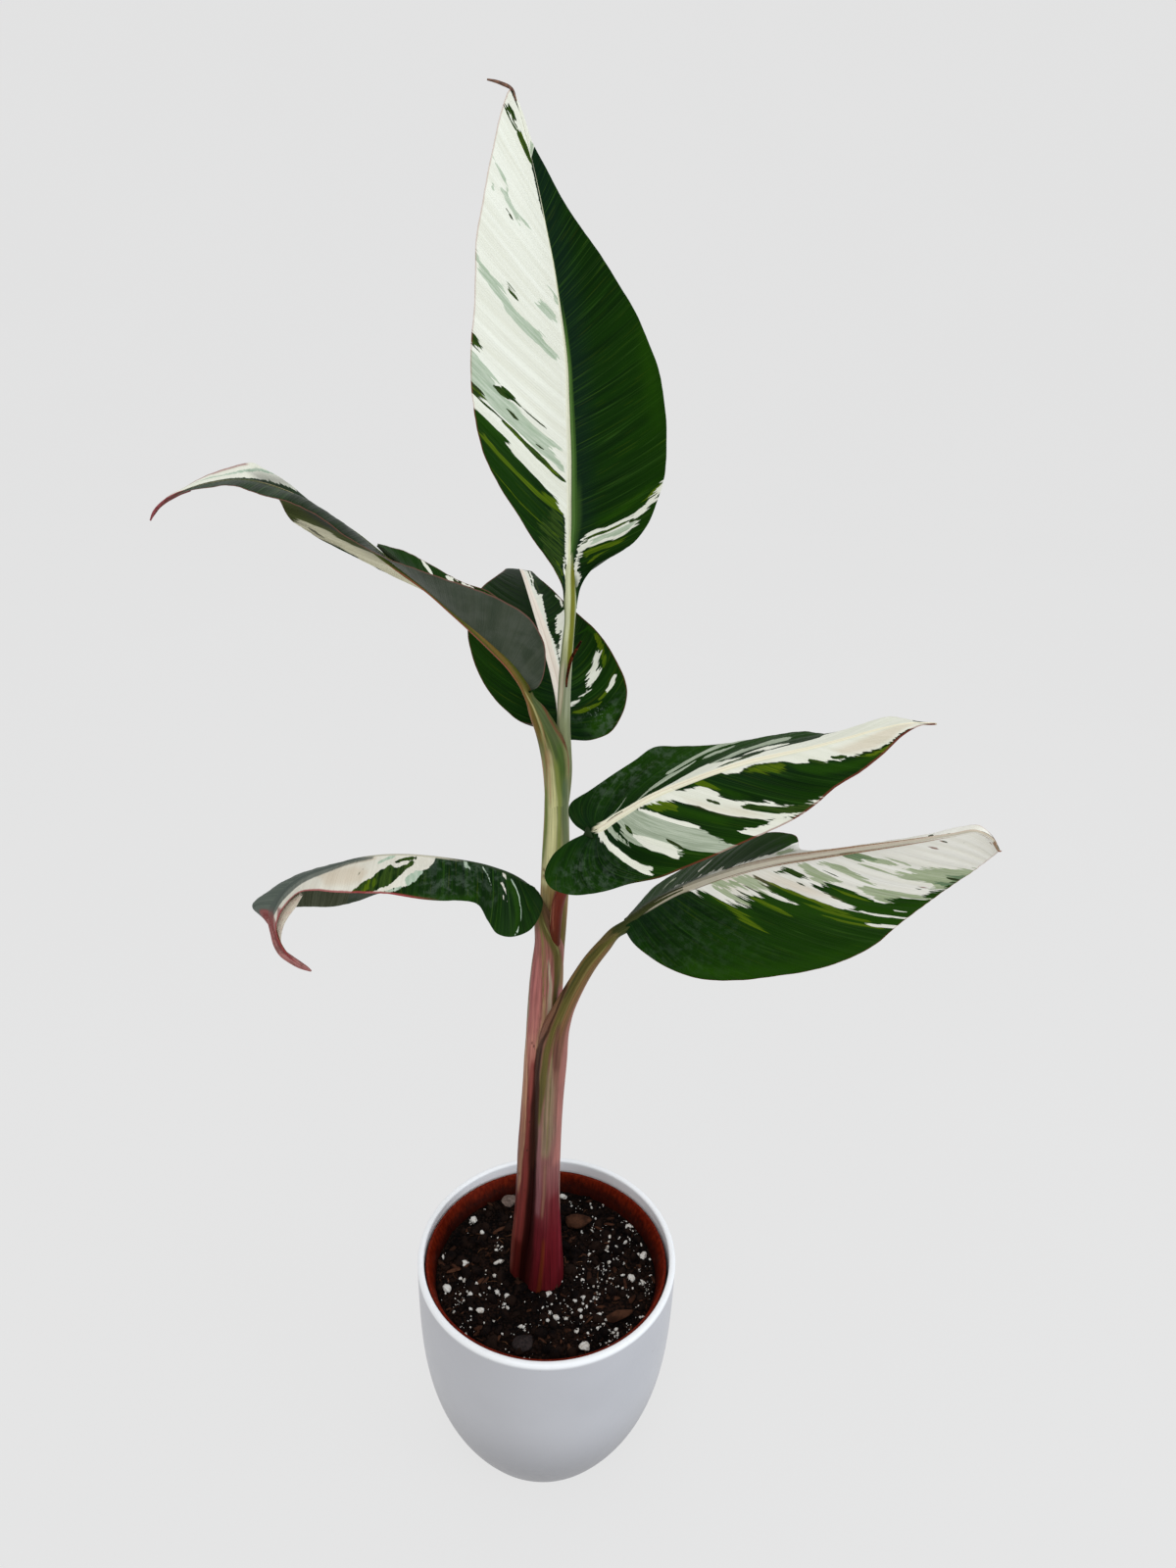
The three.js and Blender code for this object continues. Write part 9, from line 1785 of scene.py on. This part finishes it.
def fine_profile(points, step, round_at=()):
    """samples a polyline every step mm, with its named corners rounded: points are (r, z, corner radius)"""
    pts = [np.array(p[:2], float) for p in points]
    rad = [p[2] if len(p) > 2 else 0 for p in points]
    out = [pts[0]]
    for i in range(1, len(pts) - 1):
        a, b, c = pts[i - 1], pts[i], pts[i + 1]
        if rad[i] <= 0:
            out.append(b)
            continue
        u, v = unit(a - b), unit(c - b)
        cosang = float(np.clip(u @ v, -1, 1))
        half = math.acos(cosang) / 2
        d = min(rad[i] / max(math.tan(half), 1e-6), 0.48 * np.linalg.norm(a - b), 0.48 * np.linalg.norm(c - b))
        p0, p1 = b + u * d, b + v * d
        for s in np.linspace(0, 1, 7):
            out.append((1 - s) ** 2 * p0 + 2 * s * (1 - s) * b + s * s * p1)
    out.append(pts[-1])
    fine = [out[0]]
    for a, b in zip(out[:-1], out[1:]):
        n = max(1, int(np.linalg.norm(b - a) / step))
        for s in range(1, n + 1):
            fine.append(a + (b - a) * s / n)
    return np.array(fine)


COVER_H, COVER_R, COVER_BASE_R, COVER_CURVE, COVER_SOFT = 125.2, 67.5, 45.1, 3.67, 1.07
COVER_WALL, COVER_FLOOR, COVER_FOOT_R = 3.3, 3.6, 41.5


def cover_radius(z):
    u = min(max(z / COVER_H, 0), 1)
    return COVER_BASE_R + (COVER_R - COVER_BASE_R) * (1 - (1 - u) ** COVER_CURVE) ** COVER_SOFT


k = Nodes("cover_pot_glaze")
P = k.pos()
x, y, z = k.xyz(P)
soft = k.noise(P, 0.018, 3.0, 0.5)
fleck = k.voronoi(P, 0.16)
grime = k.noise(P, 0.22, 4.0, 0.65)
body_tone = k.mix(k.fit(soft, 0.35, 0.65), srgb(181, 182, 187), srgb(185, 186, 191))
# painted shade: the glaze darkens from 80 mm down to the foot, where less light reaches the pot
body_tone = k.mix(k.fit(z, 80.0, 8.0), body_tone, srgb(124, 124, 129))
# painted light: the inner wall is lightened to near white, fading in between 60 and 76 mm up, against the shade in the
# gap round the nursery pot
inside = k.fit(k.m("SQRT", k.add(k.mul(x, x), k.mul(y, y))), 65.2, 64.6)
body_tone = k.mix(k.mul(inside, k.fit(z, 60.0, 76.0)), body_tone, srgb(246, 247, 249))
# painted highlight: the lip from 121.5 mm up is near white, brighter than the body
col = k.mix(k.fit(z, 121.5, 124.0), body_tone, srgb(244, 246, 248))
col = k.mix(k.mul(k.fit(grime, 0.60, 0.80), 0.10), col, srgb(176, 172, 166))
col = k.mix(k.mul(k.fit(fleck.outputs["Distance"], 0.10, 0.05), k.mul(k.fit(k.white(k.vec(k.m("FLOOR", k.mul(x, 0.16)), k.m("FLOOR", k.mul(y, 0.16)), k.m("FLOOR", k.mul(z, 0.16)))), 0.90, 0.93), 0.5)), col, srgb(120, 104, 88))
ring = k.m("SINE", k.mul(z, 2 * math.pi / 1.9))
peel = k.noise(P, 0.55, 2.0, 0.5)
n = k.bump(k.add(k.mul(peel, 1.0), k.mul(ring, 0.02)), 0.00006, 0.7)
rough = k.fit(k.add(k.mul(grime, 0.6), k.mul(soft, 0.4)), 0.3, 0.7, 0.27, 0.37, "LINEAR")
GLAZE = k.finish(col, rough, n, Specular_IOR_Level=0.38)

prof = [(0, 0), (COVER_FOOT_R, 0, 0.4), (COVER_FOOT_R + 2.4, 0.6, 2.0), (cover_radius(2.2), 2.2, 2.0)]
prof += [(cover_radius(v), v) for v in np.arange(3.2, COVER_H - 3.0, 1.6)]
prof += [(COVER_R, COVER_H, 1.65), (COVER_R - COVER_WALL, COVER_H, 1.65)]
prof += [(cover_radius(v) - COVER_WALL, v) for v in np.arange(COVER_H - 3.0, 9.0, -2.0)]
prof += [(cover_radius(6) - COVER_WALL - 1.2, 5.6, 2.0), (cover_radius(6) - COVER_WALL - 4, COVER_FLOOR, 2.0), (0, COVER_FLOOR)]
sh = Shell()
lathe_mesh(sh, fine_profile(prof, 2.4), 144, 0)
ob = sh.piece("v_cover_pot", [GLAZE], sharp=60)
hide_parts("cover_pot")

# nursery pot, tilted a little inside the cover pot
NH, NTOP, NBASE, NWALL, NFLOOR, NRIM = 116.0, 63.2, 38.5, 1.3, 1.6, 9.0
ax, ay = -0.031, 0.008
RX = np.array([[1, 0, 0], [0, math.cos(ax), -math.sin(ax)], [0, math.sin(ax), math.cos(ax)]])
RY = np.array([[math.cos(ay), 0, math.sin(ay)], [0, 1, 0], [-math.sin(ay), 0, math.cos(ay)]])
NM = np.eye(4)
NM[:3, :3] = RX @ RY
NM[:3, 3] = (-1.1, -4.0, 5.3)


def nursery_wall(z):
    return NBASE + (NTOP - 1.6 - NBASE) * z / NH


k = Nodes("nursery_plastic")
P = k.pos()
x, y, z = k.xyz(P)
dust = k.noise(P, 0.16, 4.0, 0.65)
scuff = k.noise(k.vec(k.mul(x, 0.6), k.mul(y, 0.6), k.mul(z, 0.05)), 1.0, 3.0, 0.6)
low = k.fit(k.add(z, k.mul(k.sub(dust, 0.5), 9.0)), 119.0, 112.5)
col = k.mix(k.fit(scuff, 0.35, 0.7), srgb(84, 16, 3), srgb(112, 32, 10))
col = k.mix(k.mul(k.fit(dust, 0.55, 0.72), 0.35), col, srgb(64, 28, 18))
col = k.mix(k.mul(low, 0.8), col, srgb(26, 10, 7))
crumb = k.voronoi(P, 0.55)
col = k.mix(k.mul(k.fit(crumb.outputs["Distance"], 0.26, 0.16), k.mul(k.fit(k.add(z, k.mul(k.sub(dust, 0.5), 10.0)), 119.5, 114.0), 0.85)), col, srgb(26, 16, 12))
n = k.bump(k.add(k.mul(scuff, 0.6), dust), 0.00016, 0.8)
PLASTIC = k.finish(col, k.fit(dust, 0.3, 0.7, 0.38, 0.62, "LINEAR"), n, Specular_IOR_Level=0.05)

rz = NH - NRIM
prof = [(0, 0), (NBASE - 1.5, 0, 1.0), (NBASE, 1.5, 1.0)]
prof += [(nursery_wall(v), v) for v in np.arange(6, rz - 1, 6.0)]
prof += [(nursery_wall(rz), rz), (NTOP - 0.8, rz + 0.8, 0.4), (NTOP, NH, 0.8), (NTOP - 1.5, NH - 0.1, 0.7)]
prof += [(nursery_wall(rz + 1) - NWALL, rz + 1, 1.5)]
prof += [(nursery_wall(v) - NWALL, v) for v in np.arange(rz - 6, 4, -6.0)]
prof += [(NBASE - NWALL - 1, NFLOOR, 1.0), (0, NFLOOR)]
sh = Shell()
lathe_mesh(sh, fine_profile(prof, 3.0), 120, 0, NM)
ob = sh.piece("v_nursery_pot", [PLASTIC], sharp=50)
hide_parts("nursery_pot")

# ------------------------------------------------------------------ potting mix
MIX_EDGE, MIX_MOUND = 105.0, 1.6
MIX_R = nursery_wall(MIX_EDGE) - NWALL - 0.15
MOUND_F = [0, 0.18, 0.36, 0.6, 0.86, 1.0]
MOUND_H = [1, 1, 0.85, 0.5, 0.25, 0.0]


def mix_local(x, y):
    """height of the finished surface in the pot's own frame"""
    r = np.hypot(x, y)
    base = MIX_EDGE + MIX_MOUND * np.interp(r / 57.5, MOUND_F, MOUND_H)
    clod = fbm(x / 9.0, y / 9.0, 401, 3) - 0.5
    grain = fbm(x / 2.6, y / 2.6, 402, 3) - 0.5
    pit = np.abs(fbm(x / 4.6, y / 4.6, 403, 2) - 0.5)
    return base + 2.6 * clod + 1.7 * grain - 1.6 * pit + 0.35


def mix_world(x, y):
    """a point of the surface straight above the local x, y, in the row frame"""
    p = np.stack(np.broadcast_arrays(x, y, mix_local(x, y)), -1)
    return p @ NM[:3, :3].T + NM[:3, 3]


k = Nodes("potting_mix")
P = k.pos()
n1 = k.noise(P, 0.32, 5.0, 0.7)
n0 = k.noise(P, 0.075, 3.0, 0.6)
n2 = k.noise(P, 1.5, 4.0, 0.7)
v = k.voronoi(P, 0.75)
cellcol = k.voronoi(P, 0.75).outputs["Color"]
r_, g_, b_ = k.xyz(cellcol)
col = k.mix(k.fit(n1, 0.35, 0.65), srgb(8, 5, 5), srgb(17, 11, 9))
col = k.mix(k.mul(k.fit(n0, 0.46, 0.60), k.fit(n1, 0.35, 0.55, 0.3, 0.9)), col, srgb(44, 27, 19))
col = k.mix(k.mul(k.fit(r_, 0.55, 0.8), 0.55), col, srgb(29, 18, 13))
col = k.mix(k.mul(k.fit(g_, 0.72, 0.8), 0.4), col, srgb(50, 31, 22))
col = k.mix(k.mul(k.fit(v.outputs["Distance"], 0.40, 0.62), 0.85), col, srgb(4, 3, 3))
col = k.mix(k.mul(k.fit(n2, 0.66, 0.74), 0.45), col, srgb(80, 64, 54))
h = k.add(k.mul(v.outputs["Distance"], -0.8), k.mul(n2, 0.9))
nn = k.bump(h, 0.0007, 1.0)
MIX = k.finish(col, k.fit(n2, 0.3, 0.7, 0.72, 0.95, "LINEAR"), nn, Specular_IOR_Level=0.06)

rings = 100
around = 270
rr_ = np.linspace(0.6, MIX_R, rings)
aa_ = np.linspace(0, 2 * math.pi, around, endpoint=False)
X_, Y_ = rr_[:, None] * np.cos(aa_), rr_[:, None] * np.sin(aa_)
top = mix_world(X_, Y_)
low_ = np.stack([X_[-1], Y_[-1], np.full(around, 88.0)], -1) @ NM[:3, :3].T + NM[:3, 3]
verts = np.concatenate([top.reshape(-1, 3), low_, mix_world(np.zeros(1), np.zeros(1)), (np.array([[0, 0, 88.0]]) @ NM[:3, :3].T + NM[:3, 3])])
F = grid_faces(rings, around, 0, wrap=True, flip=True)
lastrow = (rings - 1) * around
lowrow = rings * around
for j in range(around):
    j2 = (j + 1) % around
    F.append((lastrow + j, lowrow + j, lowrow + j2, lastrow + j2))
    F.append((len(verts) - 2, j, j2))
    F.append((len(verts) - 1, lowrow + j2, lowrow + j))
sh = Shell()
sh.add(verts, F, 0)
ob = sh.piece("v_potting_mix", [MIX], sharp=0, weld=0)
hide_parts("potting_mix")


def ico(level):
    bm = bmesh.new()
    bmesh.ops.create_icosphere(bm, subdivisions=level, radius=1.0)
    v = np.array([u.co[:] for u in bm.verts])
    f = [tuple(w.index for w in q.verts) for q in bm.faces]
    bm.free()
    return v, f


ICO = {n: ico(n) for n in (1, 2, 3, 4)}
rng = np.random.default_rng(20260)


def rot_matrix(rng, tilt=1.0):
    a, b, c = rng.uniform(0, 2 * math.pi), rng.normal(0, 0.5 * tilt), rng.normal(0, 0.5 * tilt)
    Rz = np.array([[math.cos(a), -math.sin(a), 0], [math.sin(a), math.cos(a), 0], [0, 0, 1]])
    Ry_ = np.array([[math.cos(b), 0, math.sin(b)], [0, 1, 0], [-math.sin(b), 0, math.cos(b)]])
    Rx_ = np.array([[1, 0, 0], [0, math.cos(c), -math.sin(c)], [0, math.sin(c), math.cos(c)]])
    return Rz @ Ry_ @ Rx_


def lump_verts(level, half, rng, rough=0.16, facets=0.0):
    v, f = ICO[level]
    o = rng.uniform(0, 90, 3)
    d = 1 + rough * 2 * (fbm(v[:, 0] * 1.7 + o[0] + v[:, 2], v[:, 1] * 1.7 + o[1] - v[:, 2], 77, 3) - 0.5)
    w = v * d[:, None]
    if facets:
        for _ in range(7):
            nrm = unit(rng.normal(size=3))
            lim = rng.uniform(0.62, 0.85)
            over = np.maximum(w @ nrm - lim, 0)
            w = w - over[:, None] * nrm * facets
    return w * np.asarray(half), f


STEM_FEET = [(-13.0, 2.0, 9.5), (-4.0, -3.0, 13.5)]


def free_spot(rng, spread=1.0):
    while True:
        r = MIX_R * math.sqrt(rng.uniform(0, 1)) * 0.985
        a = rng.uniform(0, 2 * math.pi)
        x, y = r * math.cos(a), r * math.sin(a)
        wx, wy = x - 1.1, y - 4.0
        if all((wx - sx) ** 2 + (wy - sy) ** 2 > sr**2 for sx, sy, sr in STEM_FEET):
            return x, y

def crumb_skin(name, a, b, c, seed, rough=0.9):
    k = Nodes(name)
    P = k.pos()
    big = k.noise(P, 0.11, 3.0, 0.6)
    fine = k.noise(P, 1.7, 3.0, 0.65)
    col = k.mix(k.fit(big, 0.38, 0.62), a, b)
    col = k.mix(k.mul(k.fit(fine, 0.55, 0.70), 0.6), col, c)
    return k.finish(col, k.fit(fine, 0.3, 0.7, rough - 0.1, min(1.0, rough + 0.05), "LINEAR"), k.bump(fine, 0.0004), Specular_IOR_Level=0.06)


CRUMB = crumb_skin("soil_crumb", srgb(8, 5, 5), srgb(30, 19, 14), srgb(46, 30, 22), 1)
BARK = crumb_skin("bark_bit", srgb(44, 26, 18), srgb(76, 48, 34), srgb(26, 14, 9), 2)
FIBRE = crumb_skin("fibre", srgb(92, 62, 42), srgb(60, 38, 26), srgb(120, 92, 66), 3)

k = Nodes("perlite_grain")
P = k.pos()
pn = k.noise(P, 1.1, 4.0, 0.7)
stain = k.noise(P, 0.35, 2.0, 0.6)
cells = k.voronoi(P, 2.0)
col = k.mix(k.fit(stain, 0.45, 0.70), srgb(232, 231, 226), srgb(190, 182, 170))
col = k.mix(k.mul(k.fit(cells.outputs["Distance"], 0.42, 0.60), 0.35), col, srgb(168, 158, 146))
col = k.mix(k.mul(k.fit(pn, 0.64, 0.74), 0.5), col, srgb(120, 96, 78))
PERLITE = k.finish(col, k.fit(pn, 0.3, 0.7, 0.75, 0.95, "LINEAR"), k.bump(k.add(pn, k.mul(cells.outputs["Distance"], -0.6)), 0.0005), Specular_IOR_Level=0.3)

k = Nodes("dark_pebble")
P = k.pos()
pn = k.noise(P, 0.8, 4.0, 0.65)
DARK = k.finish(k.mix(k.fit(pn, 0.35, 0.65), srgb(26, 22, 22), srgb(52, 44, 43)), k.fit(pn, 0.3, 0.7, 0.55, 0.8, "LINEAR"), k.bump(pn, 0.0004), Specular_IOR_Level=0.06)
k = Nodes("tan_pebble")
P = k.pos()
pn = k.noise(P, 0.7, 4.0, 0.65)
TAN = k.finish(k.mix(k.fit(pn, 0.35, 0.65), srgb(122, 106, 98), srgb(84, 72, 66)), k.fit(pn, 0.3, 0.7, 0.6, 0.85, "LINEAR"), k.bump(pn, 0.0004), Specular_IOR_Level=0.06)

KIND_SKIN = {"perlite": PERLITE, "bark": BARK, "stone": DARK, "pebble": TAN}

# named pieces on the soil: each takes the place of its solid
placed = []
for name, x, y, a, b, c, turn, seed, kind in SOIL_PIECES:
    lo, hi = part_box(name)
    lo, hi = np.array(lo) * 1000, np.array(hi) * 1000
    r = np.random.default_rng(1000 + int(seed))
    v, f = lump_verts(4, (1, 1, 1), r, rough=0.42 if kind == "perlite" else 0.2, facets=0.9)
    T = np.array([[math.cos(turn), -math.sin(turn), 0], [math.sin(turn), math.cos(turn), 0], [0, 0, 1]])
    v = (v * np.array([a, b, c])) @ T.T
    size = v.max(0) - v.min(0)
    v = (v - (v.max(0) + v.min(0)) / 2) * ((hi - lo) / size * 1.02) + (lo + hi) / 2 + np.array([0, 0, -0.35])
    s = Shell()
    s.add(v, f, 0)
    ob = s.piece("v_" + name, [KIND_SKIN[kind]], sharp=0, weld=0)
    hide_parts(name)
    placed.append(((lo[0] + hi[0]) / 2, (lo[1] + hi[1]) / 2, max(hi[0] - lo[0], hi[1] - lo[1]) / 2))


def clear_of(wx, wy, r):
    return all((wx - px) ** 2 + (wy - py) ** 2 > (pr + r) ** 2 for px, py, pr in placed)


def scatter(name, count, skin, sizes, level, flat=(1, 1, 1), rough=0.2, facets=0.6, sink=0.25, bias=None, tilt=1.0, colours=None, seed=1):
    r = np.random.default_rng(seed)
    s = Shell()
    made = 0
    tries = 0
    while made < count and tries < count * 30:
        tries += 1
        x, y = free_spot(r)
        wx, wy = x - 1.1, y - 4.0
        if bias is not None and r.uniform() > bias(wx, wy):
            continue
        size = sizes(r)
        if not clear_of(wx, wy, size * 0.6) or math.hypot(x, y) + size * 0.8 > MIX_R:
            continue
        half = size * np.array([r.uniform(0.75, 1.25), r.uniform(0.6, 1.0), r.uniform(0.5, 0.85)]) * np.array(flat)
        v, f = lump_verts(level, half, r, rough, facets)
        v = v @ rot_matrix(r, tilt).T
        p = mix_world(np.array([x]), np.array([y]))[0]
        rise = -v[:, 2].min() * (1 - sink)
        s.add(v + p + np.array([0, 0, rise * 0.55]), f, 0)
        made += 1
    ob = s.piece(name, [skin], sharp=0, weld=0)
    return ob


few = 1.0
scatter("v_soil_crumbs", int(2300 * few), CRUMB, lambda r: min(2.6, 0.55 * math.exp(r.normal(0, 0.42)) + 0.25), 1, rough=0.25, facets=0.4, seed=31)
scatter("v_soil_clods", int(190 * few), CRUMB, lambda r: r.uniform(1.6, 3.4), 3, rough=0.34, facets=0.2, sink=0.55, seed=32)
clump = lambda x, y: 0.25 + 2.2 * smooth(0.50, 0.66, float(fbm(x / 11.0, y / 11.0, 511, 3)))
dense = lambda x, y: clump(x, y) * (0.22 + 0.40 * smooth(5, 50, x) + 0.25 * smooth(-20, -52, y) + 0.08 * smooth(-20, -50, x))
scatter("v_perlite_fines", int(640 * few), PERLITE, lambda r: 0.28 + 0.55 * r.uniform() ** 2.6, 2, rough=0.42, facets=0.8, bias=dense, seed=33)
scatter("v_perlite_grains", int(120 * few), PERLITE, lambda r: 0.75 + 0.95 * r.uniform() ** 1.8, 3, rough=0.42, facets=0.8, bias=dense, seed=34)
scatter("v_bark_bits", int(120 * few), BARK, lambda r: r.uniform(0.9, 2.6), 2, flat=(1.5, 0.7, 0.45), rough=0.2, facets=0.8, tilt=0.8, seed=35)


def fibres(name, count, seed):
    r = np.random.default_rng(seed)
    s = Shell()
    made = 0
    while made < count:
        x, y = free_spot(r)
        if math.hypot(x, y) > MIX_R - 7:
            continue
        a = r.uniform(0, 2 * math.pi)
        length = r.uniform(3, 9)
        bend = r.normal(0, 0.5)
        pts = []
        for t in np.linspace(0, 1, 6):
            px = x + length * t * math.cos(a + bend * t)
            py = y + length * t * math.sin(a + bend * t)
            if math.hypot(px, py) > MIX_R - 1.5:
                break
            q = mix_world(np.array([px]), np.array([py]))[0]
            pts.append([q[0], q[1], q[2] + 0.25 + 0.5 * math.sin(math.pi * t), 0.14 + 0.12 * (1 - abs(2 * t - 1))])
        if len(pts) < 4:
            continue
        sweep(s, pts, 0, sides=6, step=1.0)
        made += 1
    ob = s.piece(name, [FIBRE], sharp=0)


fibres("v_soil_fibres", int(46 * few), 36)

# ------------------------------------------------------------------ surroundings
def backdrop():
    """pale floor that curves up far behind the plant"""
    pts = []
    for y in np.linspace(-2.6, 2.2, 13):
        pts.append((y, 0.0))
    for a in np.linspace(0, math.pi / 2, 13)[1:]:
        pts.append((2.2 + 1.1 * math.sin(a), 1.1 * (1 - math.cos(a))))
    for z in np.linspace(1.1, 3.4, 6)[1:]:
        pts.append((3.3, z))
    xs = np.linspace(-3.6, 3.6, 9)
    verts = [(x, y, z) for y, z in pts for x in xs]
    faces = grid_faces(len(pts), len(xs), 0)
    me = bpy.data.meshes.new("floor")
    me.from_pydata(verts, [], faces)
    me.polygons.foreach_set("use_smooth", np.ones(len(me.polygons), bool))
    me.update()
    k = Nodes("floor_paper")
    P = k.pos(1.0)
    nz = k.noise(P, 3.0, 3.0)
    fine = k.noise(P, 420.0, 2.0)
    col = k.mix(k.fit(nz, 0.3, 0.7), FLOOR_A, FLOOR_B)
    mat = k.finish(col, 0.9, k.bump(fine, 0.0001, 0.4), Specular_IOR_Level=0.0)
    k.bsdf.inputs["Emission Color"].default_value = (1.0, 1.0, 1.0, 1.0)
    k.bsdf.inputs["Emission Strength"].default_value = 0.72
    me.materials.append(mat)
    ob = bpy.data.objects.new("floor", me)
    bpy.context.scene.collection.objects.link(ob)
    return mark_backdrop(ob)


FLOOR_A, FLOOR_B = (0.066, 0.066, 0.066), (0.070, 0.070, 0.070)
backdrop()

scene = bpy.context.scene
scene.view_settings.view_transform = "Standard"
scene.view_settings.look = "None"
scene.view_settings.exposure = 0.0
scene.view_settings.gamma = 1.0

world = bpy.data.worlds.new("studio")
scene.world = world
world.use_nodes = True
bg = world.node_tree.nodes["Background"]
bg.inputs[0].default_value = (0.95, 0.97, 1.0, 1.0)
bg.inputs[1].default_value = 0.50


def area(name, place, target, size, power, colour):
    data = bpy.data.lights.new(name, "AREA")
    data.shape = "RECTANGLE"
    data.size, data.size_y = size
    data.energy = power
    data.color = colour
    ob = bpy.data.objects.new(name, data)
    scene.collection.objects.link(ob)
    ob.location = place
    d = Vector(target) - Vector(place)
    ob.rotation_euler = d.to_track_quat("-Z", "Y").to_euler()
    return ob


area("key", (-0.18, -1.15, 1.55), (0, 0, 0.45), (1.1, 1.1), 11.5, (1.0, 0.99, 0.97))
area("fill", (1.3, -0.55, 0.55), (0, 0, 0.12), (0.8, 0.8), 7.5, (0.82, 0.90, 1.0))
area("top", (0.0, 0.25, 2.3), (0, 0, 0.3), (1.6, 1.6), 10.0, (1.0, 1.0, 1.0))

# camera: solved from the pot's ellipses, the whole 1200 x 1600 frame
cam_data = bpy.data.cameras.new("camera")
cam_data.sensor_width = 36.0
cam_data.sensor_fit = "AUTO"
cam_data.lens = 1202.0 * 36.0 / 1600.0
cam_data.clip_start = 0.02
cam_data.clip_end = 30
cam = bpy.data.objects.new("camera", cam_data)
scene.collection.objects.link(cam)
pitch, roll = math.radians(27.24), math.radians(1.90)
forward = Vector((0, math.cos(pitch), -math.sin(pitch)))
r0 = Vector((1, 0, 0))
u0 = r0.cross(forward)
right = r0 * math.cos(roll) + u0 * math.sin(roll)
up = -r0 * math.sin(roll) + u0 * math.cos(roll)
M3 = Matrix((right, up, -forward)).transposed()
cam.matrix_world = Matrix.Translation(Vector((0.0134, -0.4380, 0.6276))) @ M3.to_4x4()
scene.camera = cam
